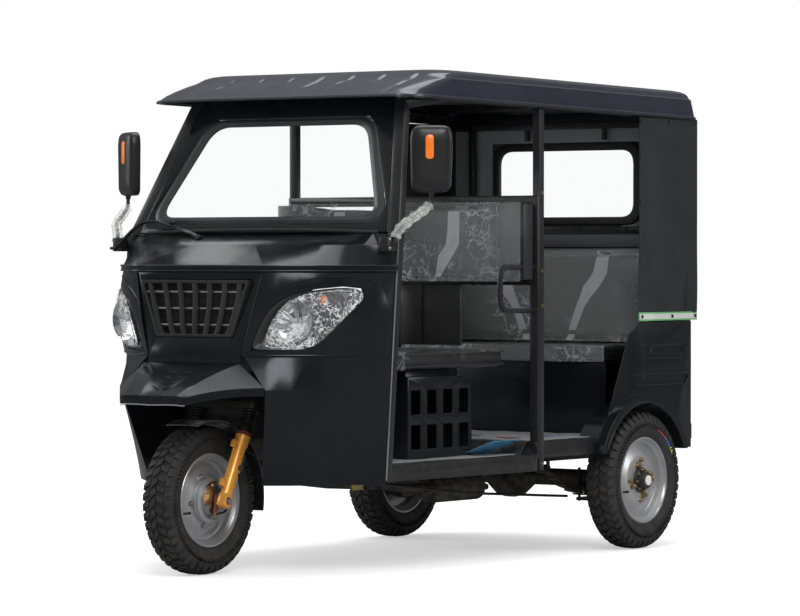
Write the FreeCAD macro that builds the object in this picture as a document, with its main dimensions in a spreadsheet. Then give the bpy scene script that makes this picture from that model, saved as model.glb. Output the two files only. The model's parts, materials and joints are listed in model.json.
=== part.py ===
import FreeCAD, Part
import math
import os

import Sketcher
from FreeCAD import Placement, Rotation, Vector

# A three-wheeled passenger taxi: one steered wheel on a raked fork in front, a driver's seat over
# the engine, a bench over the driven rear axle, a pressed nose, a moulded roof and side curtains.
# Millimetres. +Z is up, the front faces -Y, +X is the vehicle's left. The origin lies on the
# ground in the middle of the vehicle's length and width.

doc = FreeCAD.newDocument("PassengerTricycle")

# Driving sizes, kept in the sheet under these names
SIZE_GROUPS = {
    "overall": {
        "front_overhang": 280, "wheelbase": 2036, "tail_gap": 362, "bumper_reach": 72.4,
        "body_width": 1200, "seam": 0.3, "skin": 4,
    },
    "wheels": {
        "tyre_diameter": 545, "tyre_width": 128, "rim_diameter": 342, "bead_width": 98,
        "rim_wall": 6, "well_depth": 15, "well_width": 52, "disc_thickness": 9, "dish": 24,
        "dish_diameter": 190, "hub_diameter": 92, "hub_half_length": 76, "axle_diameter": 30,
        "spindle_diameter": 16, "running_gap": 0.05, "wheel_inset": 17, "wheel_flats": 24,
    },
    "steering": {
        "rake": 26, "axis_offset": 45, "leg_spacing": 230, "slider_diameter": 44,
        "slider_length": 250, "boot_diameter": 56, "boot_length": 108, "yoke_height": 30,
        "yoke_depth": 96, "stem_diameter": 34, "head_low": 500, "head_high": 700,
        "head_wall": 10, "bar_rise": 232, "bar_diameter": 22, "grip_reach": 330,
        "grip_back": 96, "grip_drop": 62, "bar_bend": 40, "fender_gap": 18, "fender_width": 150,
        "fender_front": 130, "fender_rear": 12,
        "fender_tab": 26, "fender_grip": 12,
    },
    "chassis": {
        "rail_inset": 320, "rail_width": 40, "rail_height": 50, "rail_low": 345,
        "cross_width": 50, "toe_gap": 334, "toe_height": 700, "post_width": 34,
        "floor_height": 400, "rear_floor_height": 450, "step_gap": 10, "toe_run": 86,
    },
    "cab": {
        "post": 45, "post_taper": 12, "sill_low": 338, "sill_rise": 62, "rear_sill_low": 388,
        "door_gap": 370, "door_post_depth": 36, "belt_out": 29, "foot_in": 27,
        "post_lean_in": 126, "post_top_drop": 18, "cab_length": 1280, "cab_opening": 502,
        "rail_mid": 17, "rail_inset_in_roof": 46, "rail_run": 171, "lip_droop": 31,
        "roof_gap": 430, "roof_tail": 97, "roof_overhang": 15, "roof_lip": 14, "roof_skirt": 82,
        "roof_crown": 122, "roof_shoulder": 110, "roof_slope": 216, "roof_flat": 370,
        "roof_corner": 150, "roof_rear_corner": 44, "roof_skin": 5, "groove_pitch": 157,
        "groove_width": 26, "groove_depth": 26, "bow_depth": 40, "bow_clear": 2,
    },
    "nose": {
        "crease_height": 800, "crease_step": 9, "upper_height": 307, "trim_height": 22,
        "trim_stand": 8, "scuttle_rise": 114, "scuttle_run": 15, "scuttle_back": 366,
        "crown_sweep": 44, "cheek_low": 330, "cheek_side": 355, "well_half": 261,
        "apron_face": 37, "apron_flank": 12, "knee_drop": 120, "knee_face": 43,
        "crease_face": 30, "bulge_face": 24, "panel_bow": 16, "panel_top_bow": 20,
        "panel_inset": 2, "grille_set": 12,
        "grille_top_gap": 29, "grille_low_gap": 65, "grille_half_top": 253,
        "grille_half_low": 178, "grille_border": 39, "grille_rim": 14, "grille_depth": 26,
        "slat_width": 13, "rod_diameter": 12, "lip_height": 30, "beak_drop": 136,
        "beak_bevel": 8,
        "beak_front_half": 144, "beak_rear_half": 336, "beak_rear_drop": 88, "nose_drop": 25,
        "ridge_half": 222, "scoop_depth": 16, "apron_gap": 12, "apron_step": 80, "lamp_gap": 33,
        "lamp_side": 34, "lamp_depth": 45,
    },
    "screen": {
        "screen_lean": 23.9, "screen_gap": 393, "screen_sink": 5, "screen_seat": 3.4,
        "screen_frame": 26, "screen_tuck": 20, "glass_thickness": 5, "screen_side": 38,
        "screen_foot": 34, "screen_head": 100,
        "screen_corner": 75,
    },
    "seats": {
        "seat_side_gap": 100, "seat_base_inset": 50, "seat_base_front": 600,
        "seat_base_rear": 180, "seat_base_top": 710, "driver_seat_low": 735,
        "driver_seat_thick": 75, "driver_seat_front": 680, "driver_seat_rear": 15,
        "slot_width": 60, "slot_height": 90, "slot_low": 40, "slot_step": 130, "back_low": 1062,
        "back_high": 1372, "back_depth": 55, "back_inset": 20, "bench_depth": 428,
        "bench_nose": 15, "bench_top": 738, "bench_thick": 72, "bench_back_high": 1190,
        "bench_back_depth": 96, "bar_low": 1050, "bar_high": 1357, "bar_section": 38,
        "cushion_bevel": 14,
    },
    "flanks": {
        "quarter_front": 256, "quarter_knee": 66, "quarter_knee_height": 462,
        "quarter_height": 512, "quarter_step": 24, "arch_radius": 308, "flare_width": 45,
        "flare_height": 30, "tub_clear": 24, "rib_stand": 3, "rib_length": 270,
        "rib_height": 40, "rib_rise": 282, "rib_pitch": 100, "rib_back": 50,
        "curtain_gap": 5, "curtain_front": 14, "curtain_thick": 6,
        "window_half": 335, "window_height": 280, "window_drop": 114, "window_corner": 46,
    },
    "running_gear": {
        "engine_half": 160, "engine_front": 560, "engine_rear": 222, "engine_low": 280,
        "engine_top": 640, "engine_bevel": 50, "axle_tube": 70, "diff_diameter": 180,
        "diff_width": 150, "shaft_diameter": 50, "spring_inset": 115, "spring_width": 50,
        "spring_half": 360, "spring_thick": 24, "spring_clamp": 40, "hanger": 40,
    },
    "fittings": {
        "mirror_reach": 113, "mirror_back": 459, "mirror_rise": 272, "mirror_width": 160,
        "mirror_height": 248, "mirror_depth": 46, "mirror_turn": 30, "mirror_arm": 16,
        "mirror_foot": 38, "mirror_neck": 34, "pad_width": 40, "pad_back": 24, "pad_stand": 4,
        "handle_low": 955, "handle_high": 1120, "handle_reach": 180, "handle_diameter": 22,
        "handle_bend": 40, "dash_drop": 143, "dash_depth": 96,
        "dash_gap": 30, "dash_knee": 50,
        "tail_lamp_width": 90, "tail_lamp_height": 150, "tail_lamp_low": 640,
        "tail_lamp_depth": 40, "bumper_height": 60, "bumper_inset": 40, "bumper_low": 420,
        "bumper_depth": 38, "plate_half": 110, "plate_height": 140, "plate_bolt_x": 75,
        "plate_bolt_hole": 4, "plate_bolt_drop": 40,
    },
}

sheet = doc.addObject("Spreadsheet::Sheet", "Sizes")


def fill_sheet():
    """Write every driving size into the sheet as text, one row each, with its alias."""
    row = 1
    for group, sizes in SIZE_GROUPS.items():
        sheet.set("A%d" % row, group)
        row += 1
        for name, value in sizes.items():
            sheet.set("A%d" % row, name)
            sheet.set("B%d" % row, str(value))
            sheet.setAlias("B%d" % row, name)
            row += 1
    doc.recompute()


class Dim:
    """A size with its number and the sheet expression that the number comes from."""

    def __init__(self, value, text):
        self.value = float(value)
        self.text = text

    def __float__(self):
        return self.value

    def __neg__(self):
        return Dim(-self.value, "(-%s)" % self.text)

    def __add__(self, other):
        return join(self, other, "+", self.value + float(other))

    def __radd__(self, other):
        return join(other, self, "+", float(other) + self.value)

    def __sub__(self, other):
        return join(self, other, "-", self.value - float(other))

    def __rsub__(self, other):
        return join(other, self, "-", float(other) - self.value)

    def __mul__(self, other):
        return join(self, other, "*", self.value * float(other))

    def __rmul__(self, other):
        return join(other, self, "*", float(other) * self.value)

    def __truediv__(self, other):
        return join(self, other, "/", self.value / float(other))


def join(left, right, sign, value):
    """Join two sizes or numbers into one expression."""
    texts = [side.text if isinstance(side, Dim) else repr(float(side)) for side in (left, right)]
    return Dim(value, "(%s %s %s)" % (texts[0], sign, texts[1]))


class SizeTable:
    """Gives each sheet alias as a Dim."""

    def __getattr__(self, name):
        return Dim(sheet.get(name), "Sizes." + name)


fill_sheet()
S = SizeTable()
X_AXIS = Vector(1, 0, 0)
Y_AXIS = Vector(0, 1, 0)
Z_AXIS = Vector(0, 0, 1)
NODES = {}


def vec(x, y, z):
    """A vector from sizes or numbers."""
    return Vector(float(x), float(y), float(z))


def bind(obj, prop, value):
    """Give a property its size, tied to the sheet where the size comes from there."""
    if isinstance(value, Dim):
        obj.setExpression(prop, value.text)
    else:
        setattr(obj, prop, value)


def place(obj, x, y, z, axis=Z_AXIS, angle=0):
    """Put an object at a point, turned about an axis, with both tied to the sheet."""
    obj.Placement = Placement(vec(x, y, z), Rotation(axis, float(angle)))
    for name, value in (("x", x), ("y", y), ("z", z)):
        if isinstance(value, Dim):
            obj.setExpression("Placement.Base." + name, value.text)
    if isinstance(angle, Dim):
        obj.setExpression("Placement.Rotation.Angle", angle.text)


def node(name, obj):
    """Name the object that becomes the sub-part's file."""
    obj.Label = name
    NODES[name] = obj
    return obj


def box(name, x0, x1, y0, y1, z0, z1):
    """A block between two values on each axis."""
    block = doc.addObject("Part::Box", name)
    bind(block, "Length", x1 - x0)
    bind(block, "Width", y1 - y0)
    bind(block, "Height", z1 - z0)
    place(block, x0, y0, z0)
    return block


def rod(name, diameter, length, x, y, z, axis=Z_AXIS, angle=0):
    """A round bar that starts at a point and runs along its own turned Z."""
    bar = doc.addObject("Part::Cylinder", name)
    bind(bar, "Radius", diameter / 2)
    bind(bar, "Height", length)
    place(bar, x, y, z, axis, angle)
    return bar


def fuse(name, pieces):
    """Join pieces into one solid."""
    joined = doc.addObject("Part::MultiFuse", name)
    joined.Shapes = pieces
    joined.Refine = True
    return joined


def cut(name, base, tool):
    """Take one shape out of another."""
    result = doc.addObject("Part::Cut", name)
    result.Base = base
    result.Tool = tool
    return result


def mirror(name, source):
    """The same piece on the vehicle's right."""
    other = doc.addObject("Part::Mirroring", name)
    other.Source = source
    other.Normal = X_AXIS
    return other


def sided(name, source):
    """Name a left piece and its mirrored right twin."""
    node(name + "_left", source)
    node(name + "_right", mirror(name + "_right", source))


def sketch_loops(body, plane, loops):
    """A sketch of closed outlines on one of the body's own origin planes."""
    sketch = body.newObject("Sketcher::SketchObject", body.Name + "Sketch")
    role = plane + "_Plane"
    sketch.AttachmentSupport = [([f for f in body.Origin.OriginFeatures if f.Role == role][0], "")]
    sketch.MapMode = "FlatFace"
    for points in loops:
        first = sketch.GeometryCount
        count = len(points)
        corners = [vec(x, y, 0) for x, y in points]
        for i in range(count):
            sketch.addGeometry(Part.LineSegment(corners[i], corners[(i + 1) % count]))
        for i in range(count):
            end = first + (i + 1) % count
            sketch.addConstraint(Sketcher.Constraint("Coincident", first + i, 2, end, 1))
        for i, point in enumerate(points):
            for kind, value in zip(("DistanceX", "DistanceY"), point):
                rule = Sketcher.Constraint(kind, -1, 1, first + i, 1, float(value))
                index = sketch.addConstraint(rule)
                if isinstance(value, Dim):
                    sketch.setExpression("Constraints[%d]" % index, value.text)
    return sketch


def prism(name, plane, loops, length, at=(0, 0, 0), middle=True, axis=Z_AXIS, angle=0):
    """Outlines on a plane, padded to a length. Loops inside the first are holes."""
    body = doc.addObject("PartDesign::Body", name)
    sketch = sketch_loops(body, plane, loops)
    pad = body.newObject("PartDesign::Pad", name + "Pad")
    pad.Profile = sketch
    bind(pad, "Length", length)
    if middle:
        pad.SideType = "Symmetric"
    place(body, *at, axis, angle)
    return body


def turned(name, points, at=(0, 0, 0)):
    """A profile of (along X, radius) points turned about the X axis."""
    body = doc.addObject("PartDesign::Body", name)
    sketch = sketch_loops(body, "XY", [points])
    spin = body.newObject("PartDesign::Revolution", name + "Turn")
    spin.Profile = sketch
    spin.ReferenceAxis = (sketch, ["H_Axis"])
    spin.Angle = 360
    place(body, *at)
    return body


def shaped(name, shape):
    """A shape worked out in code from the sheet's sizes."""
    holder = doc.addObject("Part::Feature", name)
    holder.Shape = shape
    return holder


def offset_path(points, gap):
    """The path moved to its left by a gap, with mitred corners."""
    flats = [Vector(float(a), float(b), 0) for a, b in points]
    normals = []
    for start, end in zip(flats, flats[1:]):
        run = (end - start).normalize()
        normals.append(Vector(-run.y, run.x, 0))
    moved = []
    for i, flat in enumerate(flats):
        before = normals[max(i - 1, 0)]
        after = normals[min(i, len(normals) - 1)]
        bisector = (before + after).normalize()
        moved.append(flat + bisector * (float(gap) / bisector.dot(after)))
    return [(p.x, p.y) for p in moved]


def curve(controls, count):
    """Points along the cubic curve with these four control points."""
    ends = [vec(a, b, 0) for a, b in controls]
    points = []
    for i in range(count + 1):
        t = i / count
        weights = ((1 - t) ** 3, 3 * t * (1 - t) ** 2, 3 * t * t * (1 - t), t ** 3)
        point = Vector(0, 0, 0)
        for weight, end in zip(weights, ends):
            point += end * weight
        points.append((point.x, point.y))
    return points


def solid_of(rings):
    """A solid from the corner rings of its flat faces."""
    faces = [Part.Face(Part.makePolygon(list(ring) + [ring[0]])) for ring in rings]
    shell = Part.Shell(faces)
    shell.sewShape()
    solid = Part.Solid(shell)
    if solid.Volume < 0:
        solid.reverse()
    return solid


def folded_faces(low, high, lean):
    """Triangles between two paths of points; lean says which way each quad folds."""
    faces = []
    for i in range(len(low) - 1):
        a, b, c, d = low[i], low[i + 1], high[i + 1], high[i]
        if lean[i]:
            faces += [(a, b, c), (a, c, d)]
        else:
            faces += [(a, b, d), (b, c, d)]
    return faces


def folded_wall(outers, inners):
    """A wall of flat folds through matching outer and inner paths, closed at all its edges."""
    faces = [tuple(outers[0]) + tuple(inners[0][::-1]), tuple(outers[-1]) + tuple(inners[-1][::-1])]
    for outer, above, inner, inner_above in zip(outers, outers[1:], inners, inners[1:]):
        lean = [(above[i + 1] - outer[i]).Length <= (above[i] - outer[i + 1]).Length
                for i in range(len(outer) - 1)]
        faces += folded_faces(outer, above, lean)
        faces += folded_faces(inner, inner_above, lean)
        for end in (0, -1):
            faces += folded_faces([outer[end], inner[end]], [above[end], inner_above[end]], [True])
    return solid_of(faces)


def folded_block(rings):
    """A solid of flat folds through closed rings of points, with a flat cap at both ends."""
    faces = [tuple(rings[0]), tuple(rings[-1])]
    for ring, above in zip(rings, rings[1:]):
        low, high = ring + ring[:1], above + above[:1]
        lean = [(high[i + 1] - low[i]).Length <= (high[i] - low[i + 1]).Length
                for i in range(len(ring))]
        faces += folded_faces(low, high, lean)
    return solid_of(faces)


def plan_wall(levels):
    """A wall that follows a plan path at each height: levels are (z, path, thickness)."""
    outers = [[vec(x, y, z) for x, y in path] for z, path, gap in levels]
    inners = [[vec(x, y, z) for x, y in offset_path(path, gap)] for z, path, gap in levels]
    return folded_wall(outers, inners)


def both_sides(half):
    """A path from the right edge to the left edge, from its centre-to-left half."""
    left = [(float(x), float(y)) for x, y in half]
    return [(-x, y) for x, y in left[:0:-1]] + left


def flat_ring(profile, flats):
    """A closed profile of (along X, radius) points carried round the X axis in even flats."""
    count = int(float(flats))
    turns = [2 * math.pi * (k + 0.5) / count for k in range(count)]
    rings = [[vec(x, float(r) * math.cos(a), float(r) * math.sin(a)) for x, r in profile]
             for a in turns]
    faces = []
    for ring, after in zip(rings, rings[1:] + rings[:1]):
        for j in range(len(profile)):
            k = (j + 1) % len(profile)
            faces.append((ring[j], ring[k], after[k], after[j]))
    return solid_of(faces)


def rounded_route(points, bend, chords=3):
    """A route's corners replaced by short chords of an arc."""
    corners = [vec(*p) for p in points]
    route = [corners[0]]
    for before, corner, after in zip(corners, corners[1:], corners[2:]):
        into = (corner - before).normalize()
        out = (after - corner).normalize()
        half_turn = into.getAngle(out) / 2
        centre = corner + (out - into).normalize() * (float(bend) / math.cos(half_turn))
        enter = corner - into * (float(bend) * math.tan(half_turn))
        leave = corner + out * (float(bend) * math.tan(half_turn))
        spoke, last = enter - centre, leave - centre
        for k in range(chords + 1):
            share = k / chords
            mixed = spoke * (1 - share) + last * share
            route.append(centre + mixed.normalize() * float(bend))
    return route + [corners[-1]]


def carried(route, section, across):
    """A bar whose section, as (across, over) offsets, is carried along a route with mitres."""
    runs = [(after - before).normalize() for before, after in zip(route, route[1:])]
    side = (across - runs[0] * across.dot(runs[0])).normalize()
    over = runs[0].cross(side)
    ring = [route[0] + side * float(a) + over * float(b) for a, b in section]
    rings = [ring]
    for i in range(1, len(route)):
        run = runs[i - 1]
        normal = run + runs[i] if i < len(runs) else run
        ring = [p + run * ((route[i] - p).dot(normal) / run.dot(normal)) for p in ring]
        rings.append(ring)
    faces = [tuple(rings[0]), tuple(rings[-1])]
    for ring, after in zip(rings, rings[1:]):
        for j in range(len(ring)):
            k = (j + 1) % len(ring)
            faces.append((ring[j], ring[k], after[k], after[j]))
    return solid_of(faces)


def round_section(diameter, sides=10):
    """The corners of an even many-sided section."""
    radius = float(diameter) / 2
    turns = [2 * math.pi * (k + 0.5) / sides for k in range(sides)]
    return [(radius * math.cos(a), radius * math.sin(a)) for a in turns]


def tube(points, diameter, bend, across=X_AXIS):
    """A tube along straight runs with chorded bends."""
    return carried(rounded_route(points, bend), round_section(diameter), across)


def extruded(outline, y0, y1):
    """An outline of (x, z) corners pushed along Y."""
    ring = [vec(x, y0, z) for x, z in outline]
    face = Part.Face(Part.makePolygon(ring + [ring[0]]))
    return face.extrude(Vector(0, float(y1) - float(y0), 0))


def shrunk(outline, gap):
    """An anticlockwise outline drawn in by a gap, with mitred corners."""
    loop = [outline[-1]] + list(outline) + [outline[0]]
    return offset_path(loop, gap)[1:-1]


# Places worked out from the driving sizes
HALF = S.body_width / 2
LENGTH = (S.front_overhang + S.wheelbase + S.tail_gap + S.post + S.seam * 2 + S.skin
          + S.bumper_reach)
FRONT_Y = -LENGTH / 2
REAR_Y = LENGTH / 2
AXLE_FRONT = FRONT_Y + S.front_overhang
AXLE_REAR = AXLE_FRONT + S.wheelbase
AXLE_Z = S.tyre_diameter / 2
REAR_X = HALF - S.wheel_inset
RAKE = math.radians(S.rake.value)
DOOR_Y = AXLE_FRONT + S.door_gap
B_POST_Y = AXLE_FRONT + S.cab_length
C_POST_Y = AXLE_REAR + S.tail_gap
REAR_FACE = C_POST_Y + S.post + S.seam * 2 + S.skin
CREASE_Z = S.crease_height
NOSE_LOW = CREASE_Z - S.nose_drop
NOSE_TOP = CREASE_Z + S.upper_height
TRIM_LOW = NOSE_TOP + S.seam
TRIM_HIGH = TRIM_LOW + S.trim_height
SCUTTLE_TOP = TRIM_HIGH + S.scuttle_rise
BELT_X = HALF + S.belt_out
FACE_Y = AXLE_FRONT - S.crease_face
LIP_FRONT = SCUTTLE_TOP + S.cab_opening
ROOF_FRONT = AXLE_FRONT + S.roof_gap
ROOF_REAR = C_POST_Y + S.roof_tail


def lip_z(y):
    """Height of the roof's lower lip, which droops towards the back."""
    return LIP_FRONT - S.lip_droop * ((y - ROOF_FRONT) / (ROOF_REAR - ROOF_FRONT))


def flank_x(z):
    """The front cab's half width at a height: it widens from the sill to the screen's foot."""
    climb = (z - S.sill_low) / (SCUTTLE_TOP - S.sill_low)
    return HALF - S.foot_in + (S.foot_in + S.belt_out) * climb


# Wheels
def tyre(name, x, y):
    """A tyre ring with flat tread, sloped shoulders and bulged walls."""
    outer = S.tyre_diameter / 2
    seat = S.rim_diameter / 2 + S.seam
    depth = outer - seat
    half = S.tyre_width / 2
    bead = S.bead_width / 2
    right = [(bead, seat), (half, seat + depth * 0.42), (half * 0.88, outer - depth * 0.17),
             (half * 0.6, outer)]
    left = [(-a, r) for a, r in right[::-1]]
    ring = shaped(name, flat_ring(right + left, S.wheel_flats))
    place(ring, x, y, AXLE_Z)
    node(name, ring)


def rim(name, x, y, bore, outward):
    """A steel rim with its well, dished disc and hub, bored for its axle."""
    rim_r = S.rim_diameter / 2
    inner = rim_r - S.rim_wall
    well = rim_r - S.well_depth
    well_inner = well - S.rim_wall
    half_well = S.well_width / 2
    bead = S.bead_width / 2
    hub_r = S.hub_diameter / 2
    hub = S.hub_half_length
    disc = S.disc_thickness
    dish_r = S.dish_diameter / 2
    core = bore / 4
    outline = [(-bead, rim_r), (-half_well - S.well_depth, rim_r), (-half_well, well),
               (half_well, well), (half_well + S.well_depth, rim_r), (bead, rim_r),
               (bead, inner), (half_well, well_inner), (disc, well_inner),
               (disc + S.dish, dish_r), (disc + S.dish, hub_r), (hub, hub_r), (hub, core),
               (-hub, core), (-hub, hub_r), (S.dish, hub_r), (S.dish, dish_r),
               (0, well_inner), (-half_well, well_inner), (-bead, inner)]
    outline = [(a * outward, r) for a, r in outline]
    wheel = flat_ring(outline, S.wheel_flats)
    bore_r = float(bore / 2 + S.running_gap)
    reach = float(hub) + float(S.skin)
    hole = Part.makeCylinder(bore_r, 2 * reach, Vector(-reach, 0, 0), X_AXIS)
    holder = shaped(name, wheel.cut(hole))
    place(holder, x, y, AXLE_Z)
    node(name, holder)


tyre("front_tyre", 0, AXLE_FRONT)
rim("front_rim", 0, AXLE_FRONT, S.spindle_diameter, 1)
for side_name, sign in (("left", 1), ("right", -1)):
    tyre("rear_tyre_" + side_name, REAR_X * sign, AXLE_REAR)
    rim("rear_rim_" + side_name, REAR_X * sign, AXLE_REAR, S.axle_diameter, sign)


# Fork, built upright about the steering axis and then laid back by the rake
STEER_AT = (0, AXLE_FRONT + S.axis_offset, AXLE_Z)
COS_RAKE = math.cos(RAKE)
SIN_RAKE = math.sin(RAKE)
LEG_Y = -S.axis_offset * COS_RAKE
LEG_Z = -S.axis_offset * SIN_RAKE
LEG_X = S.leg_spacing / 2
BOOT_LOW = LEG_Z + S.slider_length
YOKE_LOW = BOOT_LOW + S.boot_length
YOKE_HIGH = YOKE_LOW + S.yoke_height
BAR_HEIGHT = (CREASE_Z + S.bar_rise - AXLE_Z) / COS_RAKE


def raked(obj):
    """Lay a piece back about the point where the steering axis passes the axle's height."""
    place(obj, *STEER_AT, X_AXIS, -S.rake)
    return obj


def fork():
    """Yoke, boots and stem in one welded piece."""
    yoke = box("Yoke", -LEG_X - S.boot_diameter / 2, LEG_X + S.boot_diameter / 2,
               LEG_Y - S.boot_diameter / 2, LEG_Y - S.boot_diameter / 2 + S.yoke_depth,
               YOKE_LOW, YOKE_HIGH)
    boots = [rod("Boot" + side, S.boot_diameter, S.boot_length, x, LEG_Y, BOOT_LOW)
             for side, x in (("Left", LEG_X), ("Right", -LEG_X))]
    stem = rod("Stem", S.stem_diameter, BAR_HEIGHT - YOKE_LOW, 0, 0, YOKE_LOW)
    node("fork", raked(fuse("Fork", [yoke, stem] + boots)))


def sliders():
    """The two lower legs with the wheel spindle between them."""
    legs = [rod("Slider" + side, S.slider_diameter, S.slider_length + S.slider_diameter / 2,
                x, LEG_Y, LEG_Z - S.slider_diameter / 2)
            for side, x in (("Left", LEG_X), ("Right", -LEG_X))]
    spindle = rod("Spindle", S.spindle_diameter, S.leg_spacing, -LEG_X, LEG_Y, LEG_Z, Y_AXIS, 90)
    node("fork_sliders", raked(fuse("Sliders", legs + [spindle])))


def front_fender():
    """A thin arc over the front tyre, held by a tab from each fork leg."""
    inner = float(AXLE_Z + S.fender_gap)
    outer = inner + float(S.skin)
    half = float(S.fender_width) / 2
    start, end = -float(S.fender_rear), float(S.fender_front)
    chords = int(float(S.wheel_flats) * (end - start) / 360)
    turns = [math.radians(start + (end - start) * k / chords) for k in range(chords + 1)]
    low = [(inner * math.cos(a), inner * math.sin(a)) for a in turns]
    high = [(outer * math.cos(a), outer * math.sin(a)) for a in turns]
    ring = [Vector(-half, y, z) for y, z in low + high[::-1]]
    face = Part.Face(Part.makePolygon(ring + [ring[0]]))
    band = face.extrude(Vector(2 * half, 0, 0))
    grip, tab_width = float(S.fender_grip), float(S.fender_tab)
    tab_thick = 2 * grip
    reach = float(LEG_X - S.boot_diameter / 2 - S.seam)
    for side in (1, -1):
        tab = Part.makeBox(reach - half + grip, tab_width, tab_thick)
        tab.translate(Vector(half - grip, -tab_width / 2, inner - tab_thick / 2))
        tab.rotate(Vector(0, 0, 0), X_AXIS, -float(S.rake))
        if side < 0:
            tab = tab.mirror(Vector(0, 0, 0), X_AXIS)
        band = band.fuse(tab)
    fender = shaped("FrontFender", band.removeSplitter())
    place(fender, 0, AXLE_FRONT, AXLE_Z)
    node("front_fender", fender)


def handlebar():
    """A bar that rises from its clamp on the stem and sweeps back to the two grips."""
    low = float(BAR_HEIGHT)
    reach, back = float(S.grip_reach), float(S.grip_back)
    high = low + float(S.bar_diameter)
    drop = high - float(S.grip_drop)
    half = [(reach * 0.2, 0, high), (reach * 0.42, back * 0.3, high), (reach, back, drop)]
    route = [(-x, y, z) for x, y, z in half[::-1]] + half
    bar = tube(route, S.bar_diameter, S.bar_bend, Y_AXIS)
    wide, deep = float(S.stem_diameter) * 2, float(S.stem_diameter) * 1.5
    clamp = Part.makeBox(wide, deep, float(S.bar_diameter) * 2,
                         Vector(-wide / 2, -deep / 2, low + float(S.seam)))
    node("handlebar", raked(shaped("Handlebar", bar.fuse(clamp))))


fork()
sliders()
front_fender()
handlebar()


# Chassis: a ladder frame with a cross beam that carries the steering head
RAIL_TOP = S.floor_height - S.skin - S.seam
RAIL_X = HALF - S.rail_inset
TOE_Y = AXLE_FRONT + S.toe_gap
FLOOR_LOW = S.floor_height - S.skin
REAR_FLOOR_LOW = S.rear_floor_height - S.skin
ENGINE_FRONT = B_POST_Y - S.engine_front
ENGINE_REAR = B_POST_Y - S.engine_rear
TUB_INNER = REAR_X - S.tyre_width / 2 - S.tub_clear
SPRING_X = TUB_INNER - S.spring_inset
SPRING_TOP = S.rail_low + S.rail_height * 0.4


def along_steering(distance):
    """The point on the steering axis at a distance above the axle's height point."""
    x, y, z = STEER_AT
    return (x, y + distance * SIN_RAKE, z + distance * COS_RAKE)


def chassis():
    """Rails, cross members, spring hangers and the steering head."""
    rails = []
    back = TOE_Y - S.seam
    front = back - S.post_width
    beam_low, beam_high = S.toe_height + S.skin, S.toe_height + S.rail_height
    for side, x in (("Left", RAIL_X), ("Right", -RAIL_X)):
        rails.append(box("Rail" + side, x - S.rail_width / 2, x + S.rail_width / 2,
                         front, C_POST_Y, S.rail_low, RAIL_TOP))
        rails.append(box("HeadPost" + side, x - S.rail_width / 2, x + S.rail_width / 2,
                         front, back, S.rail_low, beam_high))
    beam = box("HeadBeam", -RAIL_X, RAIL_X, front, back, beam_low, beam_high)
    crosses = []
    places = (TOE_Y + S.cross_width * 2, ENGINE_REAR + S.cross_width * 2,
              C_POST_Y - S.cross_width)
    for index, y in enumerate(places):
        top = REAR_FLOOR_LOW - S.seam if index == 2 else RAIL_TOP
        crosses.append(box("Cross%d" % index, -RAIL_X, RAIL_X, y, y + S.cross_width,
                           S.rail_low, top))
    hangers = []
    for end, y in (("Front", AXLE_REAR - S.spring_half), ("Rear", AXLE_REAR + S.spring_half)):
        for side, sign in (("Left", 1), ("Right", -1)):
            outer = (SPRING_X + S.spring_width / 2) * sign
            low, high = sorted((outer, RAIL_X * sign), key=float)
            hangers.append(box("Hanger" + end + side, low, high, y - S.hanger / 2,
                               y + S.hanger / 2, SPRING_TOP, REAR_FLOOR_LOW - S.seam))
    mounts = []
    for side, sign in (("Left", 1), ("Right", -1)):
        low, high = sorted(((S.engine_half + S.seam) * sign, RAIL_X * sign), key=float)
        middle = (ENGINE_FRONT + ENGINE_REAR) / 2
        mounts.append(box("EngineMount" + side, low, high, middle - S.hanger, middle + S.hanger,
                          S.rail_low, S.rail_low + S.hanger))
    tube_r = S.stem_diameter / 2 + S.running_gap
    head = rod("HeadTube", tube_r * 2 + S.head_wall * 2, S.head_high - S.head_low,
               *along_steering(S.head_low), X_AXIS, -S.rake)
    bore = rod("HeadBore", tube_r * 2, BAR_HEIGHT, *STEER_AT, X_AXIS, -S.rake)
    head_top = AXLE_Z + S.head_high * COS_RAKE
    bracket = box("HeadBracket", -tube_r - S.head_wall, tube_r + S.head_wall,
                  front - S.rail_width, back, beam_low, head_top)
    welded = fuse("ChassisWelded", rails + [beam, bracket, head] + crosses + hangers + mounts)
    node("chassis_frame", cut("Chassis", welded, bore))


chassis()


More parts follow.
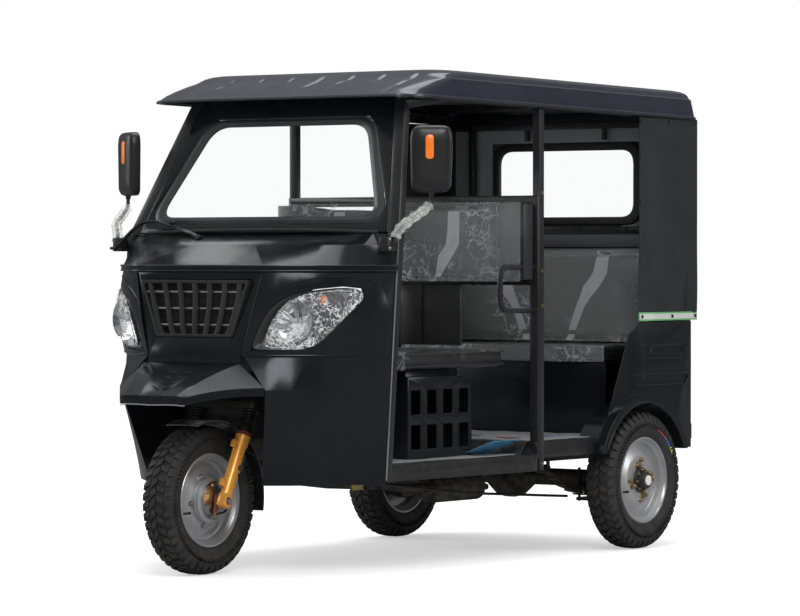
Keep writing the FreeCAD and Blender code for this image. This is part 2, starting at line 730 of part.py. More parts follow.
# Floor: one bent sheet from the toe board to the back, with the engine and tub openings
def floor_pan():
    """The sheet's side profile, padded across, with its openings cut out."""
    skin = S.skin
    step_y = B_POST_Y - S.step_gap
    cab_side = [(TOE_Y + skin, S.toe_height), (TOE_Y + skin, S.floor_height + S.toe_run),
                (TOE_Y + S.toe_run + skin / 2, S.floor_height), (step_y, S.floor_height),
                (step_y + S.post, S.rear_floor_height), (C_POST_Y, S.rear_floor_height)]
    under = [(C_POST_Y, REAR_FLOOR_LOW), (step_y + S.post + skin / 2, REAR_FLOOR_LOW),
             (step_y + skin / 2, FLOOR_LOW), (TOE_Y + S.toe_run, FLOOR_LOW),
             (TOE_Y, S.floor_height + S.toe_run - skin / 2), (TOE_Y, S.toe_height)]
    width = S.body_width - S.post * 2 - S.seam * 2
    sheet_metal = prism("FloorSheet", "YZ", [cab_side + under], width)
    clear = S.cross_width * 0.4
    openings = [box("EngineHole", -S.engine_half - clear, S.engine_half + clear,
                    ENGINE_FRONT - clear, ENGINE_REAR + clear, 0, S.rear_floor_height)]
    for side, sign in (("Left", 1), ("Right", -1)):
        low, high = sorted(((TUB_INNER - S.seam) * sign, HALF * sign), key=float)
        openings.append(box("TubHole" + side, low, high, AXLE_REAR - S.arch_radius - S.skin * 2,
                            C_POST_Y + S.post, 0, S.toe_height))
    front_x, rear_x = flank_x(S.sill_low) - S.post - S.seam, HALF - S.post - S.seam
    wedge = [(front_x, DOOR_Y - S.seam), (HALF, DOOR_Y - S.seam), (HALF, B_POST_Y),
             (rear_x, B_POST_Y)]
    taper = prism("FloorTaper", "XY", [wedge], S.toe_height, (0, 0, 0), False)
    openings += [taper, mirror("FloorTaperRight", taper)]
    node("floor_pan", cut("Floor", sheet_metal, fuse("FloorOpenings", openings)))


floor_pan()


# Nose: two cheeks, the centre panel with its grille, the beak over the wheel, and the scuttle
APRON_Y = TOE_Y - S.seam
APRON_X = RAIL_X + S.rail_width / 2 + S.apron_gap
PANEL_LOW_X = S.grille_half_low + S.grille_border
PANEL_TOP_X = S.grille_half_top + S.grille_border
CHEEK_FOLDS = 7
# How much each cheek row cuts its corner, from the lowest row to the trim
CHEEK_EASE = (1.6, 2.0, 0.4, 0.2, -0.5, 0.8)
# The lamp's outline as shares of its width and height
LAMP_SHAPE = [(0, 0.02), (0.42, 0), (0.57, 0.07), (0.72, 0.28), (0.85, 0.49), (0.94, 0.66),
              (1, 0.83), (0.98, 0.97), (0.85, 1), (0.66, 0.965), (0.49, 0.91), (0.36, 0.83),
              (0.24, 0.69), (0.12, 0.44), (0.03, 0.17)]


def nose_curve(x, y, side_x, side_y, ease):
    """The rounded plan line from the nose's face to the flank; ease cuts the corner more."""
    wide, deep = float(side_x) - float(x), float(side_y) - float(y)
    controls = [(x, y), (float(x) + wide * (0.45 - 0.1 * ease), float(y) + deep * 0.14),
                (float(x) + wide * (0.9 - 0.14 * ease), float(y) + deep * 0.6), (side_x, side_y)]
    return curve(controls, CHEEK_FOLDS)


def cheek_levels():
    """Plan lines of the left cheek: the apron behind the wheel, the face and the door edge."""
    y = float(AXLE_FRONT)
    side_y = y + float(S.cheek_side)
    door_y = float(DOOR_Y - S.seam)
    apron = float(APRON_X)
    low_x, top_x = float(PANEL_LOW_X), float(PANEL_TOP_X)
    bulge_x = (low_x + top_x) / 2
    crease, step = float(CREASE_Z), float(S.crease_step)
    beak_x = float(S.beak_rear_half) + 1
    back = float(APRON_Y)
    stepped = back - float(S.apron_step)
    face_y, knee_y = float(FACE_Y), y - float(S.knee_face)
    rows = [
        (float(S.cheek_low), apron, back, float(S.well_half), y + float(S.apron_face),
         side_y + float(S.apron_flank)),
        (crease - float(S.knee_drop), beak_x, back, beak_x, knee_y, side_y),
        (crease - step / 2, apron, back, low_x + step, face_y + step, side_y + step / 2),
        (crease + step / 2, apron, back, low_x, face_y, side_y),
        (crease + float(S.upper_height) * 0.5, apron, stepped, bulge_x, y - float(S.bulge_face),
         side_y),
        (float(NOSE_TOP), apron, stepped, top_x, y, side_y),
    ]
    levels = []
    for ease, (z, back_x, back_y, face_x, front_y, flank_y) in zip(CHEEK_EASE, rows):
        side_x = float(flank_x(z))
        face = nose_curve(face_x, front_y, side_x, flank_y, ease)
        levels.append((z, [(back_x, back_y)] + face + [(side_x, door_y)], S.skin))
    return levels


def lamp_outline():
    """The left headlamp's front outline as (x, z) corners."""
    x0, x1 = float(PANEL_LOW_X + S.lamp_gap), float(HALF - S.lamp_side)
    high = float(S.upper_height)
    z0 = float(CREASE_Z) + high * 0.06
    z1 = float(CREASE_Z) + high * 0.82
    return [(x0 + (x1 - x0) * a, z0 + (z1 - z0) * b) for a, b in LAMP_SHAPE]


def cheeks_and_lamps():
    """The left cheek with its lamp opening, the lamp that fills it, and their mirrored twins."""
    levels = cheek_levels()
    outline = lamp_outline()
    near = float(FRONT_Y)
    far = float(DOOR_Y)
    face = [(z, path[1:], S.lamp_depth) for z, path, gap in levels[3:]]
    lamp = plan_wall(face).common(extruded(shrunk(outline, S.seam), near, far))
    cheek = plan_wall(levels).cut(extruded(outline, near, far))
    sided("cheek", shaped("Cheek", cheek))
    sided("headlamp", shaped("Headlamp", lamp))


def bowed(half, edge_y, bow):
    """A plan line from the centre to an edge, which lies a bow further back."""
    return [(0, edge_y - bow), (half / 2, edge_y - bow * 0.75), (half, edge_y)]


def nose_panel():
    """The centre panel between the two creases, with the grille opening."""
    face_y, inset = float(FACE_Y), float(S.panel_inset)
    bow, top_bow = float(S.panel_bow), float(S.panel_top_bow) + inset
    low_x = float(PANEL_LOW_X) - float(S.skin) / 2
    top_x = float(PANEL_TOP_X) - float(S.skin) / 2
    levels = [
        (NOSE_LOW, both_sides(bowed(low_x, face_y, bow)), S.skin),
        (CREASE_Z, both_sides(bowed(low_x, face_y + inset, bow)), S.skin),
        (NOSE_TOP, both_sides(bowed(top_x, float(AXLE_FRONT) + inset, top_bow)), S.skin),
    ]
    cutter = extruded(grille_outline(), FRONT_Y, DOOR_Y)
    node("nose_panel", shaped("NosePanel", plan_wall(levels).cut(cutter)))


def grille_outline():
    """The grille opening's corners, wider at the top."""
    low, top = CREASE_Z + S.grille_low_gap, NOSE_TOP - S.grille_top_gap
    return [(-S.grille_half_low, low), (S.grille_half_low, low),
            (S.grille_half_top, top), (-S.grille_half_top, top)]


def grille():
    """A tapered frame with kinked upright slats and three rows of round rods."""
    y0 = float(FACE_Y - S.panel_bow + S.grille_set)
    y1 = y0 + float(S.grille_depth)
    outline = grille_outline()
    low, top = float(outline[0][1]), float(outline[2][1])
    half_top, half_low = float(S.grille_half_top), float(S.grille_half_low)
    outer = shrunk(outline, S.seam)
    body = extruded(outer, y0, y1).cut(extruded(shrunk(outer, S.grille_rim), y0 - S.skin,
                                               y1 + S.skin))
    middle = low + (top - low) * 0.56
    half_middle = half_low + (half_top - half_low) * 0.72
    wide = float(S.slat_width)
    edge = float(S.grille_rim) / 3
    slats = 7
    for index in range(slats):
        share = (index - (slats - 1) / 2) / (slats + 1) * 2
        levels = [(share * half_low, low + edge), (share * half_middle, middle),
                  (share * half_top, top - edge)]
        ring = [(x - wide / 2, z) for x, z in levels] + [(x + wide / 2, z) for x, z in levels[::-1]]
        body = body.fuse(extruded(ring, y0 + edge, y1 - edge))
    for share in (0.26, 0.54, 0.8):
        z = low + (top - low) * share
        half = half_low + (half_top - half_low) * share - edge
        route = [Vector(-half, (y0 + y1) / 2, z), Vector(half, (y0 + y1) / 2, z)]
        body = body.fuse(carried(route, round_section(S.rod_diameter, 6), Z_AXIS))
    node("grille", shaped("Grille", body.removeSplitter()))


def beak():
    """The fixed mudguard below the grille: a scooped top between two ridges, and a lip."""
    lip = float(S.lip_height)
    tip = float(FRONT_Y)
    rear_y = float(FACE_Y - S.panel_bow)
    bevel = float(S.beak_bevel)
    front_z = float(CREASE_Z - S.beak_drop)
    top = float(NOSE_LOW - S.seam)
    front_half, rear_half = float(S.beak_front_half), float(S.beak_rear_half)
    side_z = float(CREASE_Z - S.beak_rear_drop)
    ridge = float(S.ridge_half)
    front = [(0, front_z), (front_half * 0.5, front_z), (front_half - bevel, front_z - bevel / 4),
             (front_half, front_z - bevel), (front_half + 1, front_z - bevel - lip)]
    rear = [(0, top), (ridge * 0.5, top), (ridge, top - bevel), (rear_half, side_z),
            (rear_half + 1, side_z - lip)]
    share = 0.54
    middle = [(a + (c - a) * share, b + (d - b) * share) for (a, b), (c, d) in zip(front, rear)]
    scoop = float(S.scoop_depth)
    middle = [(x, z - (scoop if index < 2 else 0)) for index, (x, z) in enumerate(middle)]
    outers, inners = [], []
    for y, points in ((tip, front), (tip + (rear_y - tip) * share, middle), (rear_y, rear)):
        path = both_sides(points)[::-1]
        outers.append([vec(x, y, z) for x, z in path])
        inners.append([vec(x, y, z) for x, z in offset_path(path, S.skin)])
    shell = folded_wall(outers, inners)
    plate = extruded(both_sides(front)[::-1], tip, tip + float(S.skin))
    node("beak_mudguard", shaped("Beak", shell.fuse(plate).removeSplitter()))


def cowl_path():
    """The nose's top edge in plan, from its centre to the left door edge."""
    y = float(AXLE_FRONT)
    top_x, side_x = float(PANEL_TOP_X), float(flank_x(NOSE_TOP))
    face = nose_curve(top_x, y, side_x, y + float(S.cheek_side), CHEEK_EASE[-1])
    start = bowed(top_x, y, float(S.panel_top_bow))[:2]
    return start + face + [(side_x, float(DOOR_Y - S.seam))]


def scuttle():
    """The rounded panel from the nose's top edge to the windscreen, with its trim ridge."""
    back = float(AXLE_FRONT + S.scuttle_back)
    top_x = float(PANEL_TOP_X)
    side = float(BELT_X) - float(S.trim_stand) * 1.5
    wide = side - top_x
    sweep = float(S.crown_sweep)
    low_half = cowl_path()
    crown_half = [(0, back), (top_x / 2, back)]
    crown_half += curve([(top_x, back), (top_x + wide * 0.45, back - sweep * 0.1),
                         (top_x + wide * 0.75, back - sweep * 0.9), (side, back - sweep)],
                        CHEEK_FOLDS)
    crown_half += [(side, float(DOOR_Y - S.seam))]
    plan, rise = 0.42, 0.64
    middle_half = [(a + (c - a) * plan, b + (d - b) * plan)
                   for (a, b), (c, d) in zip(low_half, crown_half)]
    middle_z = TRIM_HIGH + S.scuttle_rise * rise
    panel = plan_wall([(TRIM_HIGH, both_sides(low_half), S.scuttle_run),
                       (middle_z, both_sides(middle_half), S.scuttle_run),
                       (SCUTTLE_TOP, both_sides(crown_half), S.scuttle_run)])
    ridge = offset_path(both_sides(low_half), -S.trim_stand)
    trim = plan_wall([(TRIM_LOW, ridge, S.trim_stand + S.skin),
                      (TRIM_HIGH, ridge, S.trim_stand + S.skin)])
    whole = panel.fuse(trim)
    pad_y = float(DOOR_Y - S.pad_back)
    pad_z = float(SCUTTLE_TOP - S.mirror_foot)
    pad = float(S.pad_width)
    for sign in (1, -1):
        low, high = sorted((sign * (side - float(S.scuttle_run) / 2),
                            sign * float(BELT_X + S.pad_stand)))
        whole = whole.fuse(Part.makeBox(high - low, pad, pad,
                                        Vector(low, pad_y - pad, pad_z - pad / 2)))
    node("scuttle", shaped("Scuttle", whole))


cheeks_and_lamps()
nose_panel()
grille()
beak()
scuttle()


# Windscreen: a leaning frame with its glass, between the two leaning door posts
LEAN = math.radians(S.screen_lean.value)
SCREEN_Y = AXLE_FRONT + S.screen_gap
SCREEN_LOW = SCUTTLE_TOP + S.seam - S.screen_sink
SCREEN_RISE = LIP_FRONT + S.screen_tuck - SCREEN_LOW
POST_RISE = S.cab_opening - S.post_top_drop
POST_TOP_Z = SCUTTLE_TOP + POST_RISE
POST_TOP_SHIFT = POST_RISE * math.tan(LEAN)


def post_inner(z):
    """The leaning door post's inner face at a height."""
    return BELT_X - S.post - S.post_lean_in * ((z - SCUTTLE_TOP) / POST_RISE)


def windscreen():
    """The frame's panel, the opening and the glass that fills it."""
    tall = SCREEN_RISE / math.cos(LEAN)
    low_half = post_inner(SCREEN_LOW) - S.screen_seat
    top_half = post_inner(SCREEN_LOW + SCREEN_RISE) - S.screen_seat
    outer = [(-low_half, 0), (low_half, 0), (top_half, tall), (-top_half, tall)]
    corner = S.screen_corner

    def window(gap):
        low_x = low_half - S.screen_side - gap
        top_x = top_half - S.screen_side * 1.3 - gap
        base, head = S.screen_foot + gap, tall - S.screen_head - gap
        right = [(low_x - corner, base), (low_x - corner * 0.3, base + corner * 0.25),
                 (low_x - corner * 0.05, base + corner), (top_x, head - corner / 2),
                 (top_x - corner / 2, head)]
        return right + [(-x, z) for x, z in right[::-1]]

    frame = prism("ScreenFrame", "XZ", [outer, window(0)], S.screen_frame,
                  (0, SCREEN_Y, SCREEN_LOW), False, X_AXIS, -S.screen_lean)
    node("windscreen_frame", frame)
    back = (S.screen_frame - S.glass_thickness) / 2
    pane = prism("ScreenGlass", "XZ", [window(S.seam)], S.glass_thickness,
                 (0, SCREEN_Y - back * math.cos(LEAN), SCREEN_LOW + back * math.sin(LEAN)),
                 False, X_AXIS, -S.screen_lean)
    node("windscreen_glass", pane)


windscreen()


# Cab: side frames with door post, centre post, rear post and roof rail
def side_frame():
    """The left side's sills, posts, roof rail and grab handle as one welded frame."""
    inner, outer = HALF - S.post, HALF
    low, high = S.sill_low, S.sill_low + S.sill_rise
    front_in, front_out = flank_x(low) - S.post, flank_x(low)
    plan = [(front_in, DOOR_Y), (front_out, DOOR_Y), (outer, B_POST_Y),
            (outer, B_POST_Y + S.post), (inner, B_POST_Y + S.post), (inner, B_POST_Y)]
    sill = prism("Sill", "XY", [plan], S.sill_rise, (0, 0, low), False)
    rear_sill = box("RearSill", inner, outer, B_POST_Y, AXLE_REAR - S.arch_radius + S.skin * 2,
                    S.rear_sill_low, S.rear_floor_height)
    b_post = box("CentrePost", inner, outer, B_POST_Y, B_POST_Y + S.post, low,
                 lip_z(B_POST_Y) + S.rail_mid)
    c_post = box("RearPost", inner, outer, C_POST_Y, C_POST_Y + S.post, S.rear_sill_low,
                 lip_z(C_POST_Y))
    c_head = box("RearPostHead", inner, outer - S.post_taper, C_POST_Y,
                 C_POST_Y + S.post - S.post_taper, lip_z(C_POST_Y) - S.skin,
                 lip_z(C_POST_Y) + S.rail_mid)
    depth = float(S.door_post_depth)
    x = float(outer - S.post / 2)
    y = float(DOOR_Y) + depth / 2
    belt_x = float(BELT_X - S.post / 2)
    top = (belt_x - float(S.post_lean_in), y + float(POST_TOP_SHIFT), POST_TOP_Z)
    rail_x = outer - S.rail_inset_in_roof
    rail_y = top[1] + float(S.rail_run)
    rail_end = C_POST_Y + S.post - S.post_taper
    route = [vec(front_out - S.post / 2, y, low), vec(belt_x, y, SCUTTLE_TOP), vec(*top),
             vec(rail_x, rail_y, lip_z(rail_y) + S.rail_mid),
             vec(rail_x, rail_end, lip_z(rail_end) + S.rail_mid)]
    half = float(S.post) / 2
    section = [(-half, -depth / 2), (half, -depth / 2), (half, depth / 2), (-half, depth / 2)]
    post_and_rail = shaped("DoorPostAndRail", carried(route, section, X_AXIS))
    y0 = float(B_POST_Y) + float(S.skin)
    reach = y0 - float(S.handle_reach)
    handle = shaped("GrabHandle", tube(
        [(x, y0, S.handle_low), (x, reach, S.handle_low),
         (x, reach, S.handle_high), (x, y0, S.handle_high)], S.handle_diameter, S.handle_bend))
    sided("side_frame", fuse("SideFrame", [sill, rear_sill, b_post, c_post, c_head,
                                           post_and_rail, handle]))


side_frame()


# Roof: a moulded shell with a grooved front slope, a deep skirt and bows under its crown
# Each step is inset at the sides, rise over the lip, set back at the front, set in at the rear,
# and the depth of the grooves there
ROOF_STEPS = [(0, 0, 0, 0, 0), (3, S.roof_lip, 8, 3, 0), (12, S.roof_skirt, S.roof_slope, 10, 1),
              (30, S.roof_shoulder, S.roof_slope * 1.2, 24, 0.8),
              (80, S.roof_crown, S.roof_slope * 1.6, 64, 0)]
GROOVES = 4


def roof_front_edge(half):
    """Points of the roof's front edge from its centre to the left, with groove marks."""
    flat, corner = float(S.roof_flat), float(S.roof_corner)
    bend = curve([(flat, 0), (half - corner * 0.2, corner * 0.2), (half, corner * 0.34),
                  (half, corner)], 7)

    def depth_at(x):
        for (x0, y0), (x1, y1) in zip(bend, bend[1:]):
            if x0 <= x <= x1:
                return y0 + (y1 - y0) * (x - x0) / (x1 - x0)
        return 0.0

    wide = float(S.groove_width) / 2
    points = [(x, y, 0) for x, y in bend]
    for index in range(GROOVES):
        x = float(S.groove_pitch) * (index + 0.5)
        points += [(x - wide, depth_at(x - wide), 0), (x, depth_at(x), 1),
                   (x + wide, depth_at(x + wide), 0)]
    return sorted(points)


def roof_ring(inset, rise, front_back, rear_in, groove):
    """One plan ring of the roof at a height over its drooping lip."""
    half = float(S.roof_overhang + HALF) - inset
    y0 = float(ROOF_FRONT) + front_back
    y1 = float(ROOF_REAR) - rear_in
    corner = float(S.roof_rear_corner)
    dip = float(S.groove_depth) * groove
    right = [(x, y0 + y + dip * mark) for x, y, mark in roof_front_edge(half)]
    right += [(half, y1 - corner), (half - corner * 0.3, y1 - corner * 0.3), (half - corner, y1)]
    plan = right + [(-x, y) for x, y in right[::-1]]
    return [vec(x, y, float(lip_z(y)) + rise) for x, y in plan]


def roof():
    """Outer shell minus inner shell, with a bow over the screen and two on the roof rails."""
    skin = float(S.roof_skin)
    steps = [[float(value) for value in step] for step in ROOF_STEPS]
    outer = folded_block([roof_ring(*step) for step in steps])
    inner_steps = [(a + skin, z - (skin if z else -z - 1), b + skin, c + skin, d)
                   for a, z, b, c, d in steps]
    inner_steps[0] = (skin, -1.0, skin, skin, 0)
    shell = outer.cut(folded_block([roof_ring(*step) for step in inner_steps]))
    deep = float(S.bow_depth)
    crown = float(S.roof_crown)
    rail_top = float(S.rail_mid) + float(S.door_post_depth) / 2
    screen_top_y = float(SCREEN_Y) + float(SCREEN_RISE) * math.tan(LEAN)
    screen_top_z = float(SCREEN_LOW + SCREEN_RISE)
    front_reach = float(post_inner(POST_TOP_Z)) - float(S.post) / 2
    bows = [(screen_top_y + float(S.seam), front_reach, screen_top_z - float(S.roof_lip))]
    for y in (float(B_POST_Y), float(C_POST_Y) - deep * 1.5):
        bows.append((y, float(HALF - S.post / 2), float(lip_z(y)) + rail_top + float(S.bow_clear)))
    for y, reach, low in bows:
        tall = float(LIP_FRONT) + crown - low
        bow = Part.makeBox(2 * reach, deep, tall, Vector(-reach, y, low))
        shell = shell.fuse(bow.common(outer))
    node("roof", shaped("Roof", shell))


roof()


# Partition behind the driver, and the seats
SEAT_HALF = HALF - S.seat_side_gap
SEAT_BASE_HALF = SEAT_HALF - S.seat_base_inset
PARTITION_Y = B_POST_Y + S.skin


def partition():
    """Two cross bars between the centre posts, on an upright at each end."""
    inner = HALF - S.post - S.seam
    bars = []
    for index, z in enumerate((S.bar_low, S.bar_high)):
        bars.append(box("Bar%d" % index, -inner, inner, PARTITION_Y,
                        PARTITION_Y + S.bar_section, z, z + S.bar_section))
    for side, x in (("Left", inner - S.bar_section), ("Right", -inner)):
        bars.append(box("BarLeg" + side, x, x + S.bar_section, PARTITION_Y,
                        PARTITION_Y + S.bar_section, S.rear_floor_height + S.seam,
                        S.bar_high + S.bar_section))
    node("partition_frame", fuse("Partition", bars))


def cushion(name, x_half, y0, y1, z0, z1):
    """A plain padded block with bevelled edges."""
    block = box(name + "Block", -x_half, x_half, y0, y1, z0, z1)
    doc.recompute()
    eased = doc.addObject("Part::Chamfer", name + "Eased")
    eased.Base = block
    bevel = min(S.cushion_bevel.value, float(z1 - z0) * 0.4, float(y1 - y0) * 0.4)
    eased.Edges = [(i + 1, bevel, bevel) for i in range(12)]
    node(name, eased)


def driver_seat():
    """The slotted seat box over the engine, its cushion and the padded back."""
    half = SEAT_BASE_HALF
    y0, y1 = B_POST_Y - S.seat_base_front, B_POST_Y - S.seat_base_rear
    low = S.floor_height + S.seam
    skin = S.skin
    shell = cut("SeatShell", box("SeatOuter", -half, half, y0, y1, low, S.seat_base_top),
                box("SeatInner", skin - half, half - skin, y0 + skin, y1 - skin, low - skin,
                    S.seat_base_top - skin))
    slots = []
    columns = 4
    pitch = (y1 - y0) / columns
    for row in range(2):
        z = low + S.slot_low + S.slot_step * row
        for column in range(columns):
            start = y0 + pitch * (column + 0.5) - S.slot_width / 2
            slots.append(box("Slot%d%d" % (row, column), -half - skin, half + skin, start,
                             start + S.slot_width, z, z + S.slot_height))
    inset = skin * 10
    rest = box("SeatPlinth", inset - half, half - inset, y0 + inset, y1 - inset,
               S.seat_base_top, S.driver_seat_low - S.seam)
    slotted = cut("SeatSlotted", shell, fuse("SeatSlots", slots))
    node("driver_seat_base", fuse("SeatBase", [slotted, rest]))
    cushion("driver_cushion", SEAT_HALF, B_POST_Y - S.driver_seat_front,
            B_POST_Y - S.driver_seat_rear, S.driver_seat_low,
            S.driver_seat_low + S.driver_seat_thick)
    face = PARTITION_Y - S.seam
    cushion("driver_backrest", SEAT_HALF - S.back_inset, face - S.back_depth, face, S.back_low,
            S.back_high)


def bench():
    """The rear bench: a bent base sheet, the cushion and the backrest."""
    y0, y1 = C_POST_Y - S.bench_depth, C_POST_Y
    skin = S.skin
    low, top = S.rear_floor_height + S.seam, S.bench_top
    stand = S.bench_back_high - S.bar_section
    profile = [(y0, low), (y0, top), (y1 - skin, top), (y1 - skin, stand), (y1, stand),
               (y1, top - skin), (y0 + skin, top - skin), (y0 + skin, low)]
    node("bench_base", prism("BenchBase", "YZ", [profile], (TUB_INNER - S.seam) * 2))
    rear = y1 - skin - S.seam
    cushion("bench_cushion", SEAT_HALF, y0 - S.bench_nose, rear - S.seam, top + S.seam,
            top + S.bench_thick)
    cushion("bench_backrest", SEAT_HALF, rear - S.bench_back_depth, rear,
            top + S.bench_thick + S.seam, S.bench_back_high)


partition()
driver_seat()
bench()


# Flanks and rear
QUARTER_TOP = S.rear_sill_low + S.quarter_height
QUARTER_REAR = C_POST_Y + S.post


def quarter_panel():
    """The left rear panel with its arch, the flared lip, pressed ribs and the wheel tub."""
    inner = HALF + S.seam
    skin = S.skin
    front, rear, low = AXLE_REAR - S.quarter_front, QUARTER_REAR, S.rear_sill_low
    knee_z = low + S.quarter_knee_height
    outline = [(front, low), (rear, low), (rear, QUARTER_TOP),
               (AXLE_REAR + S.quarter_step, QUARTER_TOP), (AXLE_REAR - S.quarter_knee, knee_z),
               (front, S.rear_floor_height)]
    panel = prism("QuarterSheet", "YZ", [outline], skin, (inner, 0, 0), False)
    ribs = []
    end = rear - S.rib_back
    for index in range(2):
        z = low + S.rib_rise + S.rib_pitch * index
        long = S.rib_length * (1.2 - 0.2 * index)
        bevel = S.rib_height / 2
        pad = [(end - long, z), (end, z), (end, z + S.rib_height),
               (end - long + bevel, z + S.rib_height)]
        ribs.append(prism("QuarterRib%d" % index, "YZ", [pad], S.rib_stand,
                          (inner + skin, 0, 0), False))
    arch = S.arch_radius
    turn = (Y_AXIS, 90)
    opening = rod("ArchOpening", arch * 2, S.flare_width * 4, inner - S.flare_width * 2,
                  AXLE_REAR, AXLE_Z, *turn)
    flare = rod("Flare", (arch + S.flare_height) * 2, S.flare_width, inner, AXLE_REAR, AXLE_Z,
                *turn)
    tub = rod("Tub", (arch + skin) * 2, inner - TUB_INNER, TUB_INNER, AXLE_REAR, AXLE_Z, *turn)
    tub_space = rod("TubSpace", arch * 2, inner - TUB_INNER, TUB_INNER + skin, AXLE_REAR,
                    AXLE_Z, *turn)
    floor_cut = box("ArchFloor", 0, HALF * 2, AXLE_REAR - S.wheelbase, AXLE_REAR + S.wheelbase,
                    -S.tyre_diameter, low)
    solid = cut("QuarterOuter", fuse("QuarterJoined", [panel, flare] + ribs), opening)
    wheelhouse = cut("TubShell", tub, tub_space)
    whole = fuse("QuarterWhole", [solid, wheelhouse])
    sided("quarter_panel", cut("Quarter", whole, floor_cut))


def rear_wall():
    """The lower rear panel and the upper panel round the window, in one sheet."""
    y0 = C_POST_Y + S.post + S.seam
    half = HALF
    head = lip_z(y0) + S.rail_mid * 2
    taper = S.rail_mid
    outer = [(-half, S.rear_sill_low), (half, S.rear_sill_low), (half - taper, head),
             (taper - half, head)]
    window_high = lip_z(y0) - S.window_drop

    def window(gap):
        x = S.window_half - gap
        low, high = window_high - S.window_height + gap, window_high - gap
        corner = S.window_corner
        right = [(x - corner, low), (x - corner * 0.3, low + corner * 0.3), (x, low + corner),
                 (x, high - corner), (x - corner * 0.3, high - corner * 0.3),
                 (x - corner, high)]
        return right + [(-a, b) for a, b in right[::-1]]

    node("rear_wall", prism("RearWall", "XZ", [outer, window(0)], S.skin,
                            (0, y0 + S.skin, 0), False))
    node("rear_window", prism("RearWindow", "XZ", [window(S.seam)], S.skin,
                              (0, y0 + S.skin, 0), False))


def curtain():
    """The left side curtain, a hung sheet from the roof's lip down to the quarter panel."""
    y0, y1 = AXLE_REAR + S.curtain_front, QUARTER_REAR
    low = QUARTER_TOP + S.curtain_gap
    outline = [(y0, low), (y1, low), (y1, lip_z(y1) - S.skin), (y0, lip_z(y0) - S.skin)]
    sided("side_curtain", prism("Curtain", "YZ", [outline], S.curtain_thick,
                                (HALF + S.seam, 0, 0), False))


def rear_fittings():
    """Tail lamps, the rear bumper with its blank plate holder."""
    face = REAR_FACE
    outer = HALF - S.post_taper
    sided("tail_lamp", box("TailLamp", outer - S.tail_lamp_width, outer, face,
                           face + S.tail_lamp_depth, S.tail_lamp_low,
                           S.tail_lamp_low + S.tail_lamp_height))
    low = S.bumper_low
    bumper_half = HALF - S.bumper_inset
    bar_y = REAR_Y - S.bumper_depth
    bar = box("BumperBar", -bumper_half, bumper_half, bar_y, REAR_Y, low, low + S.bumper_height)
    stays = [box("BumperStay" + side, x - S.rail_width / 2, x + S.rail_width / 2, face, bar_y,
                 low + S.bumper_height / 6, low + S.bumper_height * 5 / 6)
             for side, x in (("Left", RAIL_X), ("Right", -RAIL_X))]
    plate_top = low + S.bumper_height + S.plate_height
    holder = box("PlateHolder", -S.plate_half, S.plate_half, bar_y, bar_y + S.skin,
                 low + S.bumper_height, plate_top)
    holes = [rod("PlateHole" + side, S.plate_bolt_hole * 2, S.bumper_depth * 2, x, REAR_Y,
                 plate_top - S.plate_bolt_drop, X_AXIS, 90)
             for side, x in (("Left", S.plate_bolt_x), ("Right", -S.plate_bolt_x))]
    solid = fuse("BumperWhole", [bar, holder] + stays)
    node("rear_bumper", cut("Bumper", solid, fuse("PlateHoles", holes)))


quarter_panel()
rear_wall()
curtain()
rear_fittings()


# Running gear
AXLE_FLATS = 14


def leaf_spring():
    """A leaf spring's bow, clamped to the axle tube in its middle."""
    clamp_z = AXLE_Z + S.axle_tube / 2 - S.seam
    eye_z = SPRING_TOP - S.seam
    half, thick, clamp = S.spring_half, S.spring_thick, S.spring_clamp
    mid_z = clamp_z + thick / 2
    under = [(-half, eye_z - thick / 3), (-half * 0.5, mid_z), (-clamp, clamp_z),
             (clamp, clamp_z), (half * 0.5, mid_z), (half, eye_z - thick / 3)]
    over = [(half, eye_z), (half * 0.5, mid_z + thick * 0.8), (clamp, clamp_z + thick),
            (-clamp, clamp_z + thick), (-half * 0.5, mid_z + thick * 0.8), (-half, eye_z)]
    return prism("LeafSpring", "YZ", [under + over], S.spring_width, (SPRING_X, AXLE_REAR, 0))


def running_gear():
    """The engine block, and the live rear axle with its springs and propeller shaft."""
    y0, y1 = ENGINE_FRONT, ENGINE_REAR
    low, top = S.engine_low, S.engine_top
    bevel = S.engine_bevel
    profile = [(y0 + bevel, low), (y1 - bevel, low), (y1, low + bevel), (y1, top - bevel),
               (y1 - bevel, top), (y0 + bevel, top), (y0, top - bevel), (y0, low + bevel)]
    node("engine", prism("Engine", "YZ", [profile], S.engine_half * 2))
    tube_r = S.axle_tube / 2
    half_width = S.diff_width / 2
    hub_face = REAR_X - S.hub_half_length - S.skin / 2
    stub = REAR_X + S.hub_half_length - S.skin
    stub_r = S.axle_diameter / 2
    half = [(hub_face, tube_r), (half_width, tube_r), (half_width * 0.5, S.diff_diameter / 2)]
    profile = half + [(-a, r) for a, r in half[::-1]]
    profile += [(-hub_face, stub_r / 2), (hub_face, stub_r / 2)]
    casing = shaped("AxleCasing", flat_ring(profile, AXLE_FLATS))
    place(casing, 0, AXLE_REAR, AXLE_Z)
    stubs = rod("AxleStubs", S.axle_diameter, stub * 2, -stub, AXLE_REAR, AXLE_Z, Y_AXIS, 90)
    shaft = rod("DriveShaft", S.shaft_diameter, AXLE_REAR - y1, 0, y1 + S.seam,
                AXLE_Z + S.shaft_diameter * 0.4, X_AXIS, -90)
    spring = leaf_spring()
    node("rear_axle", fuse("AxleWhole", [casing, stubs, shaft, spring,
                                         mirror("LeafRight", spring)]))


running_gear()


